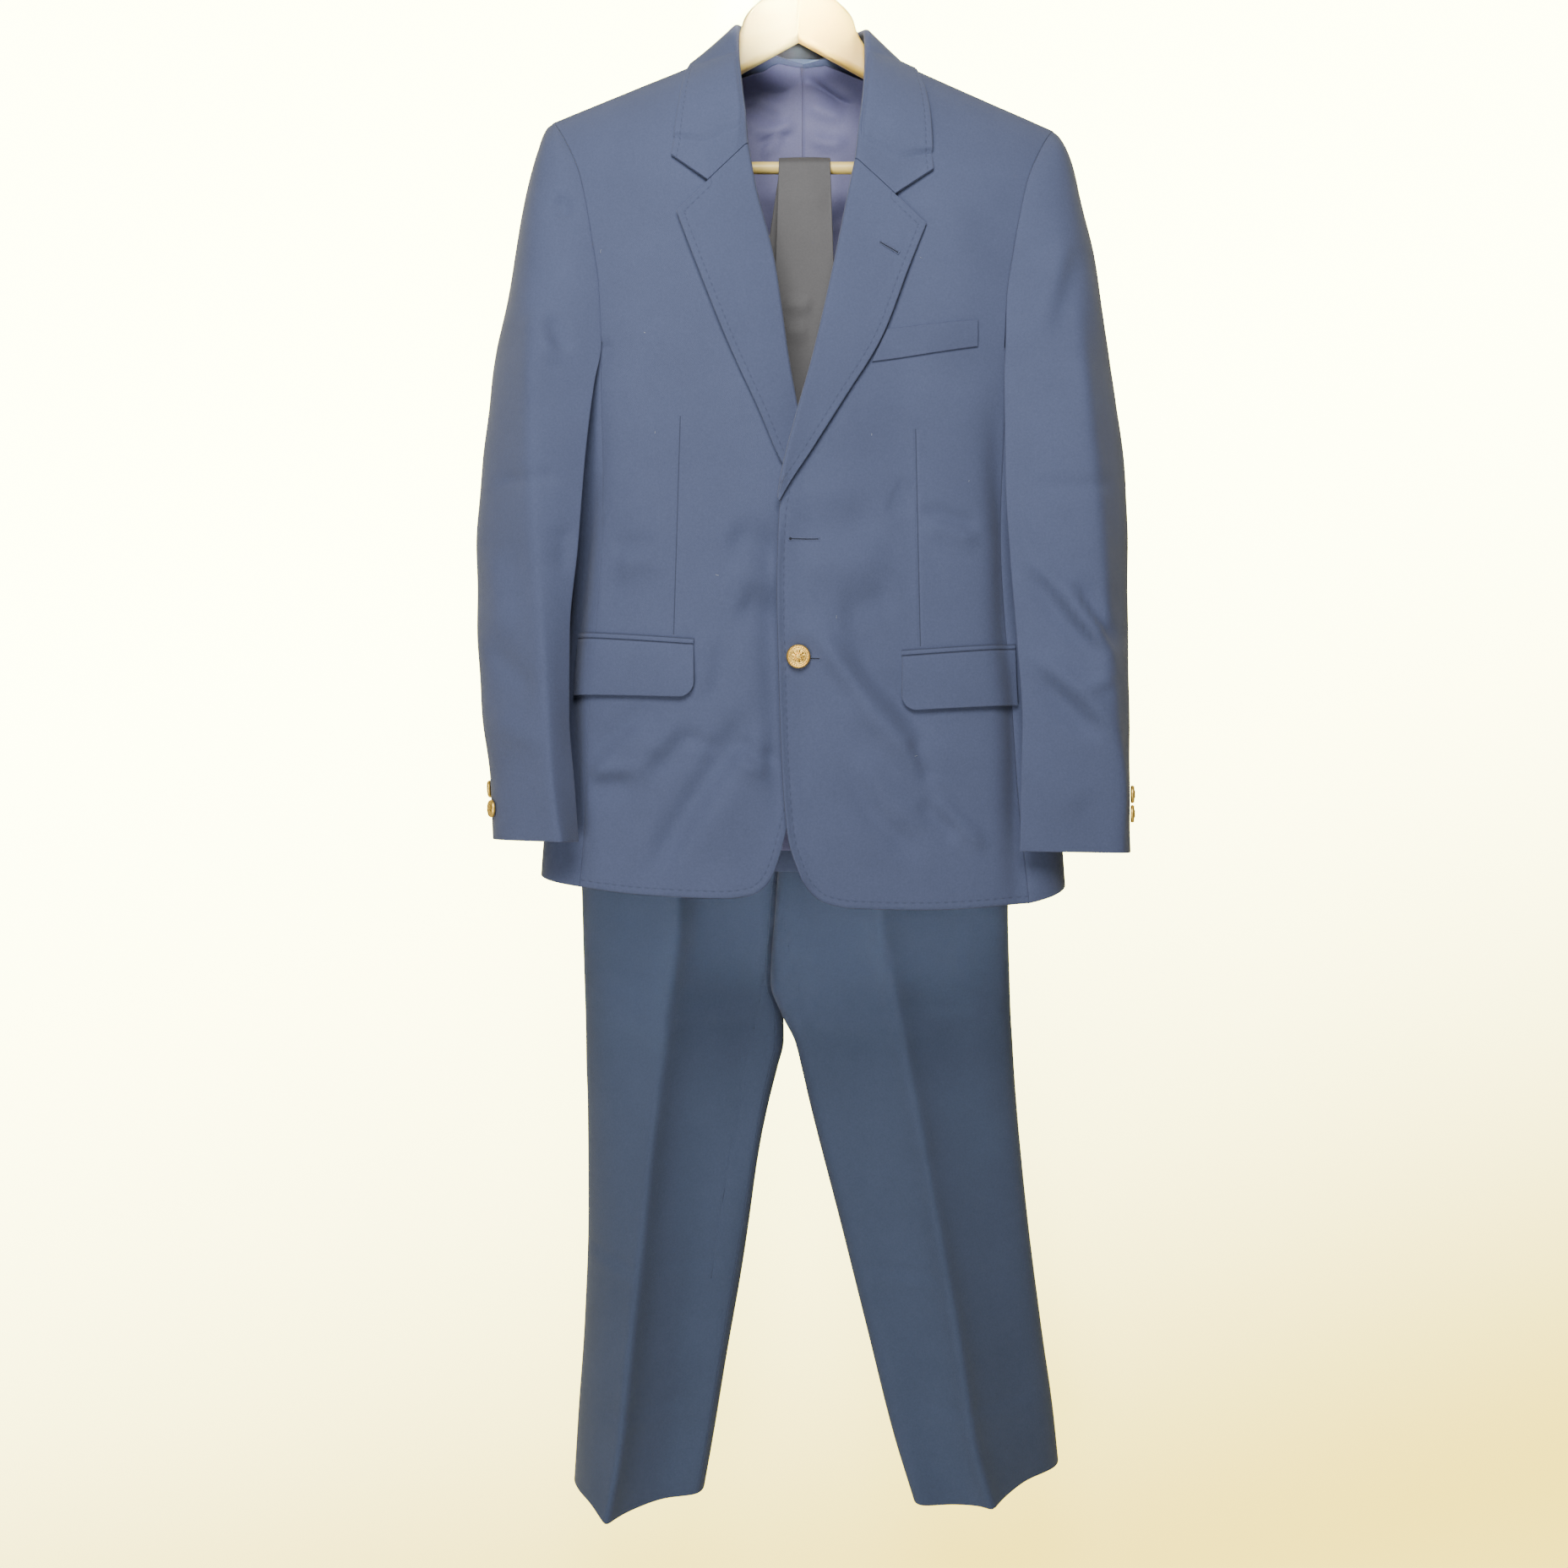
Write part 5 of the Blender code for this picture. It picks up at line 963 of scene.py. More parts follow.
def hemFrontLevel(sign):
    hem = frontLeftHem if sign > 0 else frontRightHem
    return hem["z"][-1] - jacketTilt * (hem["x"][-1] - jacketShift)


def frontOutline(which):
    # The front's edge down to its lowest corner, and the hem on to the side seam, each as a fine line.
    edge, hem = (frontLeftEdge, frontLeftHem) if which == "left" else (frontRightEdge, frontRightHem)
    points = np.concatenate([np.stack([edge["x"], edge["z"]], -1)[::-1],
                             np.stack([hem["x"], hem["z"]], -1)[1:]])
    line = along(points, 900)
    corner = int(np.argmin(np.hypot(line[:, 0] - edge["x"][0], line[:, 1] - edge["z"][0])))
    return line[:corner + 1], line[corner:]


def shareLine(line, shares):
    # Points of a fine line at given shares of its length.
    length = runLength(line)
    return np.stack([np.interp(shares * length[-1], length, line[:, k]) for k in range(line.shape[1])], -1)


darts = {"right": ((-99, -458), (-104.7, -640)), "left": ((97.3, -469), (101.5, -650))}


def dartMark(grid, which):
    # Distance from the dart's line and place along it, for every point of a front.
    (x0, z0), (x1, z1) = darts[which]
    way = np.array([x1 - x0, z1 - z0]) * mm
    length = np.linalg.norm(way)
    dx, dz = grid[..., 0] - x0 * mm, grid[..., 2] - z0 * mm
    across = (dx * way[1] - dz * way[0]) / length
    place = (dx * way[0] + dz * way[1]) / length ** 2
    return markPlaces(across, place)


def frontPanel(which):
    sign = signs[which]
    edge, hem = frontOutline(which)
    seamLine = sideLine(sign, "front", hemFrontLevel(sign), 130)
    seamLine[-1, 1] = hem[-1, 1]
    levels = np.interp(seamLine[:, 1], [seamLine[-1, 1], armholeFoot, seamLine[0, 1]],
                       [edge[-1, 1], armholeFoot, edge[0, 1]])
    edgeLine = np.stack([np.interp(-levels, -edge[:, 1], edge[:, 0]), levels], -1)
    shares = bunched(104, 1.25, 1.0)
    hemLine = shareLine(hem, shares)
    hemLine[-1] = seamLine[-1]
    across = edgeLine[0, 0] + (seamLine[0, 0] - edgeLine[0, 0]) * shares
    topLine = np.stack([across, ridgeHeight(across)], -1)
    grid, normal = panelGrid("front", which, edgeLine, hemLine, topLine, seamLine)
    grid, normal = grid[::-1], normal[::-1]
    if which == "left":
        # The closing edge stands a little off the front under it.
        fromEdge, _ = nearLine(grid[..., 0], grid[..., 2], edge[::3])
        spring = (1 - smoothStep(0, 6 * mm, fromEdge)) * smoothStep(-535 * mm, -570 * mm, grid[..., 2])
        grid = grid + normal * (2.2 * mm * spring)[..., None]
    stitched = np.concatenate([edge[::3], hem[3:330:3]])
    outline = outlineMark(grid, stitched)
    # The edge mark: a dark line painted on the closing edge and hem, for the edge seam and a painted shadow
    # along it.
    marks = {"dart": dartMark(grid, which), "outline": outline,
             "edge": markPlaces(outline[..., 0], 0 * outline[..., 0] + 0.5)}
    made = clothShell("front_" + which, grid, normal, clothBlazer, woolFront,
                      rim=(1.0 * mm, seamRim), marks=marks, rimEnds=1.0 * mm)
    finishPiece(made, ["jacket_front_" + which], "hung")


def backPanel(which):
    sign = signs[which]
    seamLine = sideLine(sign, "back", backHem, 80)
    across = np.linspace(0, 217, 46) * mm
    neck = curveThrough(backNeck["x"], backNeck["z"], across)
    x, z = placed(across, neck, sign)
    topLine = np.stack([x, np.where(across > 83 * mm, ridgeHeight(x), z)], -1)
    hemAcross = np.linspace(0, at(sideSeams, "back", backHem), len(across))
    hemLine = np.stack(placed(hemAcross, np.full(len(across), backHem), sign), -1)
    levels = np.interp(seamLine[:, 1], [seamLine[-1, 1], seamLine[0, 1]], [backHem, topLine[0, 1]])
    edgeLine = np.stack([np.full(len(levels), jacketShift), levels], -1)
    grid, normal = panelGrid("back", which, edgeLine, hemLine, topLine, seamLine)
    grid[:, 0, 0] += sign * seamGap
    made = clothShell("back_" + which, grid[::-1], normal[::-1], clothBlazer, woolPlain, rim=0.5 * mm)
    finishPiece(made, ["jacket_back_" + which], "hung")


def sidePoints(levels, sign):
    # Points round the side of the body, even from its front seam to its back seam.
    half = at(bodyTable, "side", levels)
    s = np.linspace(0, 1, levels.shape[1])[None, :]

    def share(side):
        return (1 - (at(sideSeams, side, levels) / half) ** sideCurve) ** (1 / sideCurve)

    depth = -share("front") * (1 - s) + share("back") * s
    across = half * (1 - np.abs(depth) ** sideCurve) ** (1 / sideCurve)
    y = depth * np.where(depth < 0, at(bodyTable, "front", levels), at(bodyTable, "back", levels))
    x, z = placed(across, levels, sign)
    return np.stack([x, y, z], -1)


def bodyField(points):
    # Below the armholes: 0 on the body, negative inside it.
    x, y, z = points[..., 0], points[..., 1], points[..., 2]
    level = z - jacketTilt * (x - jacketShift)
    depth = np.where(y < 0, at(bodyTable, "front", level), at(bodyTable, "back", level))
    reach = np.abs(x - jacketShift) / at(bodyTable, "side", level)
    return reach ** sideCurve + (np.abs(y) / depth) ** sideCurve - 1


def fieldNormal(points):
    small = 0.3 * mm
    steps = np.eye(3) * small
    slope = np.stack([bodyField(points + step) - bodyField(points - step) for step in steps], -1)
    slope = slope / (2 * small)
    return unit(slope), np.linalg.norm(slope, axis=-1)


def clearOfBody(points, gap):
    # The points, moved out where they come nearer to the body than the gap.
    for _ in range(4):
        normal, steep = fieldNormal(points)
        short = gap - bodyField(points) / steep
        points = points + normal * np.maximum(short, 0)[..., None]
    return points


seamShares = np.linspace(0, 1, 130)  # down the side seams


def sideLevels(columns, hemFront):
    # Levels of a side body's points: the top sags into the foot of the armhole.
    s = np.linspace(0, 1, columns)[None, :]
    share = seamShares[:, None]
    hem = hemFront + (backHem - hemFront) * (1 - (1 - s) ** 3)
    sag = 37 * mm * (1 - share) ** 4 * np.sin(np.pi * s) ** 0.8
    return armholeFoot - seamGap + share * (hem - armholeFoot + seamGap) - sag


def sidePanel(which):
    sign = signs[which]
    grid = sidePoints(sideLevels(26, hemFrontLevel(sign)), sign)
    normal = fieldNormal(grid)[0]
    hollow = foldHeight(grid[..., 0], grid[..., 2], sleeveHollows[which])
    hollow = hollow * smoothStep(10 * mm, -16 * mm, grid[..., 1])
    grid = grid + normal * hollow[..., None]
    made = clothShell("side_" + which, grid, gridNormals(grid, normal), clothBlazer, woolPlain,
                      rim=(seamRim, 0.5 * mm), rimEnds=0.7 * mm)
    finishPiece(made, ["jacket_side_" + which], "hung")


for which in ("left", "right"):
    frontPanel(which)
    backPanel(which)
    sidePanel(which)
print("body of the blazer made")


# sleeves


def hermite(start, end, startWay, endWay, steps):
    # Points of a smooth curve; a way of None leaves that end free.
    chord = end - start
    length = np.linalg.norm(chord, axis=-1, keepdims=True)
    ways = [chord if way is None else np.asarray(way, float) * length for way in (startWay, endWay)]
    return cubic(np.linspace(0, 1, steps + 1)[:, None, None], start, end, *ways)


def sleeveRings(rows, levels, sign, steps):
    # For each level the upper path, seam to elbow round the outside, and the under path back.
    def corner(name):
        return np.stack([at(rows, name + "X", levels), at(rows, name + "Y", levels)], -1)

    seam, fold, out, back = corner("seam"), corner("fold"), corner("out"), corner("back")
    elbow, inner = corner("elbow"), corner("in")
    upper = [hermite(seam, fold, None, None, steps)[:-1], hermite(fold, out, None, (0, 1), steps)[:-1],
             hermite(out, back, (0, 1), (-1, 0.2), steps)[:-1], hermite(back, elbow, (-1, 0.2), None, steps)]
    under = [hermite(elbow, inner, None, (0, -1), steps)[:-1], hermite(inner, seam, (0, -1), None, steps)]

    def turned(parts):
        flat = np.concatenate(parts).transpose(1, 0, 2)
        x, z = placed(flat[..., 0], np.broadcast_to(np.asarray(levels)[:, None], flat.shape[:2]), sign)
        return np.stack([x, flat[..., 1], z], -1)

    return turned(upper), turned(under)


# Folds on the front of each sleeve, as for the body.
sleeveFolds = {
    "right": (
        (-2.4, 9, ((-206, -268), (-198, -277), (-192, -290))),
        (-2.0, 8, ((-209, -372), (-203, -386), (-193, -408))),
        (1.6, 10, ((-222, -366), (-214, -392), (-204, -420))),
        (-1.0, 7, ((-262, -508), (-226, -512), (-192, -508))),
        (-1.6, 15, ((-190, -546), (-188, -570), (-192, -594))),
        (1.4, 12, ((-262, -560), (-252, -600), (-246, -650))),
        (-1.2, 10, ((-262, -642), (-242, -668), (-216, -690))),
        (1.2, 12, ((-258, -700), (-236, -722), (-206, -734)))),
    "left": (
        (1.3, 9, ((229, -298), (218, -330), (209, -362), (198, -400))),
        (-1.2, 10, ((240, -306), (229, -340), (221, -372), (212, -402))),
        (-1.0, 7, ((190, -514), (228, -518), (268, -512))),
        (3.2, 8, ((172, -556), (190, -578), (212, -600), (226, -620), (243, -640), (260, -666))),
        (-3.0, 9, ((180, -574), (200, -600), (216, -622), (236, -646), (250, -668))),
        (2.8, 6, ((220, -590), (233, -620), (244, -637), (254, -656))),
        (-2.2, 7, ((228, -586), (243, -618), (256, -640), (266, -658))),
        (3.0, 9, ((180, -648), (212, -671), (236, -692), (266, -728))),
        (-2.8, 10, ((186, -668), (208, -688), (230, -708), (254, -732))),
        (1.8, 7, ((234, -690), (246, -682), (260, -674))),
        (1.4, 14, ((192, -740), (214, -762), (240, -790))))}
sleeveFoldStrength = 2.1  # what the table's depths are multiplied by


def sleeve(which):
    sign = signs[which]
    rows = sleeveLeft if which == "left" else sleeveRight
    cuff = rows["z"][0]
    levels = np.concatenate([armholeLevels, armholeFoot + seamShares * (cuff - armholeFoot)])
    steps = 14
    upper, under = sleeveRings(rows, levels, sign, steps)
    cap = len(armholeLevels)
    rounded = smoothed(upper, 60, 0.25 + 0.75 * smoothStep(-430 * mm, -340 * mm, levels))
    rounded = smoothed(rounded, 3)
    # Rounding keeps the sleeve's full width.
    start = upper[:, :1, 0]
    widths = [(sign * (grid[..., 0] - start)).max(1) for grid in (upper, rounded)]
    full = widths[0] / np.maximum(widths[1], 1e-6)
    rounded[..., 0] = start + (rounded[..., 0] - start) * full[:, None]
    upper = rounded

    # The cap starts on the armhole: its first columns are drawn to it.
    normals = {}
    spread = (1 - smoothStep(0, 1, np.arange(steps) / steps))[None, :, None]
    for side, columns in (("front", range(steps)), ("back", range(-1, -steps - 1, -1))):
        x, z = placed(at(armholeTable, side, levels[:cap + 1]), levels[:cap + 1], sign)
        z = np.minimum(z, ridgeHeight(x) - 0.01 * mm)
        lift = (clothSleeve + 0.5 * mm) * smoothStep(345 * mm, 395 * mm, -levels[:cap + 1])
        point, normals[side] = bodyPoint(x, z, side, "", lift)
        columns = list(columns)
        move = point - upper[:cap + 1, columns[0]]
        upper[:cap + 1, columns] += move[:, None] * spread
        rest = np.clip(1 - (levels[cap] - levels[cap + 1:]) / (25 * mm), 0, 1) ** 2
        upper[cap + 1:, columns] += move[cap][None, None] * rest[:, None, None] * spread

    # The under sleeve starts on the top of the side body.
    under = under[cap:]
    foot = sidePoints(sideLevels(under.shape[1], hemFrontLevel(sign)), sign)[0][::-1]
    footNormal = fieldNormal(foot)[0]
    sink = np.interp(seamShares, (0, 0.07, 0.16, 0.27), (1, 0.75, 0.4, 0))
    sag = (foot[:, 2] - under[0, :, 2])[None, :] * sink[:, None]
    under = clearOfBody(under + np.stack([0 * sag, 0 * sag, sag], -1), 4.2 * mm)
    start = foot + footNormal * 0.5 * mm - under[0]
    under += start[None] * (np.clip(1 - seamShares / 0.06, 0, 1) ** 2)[:, None, None]
    reach = (1 - smoothStep(0, 1, np.arange(8) / 8))[None, :, None]
    under[:, :8] += (upper[cap:, -1] - under[:, 0])[:, None] * reach
    under[:, :-9:-1] += (upper[cap:, 0] - under[:, -1])[:, None] * reach

    middle = np.array([jacketShift + sign * 235 * mm, 0, 0])
    upperNormal = gridNormals(upper, (upper - middle) * (1, 1, 0))
    x, z = upper[..., 0], upper[..., 2]
    facing = smoothStep(0.1, 0.5, -upperNormal[..., 1])
    fromTop = smoothStep(0, 40 * mm, levels[0] - levels)[:, None]
    fromCuff = 0.3 + 0.7 * smoothStep(0, 20 * mm, levels - levels[-1])[:, None]
    fromSeam = smoothStep(0, 6, np.arange(upper.shape[1]))[None, :]
    fold = foldHeight(x, z, sleeveFolds[which]) * facing * sleeveFoldStrength
    # Behind, where nothing is seen from the front, the cloth breaks in the same places but softer.
    fold += foldHeight(x, z - 18 * mm, sleeveFolds[which]) * smoothStep(0.1, 0.5, upperNormal[..., 1]) * 0.7
    wave = ripple(x + upper[..., 1], z, 11 if which == "left" else 12, 90 * mm) * 0.7 * mm
    upper = upper + upperNormal * ((fold + wave) * fromTop * fromCuff * fromSeam)[..., None]
    upperNormal = gridNormals(upper, (upper - middle) * (1, 1, 0))
    underNormal = gridNormals(under, (under - middle) * (1, 1, 0))
    for side, column in (("front", 0), ("back", -1)):
        blend = (1 - smoothStep(0, 1, np.arange(4) / 4))[None, :, None]
        columns = list(range(4)) if column == 0 else [-1, -2, -3, -4]
        near = upperNormal[:cap + 1, columns]
        upperNormal[:cap + 1, columns] = unit(near + (normals[side][:, None] - near) * blend)
    upperNormal[0] = unit(np.array([sign * 0.42, 0, 0.9]))
    for mine, step in ((0, 1), (-1, -1)):  # elbow edge, front edge
        way = unit(under[:, mine + 4 * step] - under[:, mine])
        under[:, mine] += way * (clothSleeve + 0.2 * mm)
    upper = pulledIn(upper)
    for part, grid, normal in (("upper", upper, upperNormal), ("under", under, underNormal)):
        made = clothShell("%s_sleeve_%s" % (part, which), grid, normal, clothSleeve, woolPlain, rim=0.8 * mm)
        finishPiece(made, ["sleeve_%s_%s" % (part, which)], "hung")
    return upper, upperNormal


sleeves = {which: sleeve(which) for which in ("left", "right")}
print("sleeves made")


# lapels and collar


def lapelRows(which, shares):
    # Roll and free edge of the lapel at shares of its length.
    rows = lapelLeft if which == "left" else lapelRight
    line = np.stack([rows[name] for name in ("rollX", "rollZ", "edgeX", "edgeZ")], -1)
    return along(line, len(shares), shares)


leafColumns, rollColumns = 26, 9


def lapelGrid(which, shares):
    # Middle of the lapel's cloth: across the leaf from its free edge, round the roll and into a short tail.
    sign = signs[which]
    edge = frontLeftEdge if which == "left" else frontRightEdge
    grid = []
    for rollX, rollZ, edgeX, edgeZ in lapelRows(which, shares):
        width = math.hypot(edgeX - rollX, edgeZ - rollZ)
        across = np.array([edgeX - rollX, edgeZ - rollZ]) / width
        radius = min(2.6 * mm, width * 0.2)
        bend = radius + clothLapel / 2
        top = 2 * radius - clothBlazer / 2
        distance = width + (bend - width) * np.linspace(0, 1, leafColumns, endpoint=False)
        low = clothLapel / 2 + 2.3 * mm * min(1, width / (20 * mm))
        lift = low + (top - low) * (1 - smoothStep(0.15, 1, distance / width))
        angle = np.linspace(0, math.pi, rollColumns)
        distance = np.concatenate([distance, bend - radius * np.sin(angle)])
        lift = np.concatenate([lift, radius * (1 + np.cos(angle)) - clothBlazer / 2])
        row = bodyPoint(rollX + across[0] * distance, rollZ + across[1] * distance, "front", which, lift)[0]
        tailZ = rollZ + across[1] * (bend + 4 * mm)
        tailX = at(edge, "x", tailZ) - sign * 0.6 * mm
        if sign * (tailX - rollX - across[0] * bend) < 0.5 * mm:
            tailX = rollX + across[0] * (bend + 0.5 * mm)
        tail = bodyPoint(tailX, tailZ, "front", which, -clothBlazer / 2)[0]
        grid.append(np.concatenate([row, [row[-1] * 0.6 + tail * 0.4, tail]]))
    return np.array(grid)


notches = {"right": np.array((-76.4, -262.0)) * mm, "left": np.array((80.6, -273.0)) * mm}
lapelFolds = {
    "right": (
        (-0.9, 16, ((-84, -300), (-52, -340), (-30, -400))),
        (0.8, 14, ((-96, -300), (-66, -352), (-44, -410)))),
    "left": (
        (-0.9, 16, ((88, -312), (60, -350), (34, -400))), (0.8, 14, ((98, -312), (74, -360), (48, -418))))}


def lapel(which, reach):
    shares = bunched(136, 1.0, 1.0) * (reach - 0.001) + 0.001
    grid = lapelGrid(which, shares)
    leaf = np.clip(1 - np.arange(grid.shape[1]) / leafColumns, 0, 1)[None, :]
    soft = foldHeight(grid[..., 0], grid[..., 2], lapelFolds[which]) + ripple(
        grid[..., 0], grid[..., 2], 31 if which == "left" else 33, 70 * mm) * 0.35 * mm
    grid[..., 1] -= np.maximum(soft, -0.5 * mm) * leaf
    normal = gridNormals(grid, np.zeros(3))
    if (normal[:, 1] * (0, -1, 0)).sum() < 0:
        normal = -normal
    notch = notches[which]
    top = grid[0, :leafColumns, ::2]
    fromNotch = top[np.linalg.norm(top - top[0], axis=1) < np.linalg.norm(notch - top[0])][::-1]
    stitched = np.concatenate([fromNotch, grid[1:, 0, ::2]])
    marks = {"outline": outlineMark(grid, stitched[::2])}
    made = clothShell("turned_lapel_" + which, grid + normal * clothLapel / 2, normal, clothLapel,
                      woolStitched, rim=1.2 * mm, marks=marks, rimEnds=0.5 * mm)
    finishPiece(made, ["lapel_" + which], "folded")
    return grid


lapelMiddles = {"left": lapel("left", 0.985), "right": lapel("right", 0.93)}
standColumns = 8


def collarGrid(stations):
    # Rows round the neck; columns from the free edge over the fold down to the neck seam.
    def corner(name):
        columns = [collarTable[name + axis] for axis in "XYZ"]
        return np.stack([curveThrough(collarTable["at"], column, stations) for column in columns], -1)

    # The joints between the table's rows are evened out.
    fold, edge, seamLine = [smoothed(corner(name)[None], 60)[0] for name in ("fold", "edge", "seam")]
    radius = 2.3 * mm
    toEdge, toSeam = unit(edge - fold), unit(seamLine - fold)
    inward = unit(toEdge + toSeam)
    leafSide = unit(toEdge - (toEdge * inward).sum(-1, keepdims=True) * inward)
    centre = fold + inward * radius
    arc = [centre + radius * (leafSide * math.cos(a) - inward * math.sin(a))
           for a in np.linspace(0, math.pi, rollColumns)]
    leaf = [edge + (arc[0] - edge) * k / leafColumns for k in range(leafColumns)]
    reach = 1 - 1.2 * mm / np.linalg.norm(seamLine - arc[-1], axis=-1, keepdims=True)
    stand = [arc[-1] + (seamLine - arc[-1]) * reach * k / standColumns for k in range(1, standColumns + 1)]
    return np.stack(leaf + arc + stand, 1)


def clearOfSurface(points, gap):
    # Near the neck: the points, moved off the fronts, the backs and the shoulder ridge.
    for _ in range(4):
        x, y, z = points[..., 0], points[..., 1], points[..., 2]
        for side, sign in (("front", -1), ("back", 1)):
            below = np.minimum(z, ridgeHeight(x) - 1 * mm)
            surface, normal = bodyPoint(x, below, side)
            away = ((points - surface) * normal).sum(-1)
            push = np.where(y * sign >= 0, np.maximum(gap - away, 0), 0)
            points = points + normal * push[..., None] * 0.7
    return points


def collar():
    stations = np.linspace(0, 440, 270) * mm
    grid = collarGrid(stations)
    for row, which in ((0, "right"), (-1, "left")):
        # Each end runs from its corner to the notch, then along the top of the lapel to the fold.
        top = lapelMiddles[which][0]
        notch = notches[which]
        corner = grid[row, 0]
        place = np.linalg.norm(top[:leafColumns, ::2] - notch, axis=1).argmin()
        turn = 10
        sharesTo = np.linspace(0, 1, turn, endpoint=False)[:, None]
        toNotch = corner[None] + (top[place] - corner)[None] * sharesTo
        seamPart = along(top[place:leafColumns + rollColumns], 60)
        lengths = np.linspace(0, 1, leafColumns - turn + rollColumns)
        rest = along(seamPart, len(lengths), lengths)
        target = np.concatenate([toNotch, rest])
        way = unit(grid[3 if row == 0 else -4, :len(target)] - grid[row, :len(target)])
        move = target + way * 0.25 * mm - grid[row, :len(target)]
        distance = np.abs(stations - stations[row])
        share = (1 - smoothStep(0, 1, distance / (30 * mm)))[:, None]
        deep = (1 - smoothStep(0, 1, distance / (95 * mm)))[:, None]
        grid[:, :len(target)] += move[None] * np.stack([share, deep, share], -1)
    # The leaf lies close on the shoulders and the back, and stands off the fronts.
    inner = slice(12, -12)
    for column in range(leafColumns + 1):
        closeness = smoothStep(-42 * mm, -14 * mm, grid[:, column, 1])
        gap = (3.4 - 2.8 * closeness + 0.6 * (column / leafColumns) ** 1.5) * mm
        grid[inner, column] = clearOfSurface(grid[:, column], gap)[inner]
    soft = ripple(stations[:, None] + 0 * grid[..., 0], grid[..., 2], 41, 80 * mm) * 0.3 * mm
    leaf = np.clip(1 - np.arange(grid.shape[1]) / leafColumns, 0, 1)[None, :]
    normal = gridNormals(grid, np.zeros(3))
    if normal[:, 0, 2].sum() < 0:
        normal = -normal
    grid = grid + normal * (np.maximum(soft, 0) * leaf)[..., None]
    normal = gridNormals(grid, normal)
    marks = {"outline": markPlaces(runLength(grid, 1), runLength(grid, 0))}
    made = clothShell("turned_collar", grid + normal * clothLapel / 2, normal, clothLapel, woolStitched,
                      rim=1.2 * mm, marks=marks, rimEnds=0.5 * mm)
    finishPiece(made, ["collar"], "folded")
    return grid, normal


collarMiddle, collarNormal = collar()
print("lapels and collar made")


# lining and label


liningFolds = (
    (2.2, 5, ((-40, -180), (-14, -174), (0, -168))), (-2.0, 5, ((-42, -187), (-16, -181), (0, -176))),
    (2.0, 5, ((-33, -198), (-24, -188), (-12, -176))), (2.4, 6, ((14, -116), (32, -130), (54, -146))),
    (-2.2, 6, ((8, -124), (28, -138), (48, -156))), (2.0, 5, ((6, -180), (30, -188), (44, -180))),
    (1.8, 6, ((-44, -122), (-22, -128), (-2, -134))), (-1.6, 6, ((-44, -134), (-24, -140), (-4, -146))),
    (2.0, 6, ((6, -150), (24, -160), (44, -164))), (-2.0, 7, ((-48, -152), (-30, -160), (-14, -164))),
    (2.6, 8, ((-60, -240), (-30, -270), (0, -282))), (-2.6, 9, ((60, -236), (30, -262), (6, -280))),
    (2.4, 9, ((-50, -330), (-10, -360), (40, -370))), (-2.4, 10, ((-60, -430), (0, -450), (60, -440))))

liningFoldStrength = 1.8  # what the table's depths are multiplied by


def liningBack():
    across = np.linspace(-1, 1, 96)
    x = jacketShift + across * 176 * mm
    distance = np.abs(x - jacketShift)
    neck = curveThrough(backNeck["x"], backNeck["z"], distance) + jacketTilt * (x - jacketShift)
    shoulder = ridgeHeight(x) - 5 * mm
    top = np.where(distance > 84 * mm, shoulder, np.minimum(neck - 0.6 * mm, shoulder))
    low = np.full(len(x), backHem + 20 * mm)
    share = bunched(130, 1.5, 1.0)[:, None]
    z = top[None] * (1 - share) + low[None] * share
    wide = jacketShift + (x - jacketShift)[None] * (1 - 0.02 * smoothStep(-300 * mm, -395 * mm, z))
    pleat = 4.3 * mm
    # Slack satin: long soft wrinkles, creases that draw to the tack, and a pleat down the middle.
    slack = ripple(wide, z, 51, 120 * mm) * 1.1 + ripple(wide * 1.4, z * 0.6, 52, 34 * mm) * 0.45
    creases = foldHeight(wide, z, liningFolds) * liningFoldStrength / mm
    step = smoothStep(-0.7 * mm, 0.7 * mm, wide - pleat) * 1.3 * np.exp(-((wide - pleat) / (60 * mm)) ** 2)
    outer, normal = bodyPoint(wide, z, "back", "", -(clothBlazer + 5.5 * mm) - (slack + creases + step) * mm)
    normal = gridNormals(outer, normal)
    fromTop = np.clip((top[None] - 4 * mm - z) / 0.1, 0, 2)
    marks = {"dart": markPlaces(wide - pleat, fromTop * 0.5)}
    made = clothShell("lining", outer, normal, clothLining, liningSatin, rim=0.5 * mm, marks=marks)
    finishPiece(made, ["lining_back"], "hung")


def neckLabel():
    # A plain woven label on the inside of the collar's stand.
    rows = np.linspace(187, 247, 40) / 440 * (len(collarMiddle) - 1)
    low = rows.astype(int)
    part = (rows - low)[:, None, None]
    middle = collarMiddle[low] * (1 - part) + collarMiddle[low + 1] * part
    way = collarNormal[low] * (1 - part) + collarNormal[low + 1] * part
    first = leafColumns + rollColumns - 1
    share = np.linspace(0.12, 0.8, 12)[None, :, None]
    top, foot = middle[:, first][:, None], middle[:, -1][:, None]
    facing = unit(way[:, first + 4])[:, None]
    flat = top + (foot - top) * share
    outer = flat + facing * (clothLapel / 2 + 1.3 * mm)
    made = clothShell("label", outer, np.broadcast_to(facing, outer.shape).copy(), 0.8 * mm, labelSatin,
                      rim=0.4 * mm)
    finishPiece(made, ["neck_label"], "laid")


liningBack()
neckLabel()
print("lining and label made")


# pockets, buttons and buttonholes


def roundedCorner(distance):
    radius = 13 * mm
    reach = np.clip(radius - distance, 0, radius)
    return radius - np.sqrt(radius ** 2 - reach ** 2)


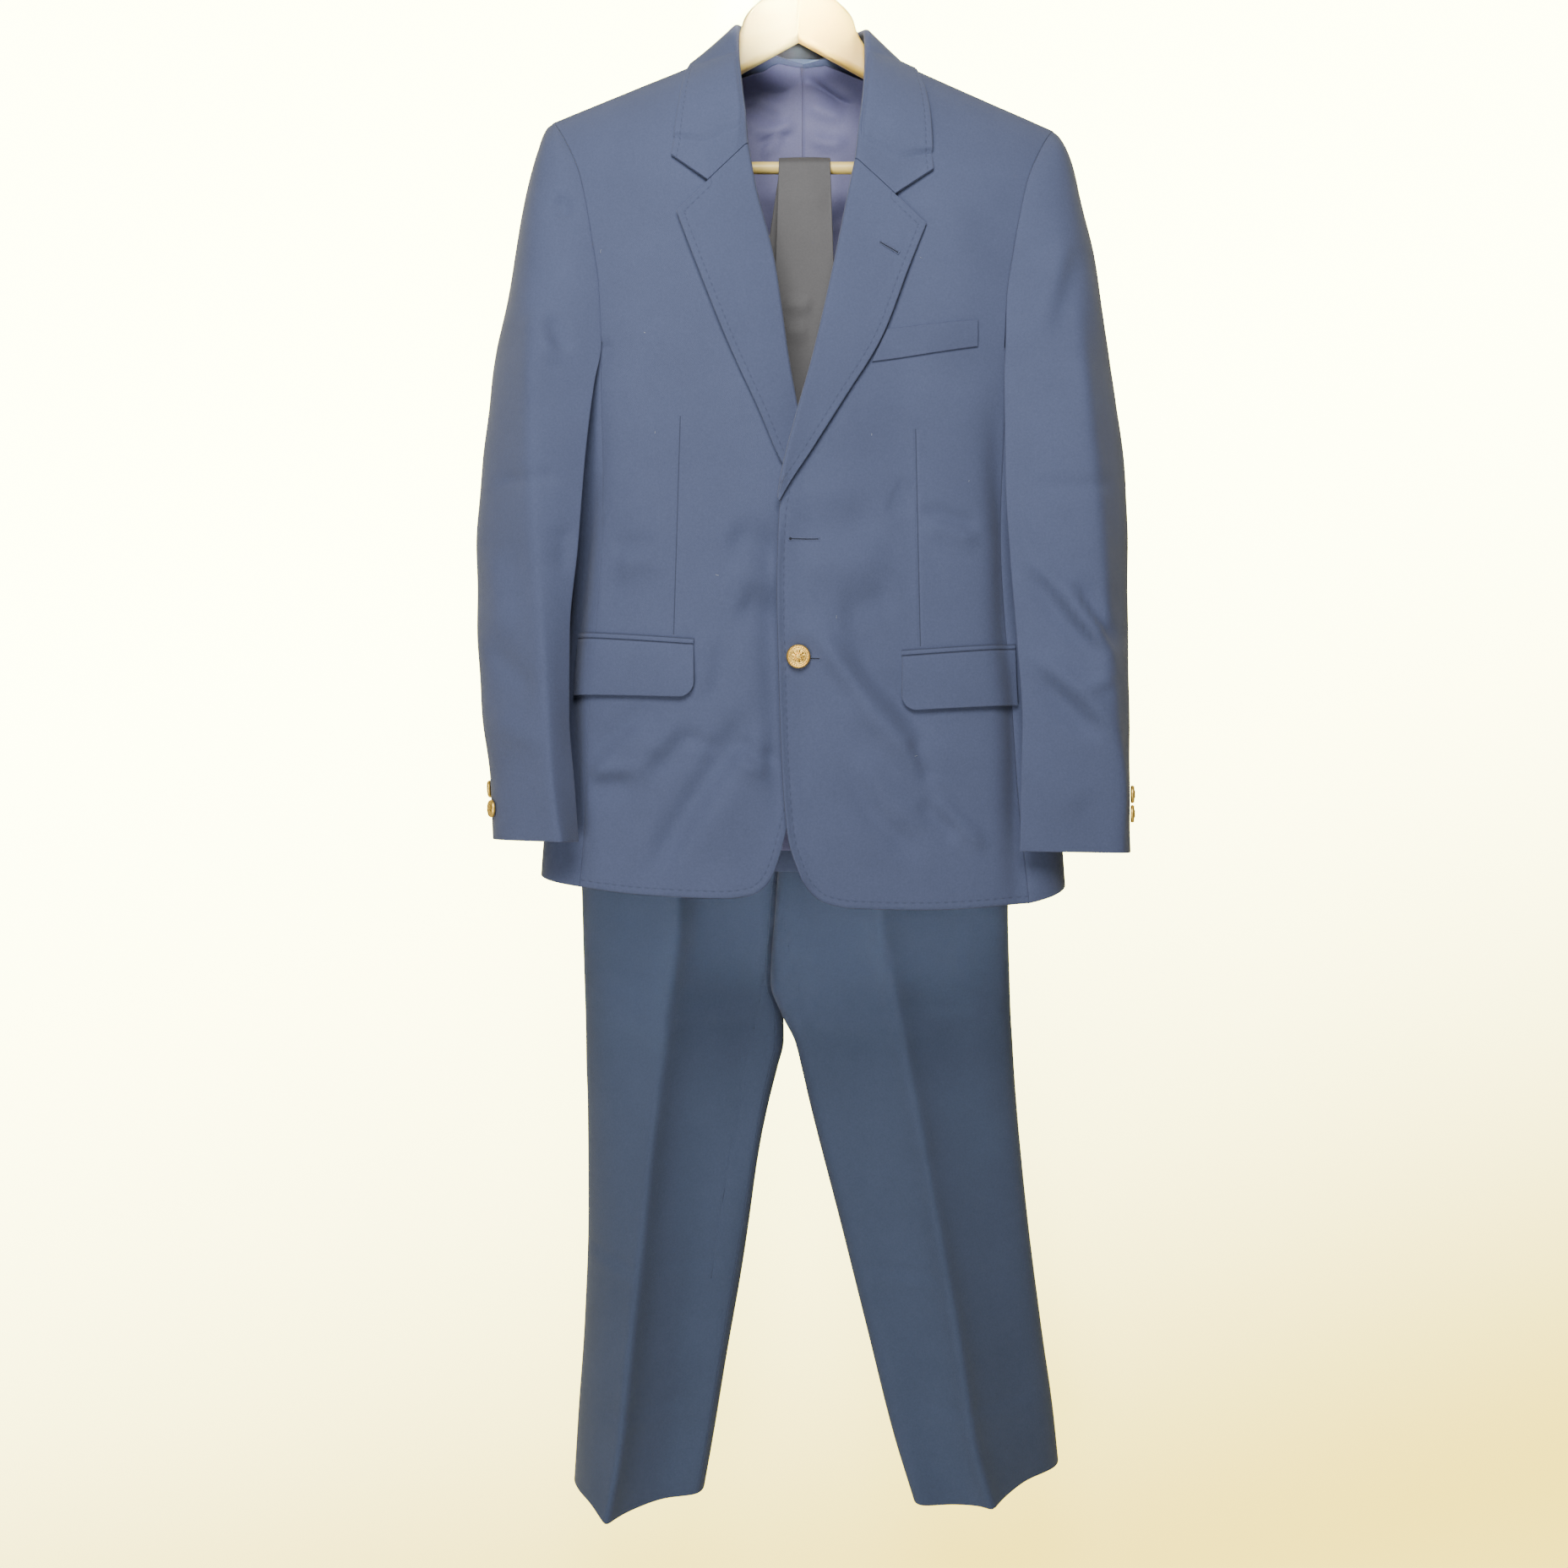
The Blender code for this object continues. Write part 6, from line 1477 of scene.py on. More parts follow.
def patchPiece(name, corners, size, which, cloth, dropAt=None, gap=0.4, bulge=0.0, hang=0.0):
    # A piece laid on the front, from its four corners in x and z: top inner, top outer, low outer, low inner.
    # bulge fills out its middle, hang moves its low edge off the cloth.
    topIn, topOut, lowOut, lowIn = [np.array(corner) * mm for corner in corners]
    columns, rows = size
    s = (bunched(columns, 1.9, 1.0) if dropAt else np.linspace(0, 1, columns))[:, None]
    top, low = topIn + (topOut - topIn) * s, lowIn + (lowOut - lowIn) * s
    if dropAt is not None:
        low[:, 1] += dropAt(np.abs(low[:, 0] - lowIn[0]))
    t = np.linspace(0, 1, rows)[:, None, None]
    flat = top[None] * (1 - t) + low[None] * t
    down = np.linspace(0, 1, rows)[:, None]
    lift = bulge * np.sin(np.pi * down) + hang * down ** 0.7
    sway = ripple(flat[..., 0], flat[..., 1], len(name), 60 * mm) * 0.3 * mm * down if dropAt else 0
    outer, normal = clothPoint(flat[..., 0], flat[..., 1], "front", which, gap * mm + cloth + lift + sway)
    fromTop = np.linalg.norm(top - low, axis=-1) * down - 0.5 * mm
    # topLine: a dark line painted along the piece's top, for its seam and a painted shadow where it meets the
    # front.
    marks = {"topLine": markPlaces(fromTop, 0 * fromTop + 0.5)}
    surface = woolPlain if name == "breast_welt" else woolPocket
    made = clothShell("pocket_" + name, outer, normal, cloth, surface, rim=0.6 * mm, marks=marks)
    # A jet shows less than a centimetre, and is passed no held value.
    finishPiece(made, [name], None if name.startswith("jet") else "laid")
    return made


patchPiece("flap_right", ((-88, -648.2), (-193, -640.4), (-194, -689.6), (-87.4, -692.6)), (64, 28), "right",
           1.6 * mm, roundedCorner, hang=2.6 * mm)
patchPiece("jet_right", ((-87.6, -643.4), (-193, -635.6), (-193, -640.2), (-87.6, -648)), (60, 10), "right",
           1.5 * mm, bulge=0.3 * mm)
patchPiece("flap_left", ((86, -658), (187, -650.2), (188, -698.4), (86, -704)), (64, 28), "left", 1.6 * mm,
           roundedCorner, hang=2.6 * mm)
patchPiece("jet_left", ((85.4, -653.2), (187, -646), (187, -650), (85.4, -657.8)), (60, 10), "left", 1.5 * mm,
           bulge=0.3 * mm)
patchPiece("breast_welt", ((72.8, -386.8), (149.4, -377.1), (149.4, -399), (60.2, -414.6)), (60, 20), "left",
           1.5 * mm, gap=0.2, bulge=0.3 * mm)


def ringQuads(count, sides):
    # The faces between count rings of points.
    index = np.arange(count * sides).reshape(count, sides)
    after = np.roll(index, -1, 1)
    return np.stack([index[:-1], index[1:], after[1:], after[:-1]], -1).reshape(-1, 4)


def turned(name, radii, heights, centre, facing, surface, segments, relief):
    # A turned piece from radii and heights, its height along facing; relief adds to the height.
    facing = unit(np.asarray(facing, float))
    side = unit(np.cross(facing, (0, 0, 1)))
    up = np.cross(side, facing)
    angles = np.linspace(0, 2 * math.pi, segments, endpoint=False)
    radius, height = np.meshgrid(radii, angles, indexing="ij")[0], np.asarray(heights)[:, None] + 0 * angles
    height = height + relief(radius, angles[None, :])
    ring = (np.asarray(centre) + facing * height[..., None]
            + radius[..., None] * (side * np.cos(angles)[None, :, None] + up * np.sin(angles)[None, :, None]))
    made = makeMesh(name, ring.reshape(-1, 3), ringQuads(*ring.shape[:2]), surface)
    dropLoose(made)
    return made


def domedFace(size, facing):
    # A dome with a rim, a ring of beads and a plain rosette.
    def relief(radius, angle):
        r = radius / size
        rim = np.exp(-((r - 0.9) / 0.045) ** 2) * 0.1
        beads = np.exp(-((r - 0.76) / 0.045) ** 2) * 0.08 * (0.5 + 0.5 * np.cos(angle * 24))
        lobes = 1 + 0.9 * np.cos(angle * 8) * smoothStep(0.1, 0.35, r)
        petals = np.clip(1 - r / 0.55, 0, 1) ** 0.5 * 0.1 * lobes
        ring = np.exp(-((r - 0.6) / 0.03) ** 2) * 0.05
        front = (radius < size * 0.985) & facing
        return np.where(front, (rim + beads + petals + ring) * size, 0)
    return relief


def button(name, centre, facing, size):
    thick = 0.36 * size
    back = np.array([0, 0.6, 0.85, 0.97, 1.0, 1.0, 0.985]) * size
    backHeight = np.array([0, 0, 0.04, 0.16, 0.4, 0.6, 0.8]) * thick
    front = np.concatenate([np.linspace(0.97, 0.7, 16), np.linspace(0.68, 0, 26)]) * size
    frontHeight = thick * (0.82 + 0.3 * (1 - (front / size) ** 2))
    radii, heights = np.concatenate([back, front]), np.concatenate([backHeight, frontHeight])
    isFront = np.concatenate([np.zeros(len(back), bool), np.ones(len(front), bool)])[:, None]
    made = turned("gold_" + name, radii, heights, centre, facing, gold, 84, domedFace(size, isFront))
    finishPiece(made, [name])
    return made


def buttonhole(name, which, start, end, eye, lift=0.0):
    # A worked slit: close stitches down both sides, a bar at its end and, for eye, a round start.
    start, end = np.array(start) * mm, np.array(end) * mm
    length = np.linalg.norm(end - start)
    way = (end - start) / length
    side = np.array([-way[1], way[0]])
    sewn = []
    for k in range(int(length / (0.62 * mm))):
        place = start + way * (k + 0.5) * 0.62 * mm
        for turn in (-1, 1):
            sewn.append((place + side * turn * 0.35 * mm, place + side * turn * 1.45 * mm))
    for k in np.linspace(-1.4, 1.4, 6):
        sewn.append((end + side * k * mm, end + side * k * mm + way * 1.2 * mm))
    if eye:
        for angle in np.linspace(0.6, 2 * math.pi - 0.6, 15):
            out = way * math.cos(angle) + side * math.sin(angle)
            sewn.append((start - way * 1.1 * mm + out * 1.1 * mm, start - way * 1.1 * mm + out * 2.2 * mm))
    points, quads = [], []
    angles = np.linspace(0, math.pi, 6)
    for a, b in sewn:
        out = (b - a) / np.linalg.norm(b - a)
        broad = np.array([-out[1], out[0]])
        base = len(points)
        for t, size in ((0, 0.1), (0.12, 0.75), (0.5, 1), (0.88, 0.75), (1, 0.1)):
            for angle in angles:
                flat = a + (b - a) * t + broad * math.cos(angle) * 0.29 * mm * size
                points.append((*flat, 0.4 * mm * math.sin(angle) * size))
        quads += [(base + 6 * i + j, base + 6 * i + j + 1, base + 6 * i + j + 7, base + 6 * i + j + 6)
                  for i in range(4) for j in range(5)]
    points = np.array(points)
    sewnPoints, _ = clothPoint(points[:, 0], points[:, 1], "front", which, lift + 0.1 * mm + points[:, 2])
    made = makeMesh(name, sewnPoints, np.array(quads), threadPlain, points[:, :2])
    finishPiece(made, [])
    # The slit between the stitches: a near-black strip painted in for the shade inside the cut.
    pairs = 12
    places = [start + way * t * length + side * turn * 0.4 * mm
              for t in np.linspace(0, 1, pairs) for turn in (-1, 1)]
    if eye:
        places += [start - way * 1.1 * mm + (way * math.cos(a) + side * math.sin(a)) * 1.25 * mm * size
                   for a in np.linspace(0, 2 * math.pi, 17) for size in (0.02, 1)]
    places = np.array(places)
    slit, _ = clothPoint(places[:, 0], places[:, 1], "front", which, lift + 0.16 * mm)
    starts = [*range(0, 2 * pairs - 2, 2), *range(2 * pairs, len(places) - 2, 2)]
    strips = [(k, k + 1, k + 3, k + 2) for k in starts]
    made = makeMesh(name + "_slit", slit, np.array(strips), slitShade, places)
    finishPiece(made, [])


buttonhole("buttonhole_upper", "left", (-6, -562), (16, -562), True)
buttonhole("buttonhole_lower", "left", (-5, -660.5), (17, -661), True)
buttonhole("buttonhole_lapel", "left", (67, -314), (82.3, -323), False, lift=4.8 * mm)
point, facing = clothPoint(-0.6 * mm, -659 * mm, "front", "left", 0.7 * mm)
button("button_front_lower", point, facing, 10 * mm)
point, facing = bodyPoint(0.0, -565 * mm, "front", "right", 0.5 * mm)
button("button_front_upper", point, facing, 10 * mm)


def onSleeve(which, target):
    # The point of the upper sleeve nearest to target, and the way the cloth faces there.
    grid, normal = sleeves[which]
    distance = np.linalg.norm(grid - np.array(target) * mm, axis=-1)
    place = np.unravel_index(distance.argmin(), distance.shape)
    return grid[place], normal[place]


for which, label, target in (("left", "low", (281, -43, -788.7)), ("left", "high", (281, -43, -772.9)),
                             ("right", "low", (-254.5, -45, -785)), ("right", "high", (-264, -17, -769))):
    point, facing = onSleeve(which, target)
    button("cuff_button_%s_%s" % (which, label), point + facing * 0.5 * mm, facing, 7.5 * mm)
print("pockets and buttons made")


# trousers

crotchLevel = -755 * mm
# The hem from the side seam by the crease, the inner edge and the back crease to the side seam again.
hemLevels = {"right": (-1411, -1412.5, -1423, -1417.5, -1415, -1411, -1411),
             "left": (-1403, -1404.5, -1413.5, -1414, -1413, -1405, -1403)}
trouserFolds = {
    "right": (
        (-0.6, 5, ((-205, -985), (-118, -988), (-10, -986))),
        (-1.5, 3.5, ((-215, -1180), (-187, -1190), (-166, -1198), (-144, -1205), (-128, -1206))),
        (1.2, 7, ((-210, -1192), (-180, -1202), (-150, -1213), (-130, -1216))),
        (-1.1, 3.5, ((-132, -1203), (-105, -1205), (-60, -1207))),
        (0.8, 7, ((-132, -1213), (-100, -1214), (-58, -1216))),
        (-0.9, 4, ((-205, -1330), (-140, -1332), (-70, -1328))),
        (0.7, 8, ((-205, -1340), (-140, -1342), (-76, -1338))),
        (1.8, 18, ((-60, -880), (-66, -1000), (-74, -1130))),
        (-2.0, 16, ((-40, -920), (-48, -1040), (-62, -1160))),
        (1.6, 18, ((-170, -900), (-176, -1000), (-176, -1100)))),
    "left": (
        (-1.2, 4, ((66, -985), (76, -988), (92, -990))), (1.0, 6, ((62, -995), (78, -999), (96, -1000))),
        (0.8, 4, ((110, -974), (140, -970), (176, -962))),
        (-0.7, 6, ((108, -984), (140, -980), (180, -974))),
        (-1.3, 3.5, ((52, -1208), (95, -1212), (141, -1215))),
        (1.0, 7, ((54, -1219), (95, -1222), (140, -1225))),
        (-0.6, 4, ((138, -1214), (180, -1216), (222, -1214))),
        (-0.9, 4, ((84, -1327), (150, -1331), (236, -1328))),
        (0.7, 8, ((86, -1337), (150, -1341), (236, -1338))),
        (2.0, 16, ((30, -880), (42, -1000), (62, -1130))), (-2.2, 14, ((8, -920), (22, -1030), (44, -1130))),
        (1.6, 18, ((160, -900), (168, -1000), (186, -1100))),
        (-1.6, 14, ((108, -1090), (118, -1130), (126, -1170))))}


# How far each front panel sinks beside the crease, outer and inner, and over what share of its width.
creaseSinks = {"right": ((-5 * mm, 0.25), (21 * mm, 0.13)), "left": ((10 * mm, 0.07), (12 * mm, 0.09))}
# Where the inner seams show on the fronts.
inseams = {
    "right": (
        (-23.5, -915), (-34, -960), (-42, -1000), (-53, -1058), (-62, -1113), (-74, -1174), (-80, -1223)),
    "left": (
        (-15, -884), (-7, -922), (2, -961))}


def legPoints(rows, levels, places, sink):
    # Points round a leg; places run 0 side seam, 1 crease, 2 inner edge, 3 back crease.
    def corner(x, y):
        return np.stack([at(rows, x, levels), at(rows, y, levels)], -1)

    out, fold, back = corner("outX", "outY"), corner("foldX", "foldY"), corner("backX", "backY")
    inFront, inBack = corner("inX", "inFrontY"), corner("inX", "inBackY")
    leg = np.clip((-640 * mm - levels) / (90 * mm), 0, 1)
    inward = np.sign(inFront[..., 0] - out[..., 0])
    frontWay = unit(np.stack([inward * (1 - leg), leg], -1))
    backWay = unit(np.stack([-inward * (1 - leg), leg], -1))
    away = np.array((0.0, -1.0))
    fromHip = smoothStep(-560 * mm, -800 * mm, levels)[..., None]
    spans = [(out, fold, away, None), (fold, inFront, None, frontWay), (inBack, back, backWay, None),
             (back, out, None, away)]
    flat = np.zeros(places.shape + (2,))
    for k, (start, end, startWay, endWay) in enumerate(spans):
        chord = end - start
        length = np.linalg.norm(chord, axis=-1, keepdims=True) * 0.9
        a = chord if startWay is None else startWay * length
        b = chord if endWay is None else endWay * length
        t = (places - k)[..., None]
        value = cubic(t, start, end, a, b)
        if k < 2:
            # Beside the pressed crease the cloth falls away sharply, then lies flatter.
            depth, reach = sink[k]
            off = 1 - t if k == 0 else t
            fallen = away * depth * fromHip * (1 - np.exp(-off / reach))
            value = value - fallen * (1 - smoothStep(0.36, 0.92, off))
        here = (places >= k) & ((places < k + 1) | (k == 3))
        flat = np.where(here[..., None], value, flat)
    return flat


def trouserLeg(which, rows, seamShift):
    # The front and back panels of a leg; the inner seam moves round by seamShift below the crotch.
    levels = np.linspace(-491 * mm, -1411 * mm, 190)[:, None]
    shift = seamShift * smoothStep(755 * mm, 880 * mm, -levels)
    s = np.linspace(0, 1, 25)[None, :]
    frontPlaces = np.concatenate([0 * shift + s[:, :-1], 1 + (1 + shift - 1e-6) * s], 1)
    start = np.where(shift != 0, 2.0001 + shift, 2.12)
    backPlaces = np.concatenate([2 + shift, start + (3 - start) * s[:, 1:-1], 0 * shift + 3 + s], 1)
    centre = np.stack([(at(rows, "outX", levels) + at(rows, "inX", levels)) / 2,
                       (at(rows, "foldY", levels) + at(rows, "backY", levels)) / 2, levels], -1)
    parts = {}
    for side, places in (("front", frontPlaces), ("back", backPlaces)):
        flat = legPoints(rows, levels + 0 * places, places, creaseSinks[which])
        hem = curveThrough((0, 0.55, 1, 1.5, 2, 3, 4), hemLevels[which], np.clip(places, 0, 4)) * mm
        lower = np.clip((-1300 * mm - levels) / (111 * mm), 0, 1)
        z = levels + (hem + 1411 * mm) * lower
        grid = np.concatenate([flat, z[..., None]], -1)
        grid = smoothed(grid, 2)
        normal = gridNormals(grid, grid - centre)
        fromSide = smoothStep(0, 5, np.minimum(np.arange(places.shape[1]), np.arange(places.shape[1])[::-1]))
        fromTop = smoothStep(-500 * mm, -560 * mm, levels)
        seed = {"left": 61, "right": 65}[which] + (side == "back")
        height = foldHeight(grid[..., 0], z, trouserFolds[which]) * (1 if side == "front" else 0.8)
        height = height + ripple(grid[..., 0], z, seed, 170 * mm) * 0.9 * mm
        grid = grid + normal * (height * fromSide[None, :] * fromTop)[..., None]
        parts[side] = [grid, gridNormals(grid, grid - centre)]
    front, back = parts["front"], parts["back"]
    joined = int((levels[:, 0] > crotchLevel).sum())

    def share(frontColumn, backColumn, fromRow):
        both = unit(front[1][fromRow:, frontColumn] + back[1][fromRow:, backColumn])
        front[1][fromRow:, frontColumn], back[1][fromRow:, backColumn] = both, both

    share(0, -1, 0)
    share(-1, 0, joined)
    for part in (front, back):
        column = -1 if part is front else 0
        part[1][:joined, column] = unit(part[1][:joined, column] * (0, 1, 1))
    for side, (grid, normal) in parts.items():
        away, place = nearLine(grid[..., 0], grid[..., 2], np.array(inseams[which]) * mm)
        marks = {"inseam": markPlaces(away, place)} if side == "front" else None
        made = clothShell("leg_%s_%s" % (side, which), pulledIn(grid), normal, clothTrouser,
                          trouserSeamed if marks else trouserWool, rim=0.7 * mm, marks=marks)
        finishPiece(made, ["trouser_%s_%s" % (side, which)], "hung")


def waistband(which):
    sign = signs[which]
    front, back, half = 94 * mm, 102 * mm, 190 * mm
    radius, middle = (back - front) / 2, (back + front) / 2
    angles = np.linspace(0, math.pi, 14)
    flat = [(x, front) for x in np.linspace(0.1 * mm, half - radius, 50)[:-1]]
    flat += [(half - radius + radius * math.sin(a), middle - radius * math.cos(a)) for a in angles]
    flat += [(x, back) for x in np.linspace(half - radius, 0.1 * mm, 50)[1:]]
    inward = [(0, -1)] * 49 + [(math.sin(a), -math.cos(a)) for a in angles] + [(0, 1)] * 49
    levels = np.linspace(-454 * mm, -490.5 * mm, 9)
    outer = np.array([[(sign * x, y, z) for x, y in flat] for z in levels])
    normal = np.broadcast_to(np.array([(sign * x, y, 0) for x, y in inward], float), outer.shape).copy()
    made = clothShell("waist_" + which, outer, normal, 2.6 * mm, trouserWool, rim=0.8 * mm)
    finishPiece(made, ["waistband_" + which], "hung")


for which, rows, shift in (("right", legRight, -0.2), ("left", legLeft, 0.0)):
    trouserLeg(which, rows, shift)
    waistband(which)
print("trousers made")


# necktie


tieFolds = (
    (1.6, 5, ((-16, -350), (0, -352), (14, -348))), (1.2, 7, ((-14, -372), (0, -374), (10, -372))),
    (0.8, 8, ((-18, -262), (6, -258), (28, -264))))


def necktie():
    # Over the bar: the wide end in front, the narrow end behind and askew. Drops are in millimetres.
    reach = barRadius + 0.5 * mm + clothTie / 2
    middle = 5.3 * mm  # where it crosses the bar
    atBar = 22.4 * mm  # half its width there
    wideTip, wideLow = 40, -782 * mm  # height of the wide end's point, and its lowest level
    narrowTip, narrowLong = 22, 545  # height of the narrow end's point, and the end's length
    across = np.linspace(-1, 1, 33)
    across = np.sign(across) * (1 - (1 - np.abs(across)) ** 1.3)
    rows = []

    def addRow(centre, half, y, z, point=0.0):
        rows.append([(centre + u * half, y, z + point * abs(u)) for u in across])

    for drop in np.concatenate([np.linspace(0, wideTip, 26), np.linspace(44, 542, 92)]):
        z = wideLow + drop * mm
        half = min(atBar + (barHeight - z) * 0.034, 39 * mm)
        y = -reach - 1.2 * mm * float(smoothStep(230 * mm, 300 * mm, -z))
        addRow(middle, half, y, z, half * max(0.0, 1 - drop / wideTip))
    for a in np.linspace(0, math.pi, 19):
        addRow(middle, atBar, -reach * math.cos(a), barHeight + reach * math.sin(a))
    tipDrops = np.linspace(narrowLong - narrowTip, narrowLong, 10)
    for drop in np.concatenate([np.linspace(8, 520, 90), tipDrops]):
        askew = 0.155 * min(drop, 150) + 0.03 * max(drop - 150, 0)
        half = max(22 - drop * 0.006, 19) * mm
        addRow(middle - askew * mm, half, reach + 1 * mm * float(smoothStep(0, 60, drop)),
               barHeight - drop * mm, half * max(0.0, 1 - (narrowLong - drop) / narrowTip))
    grid = np.array(rows, float)
    normal = gridNormals(grid, np.zeros(3))
    if normal[0, 2, 1] > 0:
        normal = -normal
    # The folded silk is fuller along the middle of its width.
    waves = ripple(grid[..., 0], grid[..., 2] * 0.6, 71, 60 * mm)
    soft = (0.5 * (1 - across[None, :] ** 2) + 0.35 * waves) * mm
    soft = soft + foldHeight(grid[..., 0], grid[..., 2], tieFolds) * (grid[..., 1] < -barRadius)
    grid = grid + normal * np.maximum(soft, 0)[..., None]
    made = clothShell("tie", grid + normal * clothTie / 2, normal, clothTie, tieSilk, rim=1.2 * mm)
    finishPiece(made, ["necktie"], "draped")


necktie()
print("necktie made")


# hangers


def tubeMesh(name, path, radius, surface, sides):
    # A rod along a path of points with rounded ends, each given as how far out and how wide it is.
    path = np.asarray(path, float)
    ways = unit(np.gradient(path, axis=0))
    caps = np.array([(0.0, 1.0), (0.5, 0.87), (0.87, 0.5), (1.0, 0.02)])
    first = path[0] - ways[0] * radius * caps[::-1, :1]
    last = path[-1] + ways[-1] * radius * caps[:, :1]
    path = np.concatenate([first, path[1:-1], last])
    radii = np.concatenate([radius * caps[::-1, 1], np.full(len(ways) - 2, radius), radius * caps[:, 1]])
    ways = np.concatenate([[ways[0]] * len(caps), ways[1:-1], [ways[-1]] * len(caps)])
    side = unit(np.cross(ways[0], (0.3, 1, 0.2)))
    angles = np.linspace(0, 2 * math.pi, sides, endpoint=False)
    rings = []
    for point, way, size in zip(path, ways, radii):
        side = unit(side - way * np.dot(side, way))
        up = np.cross(way, side)
        rings.append(point + size * (side * np.cos(angles)[:, None] + up * np.sin(angles)[:, None]))
    return ringMesh(name, np.array(rings), surface)


def ringMesh(name, rings, surface):
    # A closed mesh through rings of points, its ends closed by a flat face each.
    count, sides = rings.shape[:2]
    made = makeMesh(name, rings.reshape(-1, 3), ringQuads(count, sides), surface)
    work = bmesh.new()
    work.from_mesh(made.data)
    work.verts.ensure_lookup_table()
    work.faces.new([work.verts[k] for k in range(sides)])
    work.faces.new([work.verts[k] for k in range(count * sides - 1, (count - 1) * sides - 1, -1)])
    bmesh.ops.recalc_face_normals(work, faces=work.faces)
    work.to_mesh(made.data)
    work.free()
    made.data.shade_smooth()
    return made


def hookPath(y, stem):
    # Up the stem, round the loop from its lower right over the top to its open end.
    radius = hookInner + hookWire
    loop = [(radius * math.cos(a), y, -hookInner + radius * math.sin(a))
            for a in np.radians(np.arange(-50, 201, 12.5))]
    start = [(0, y, -50 * mm), (1.2 * mm, y, -46.5 * mm), (5.5 * mm, y, -42 * mm)]
    return stem + start + loop


boardTable = table("x top",
    (0, -57), (17, -68), (34, -85), (44, -95), (48, -102), (50, -109.5), (58, -124), (66, -134.5), (80, -145),
    (94, -152), (130, -167.5), (165, -183), (190, -196), (203, -208), (208, -222))


def hangerBoard(which):
    sign = signs[which]
    stations = np.concatenate([np.linspace(0.1, 190, 96), np.linspace(191.5, 207, 16)]) * mm
    rings = []
    for k, x in enumerate(stations):
        top = float(curveThrough(boardTable["x"], boardTable["top"], x))
        low = -119 * mm - 0.555 * x
        if x > 170 * mm:
            low = low - (242 * mm + low) * float(smoothStep(170 * mm, 200 * mm, x))
        low = low + 16 * mm * float(smoothStep(196 * mm, 210 * mm, x))
        half = (7 + 2 * smoothStep(60 * mm, 200 * mm, x) - 2.5 * smoothStep(200 * mm, 208 * mm, x)) * mm
        soft = min(6 * mm, (top - low) / 2 - 1 * mm)
        ring = []
        corners = ((1, top - soft), (-1, top - soft), (-1, low + soft), (1, low + soft))
        for n, (side, height) in enumerate(corners):
            for a in np.radians(90 * n + np.linspace(0, 90, 8)):
                ring.append((sign * x, side * (half - soft * 0.9) + soft * 0.9 * math.cos(a),
                             height + soft * math.sin(a)))
        ring = np.array(ring)
        if k in (0, len(stations) - 1):
            middle = ring.mean(0)
            rim = ring - unit((ring - middle) * (0, 1, 1)) * (0.4 if k == 0 else 1.2) * mm
            end = [ring, rim + np.array([sign * (-0.05 if k == 0 else 0.5) * mm, 0, 0])]
            rings += end[::-1] if k == 0 else end
        else:
            rings.append(ring)
    made = ringMesh("board_" + which, np.array(rings), woodLeft if which == "left" else woodRight)
    finishPiece(made, ["hanger_board_" + which])


def bevelled(name, outline, half, centre, surface, soft):
    # A block of constant outline in y and z with rounded edges, as wide as twice half along x.
    work = bmesh.new()
    front = [work.verts.new((centre - half, y * mm, z * mm)) for y, z in outline]
    back = [work.verts.new((centre + half, y * mm, z * mm)) for y, z in outline]
    count = len(outline)
    work.faces.new(front)
    work.faces.new(back[::-1])
    for k in range(count):
        n = (k + 1) % count
        work.faces.new((front[k], back[k], back[n], front[n]))
    bmesh.ops.recalc_face_normals(work, faces=work.faces)
    bmesh.ops.bevel(work, geom=list(work.edges), offset=soft, segments=3, affect="EDGES", profile=0.5)
    mesh = bpy.data.meshes.new(name)
    work.to_mesh(mesh)
    work.free()
    mesh.materials.append(surface)
    mesh.shade_smooth()
    mesh.set_sharp_from_angle(angle=math.radians(50))
    return addObject(name, mesh)


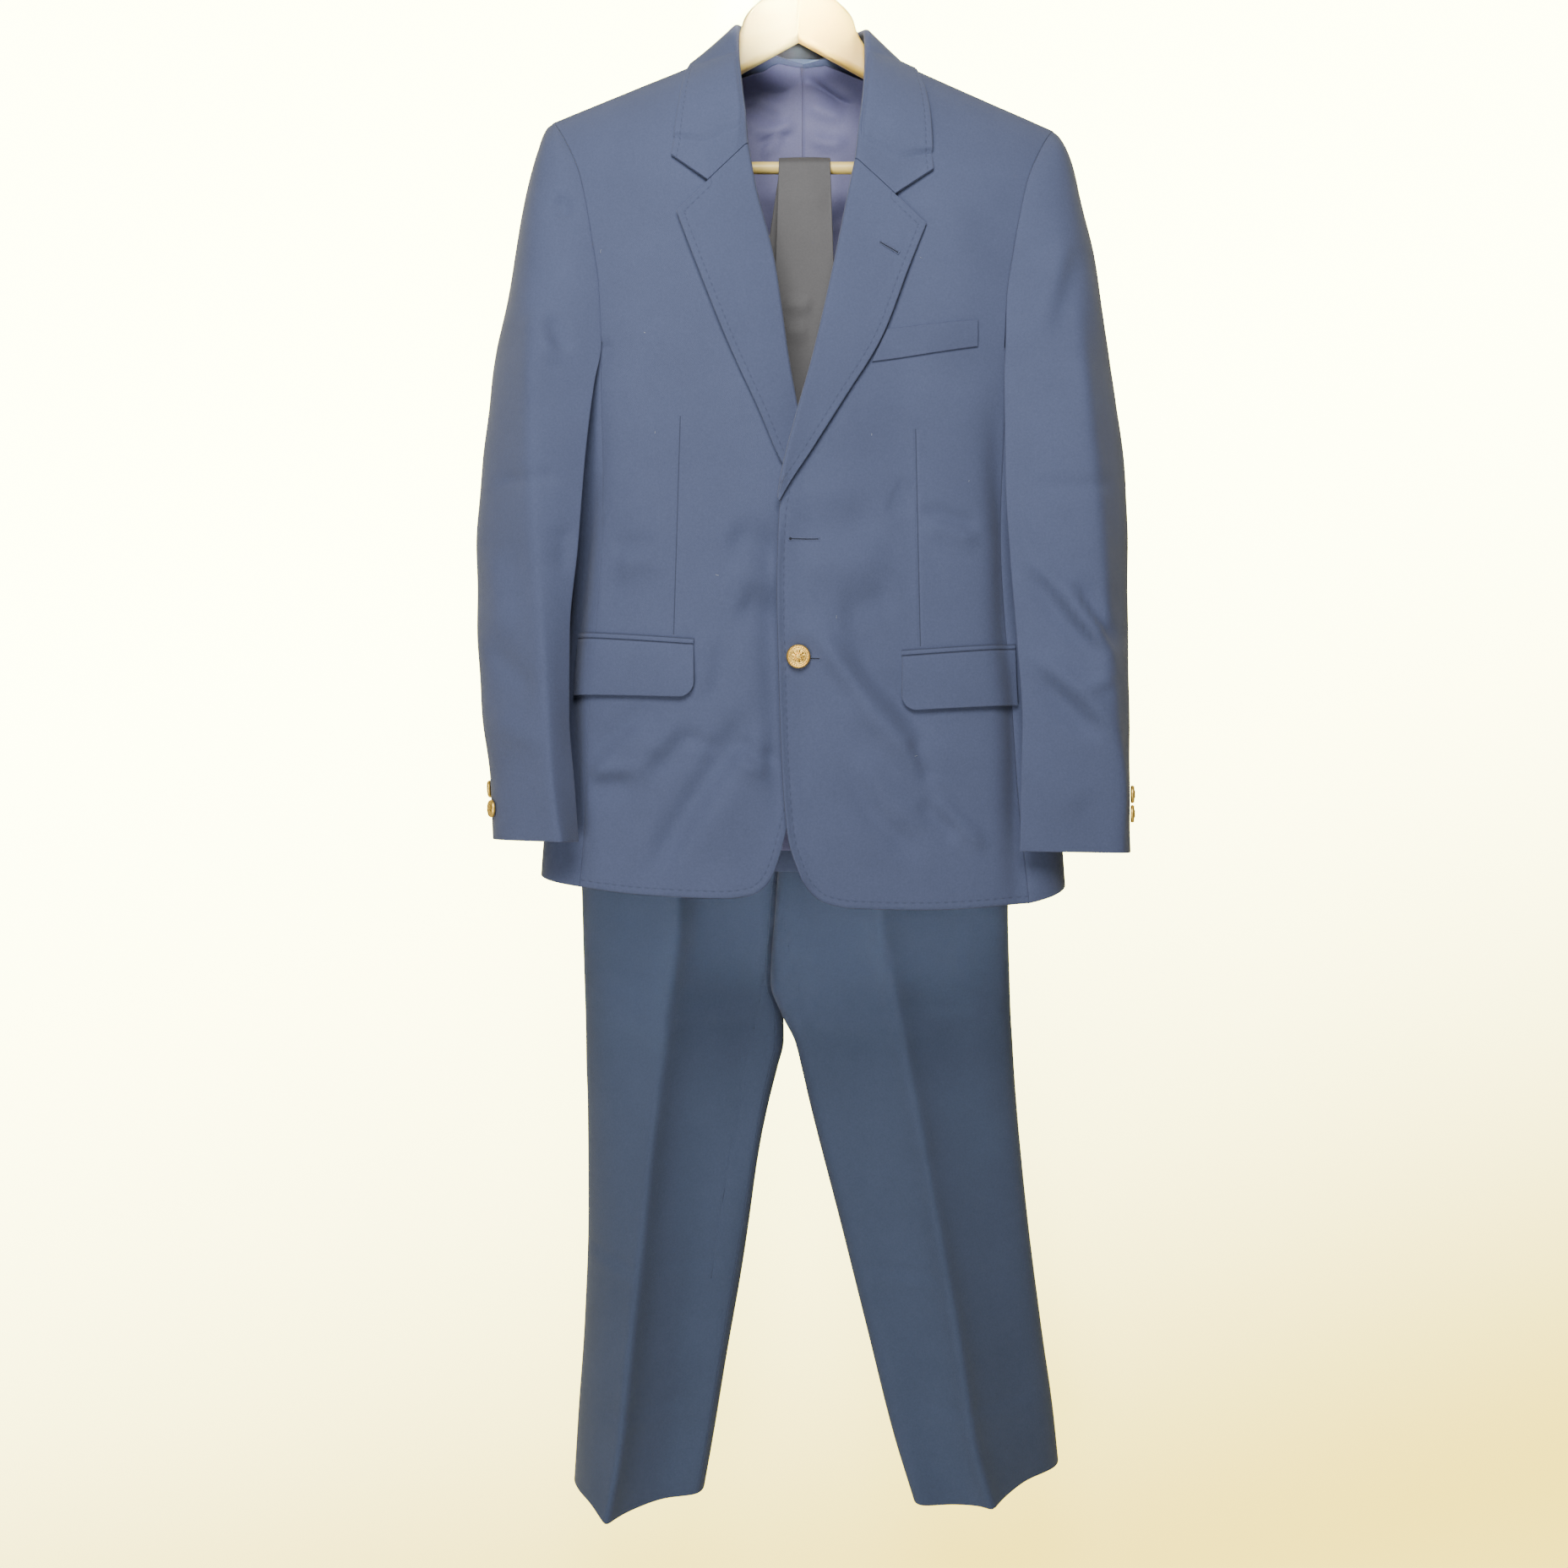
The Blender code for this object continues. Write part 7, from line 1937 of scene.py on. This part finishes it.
# a clip's outline in y and z: two jaws under a closed top
clipOutline = [(90.4, -480), (93.6, -480), (93.6, -451.5), (102.4, -451.5), (102.4, -480),
               (105.6, -480), (105.6, -434), (102, -429), (94, -429), (90.4, -434)]
for which, sign in signs.items():
    hangerBoard(which)
    made = bevelled("sprung_clip_" + which, clipOutline, 11.5 * mm, sign * 120 * mm, steel, 0.5 * mm)
    finishPiece(made, ["clip_" + which])
barLine = [(x * mm, 0, barHeight) for x in np.linspace(-199, 199, 60)]
made = tubeMesh("wooden_bar", barLine, barRadius, woodRight, 40)
finishPiece(made, ["hanger_bar"])
hookInner, hookWire = 20 * mm, 2 * mm
made = tubeMesh("main_hook", along(np.array(hookPath(0, [(0, 0, -56.6 * mm)])), 160), hookWire, steel, 24)
finishPiece(made, ["hanger_hook"])
behind = [(0, 96, -436.7), (0, 92, -425), (0, 84, -400), (0, 82, -380), (0, 82, -200), (0, 82, -110),
          (0, 79, -88), (0, 70, -74), (0, 45, -64), (0, 20, -58), (0, 9, -54)]
stem = hookPath(4.3 * mm, [tuple(v * mm for v in p) for p in behind])
made = tubeMesh("clip_stem", along(np.array(stem), 260), hookWire, steel, 24)
finishPiece(made, ["clip_hanger_stem"])
rodLine = [(x * mm, 98 * mm, -440 * mm) for x in np.linspace(-149, 149, 50)]
made = tubeMesh("clip_rod", rodLine, 3 * mm, steel, 24)
finishPiece(made, ["clip_hanger_rod"])
print("hangers made")


# lint


def lint():
    # A few pale fibres on the wool, each a short bent thread.
    draw = np.random.default_rng(7)
    spots = ((-165, -316), (44, -322), (49, -328), (103, -326), (31, -628), (-157, -683), (-120, -470),
             (142, -512), (96, -742), (-70, -590), (-128, -388), (60, -476))
    points, quads, sides = [], [], 5
    angles = np.linspace(0, 2 * math.pi, sides, endpoint=False)
    for x, z in spots:
        turn, bend, long = draw.uniform(0, 6.3), draw.uniform(-1.2, 1.2), draw.uniform(1.5, 4.5)
        which = "left" if x > 10 else "right"
        place = np.array((x, z)) * mm
        base = len(points)
        steps = 8
        for k in range(steps):
            turn += bend / steps
            place = place + np.array((math.cos(turn), math.sin(turn))) * long * mm / steps
            middle, out = clothPoint(place[0], place[1], "front", which, 0.25 * mm)
            way = np.array((math.cos(turn), 0, math.sin(turn)))
            broad = np.cross(out, way)
            size = 0.09 * mm
            for angle in angles:
                points.append(middle + size * (broad * math.cos(angle) + out * math.sin(angle)))
        for k in range(steps - 1):
            for j in range(sides):
                a, b = base + k * sides + j, base + k * sides + (j + 1) % sides
                quads.append((a, b, b + sides, a + sides))
    made = makeMesh("lint", np.array(points), np.array(quads), threadPale, np.array(points)[:, ::2])
    finishPiece(made, [])


lint()
print("lint made")
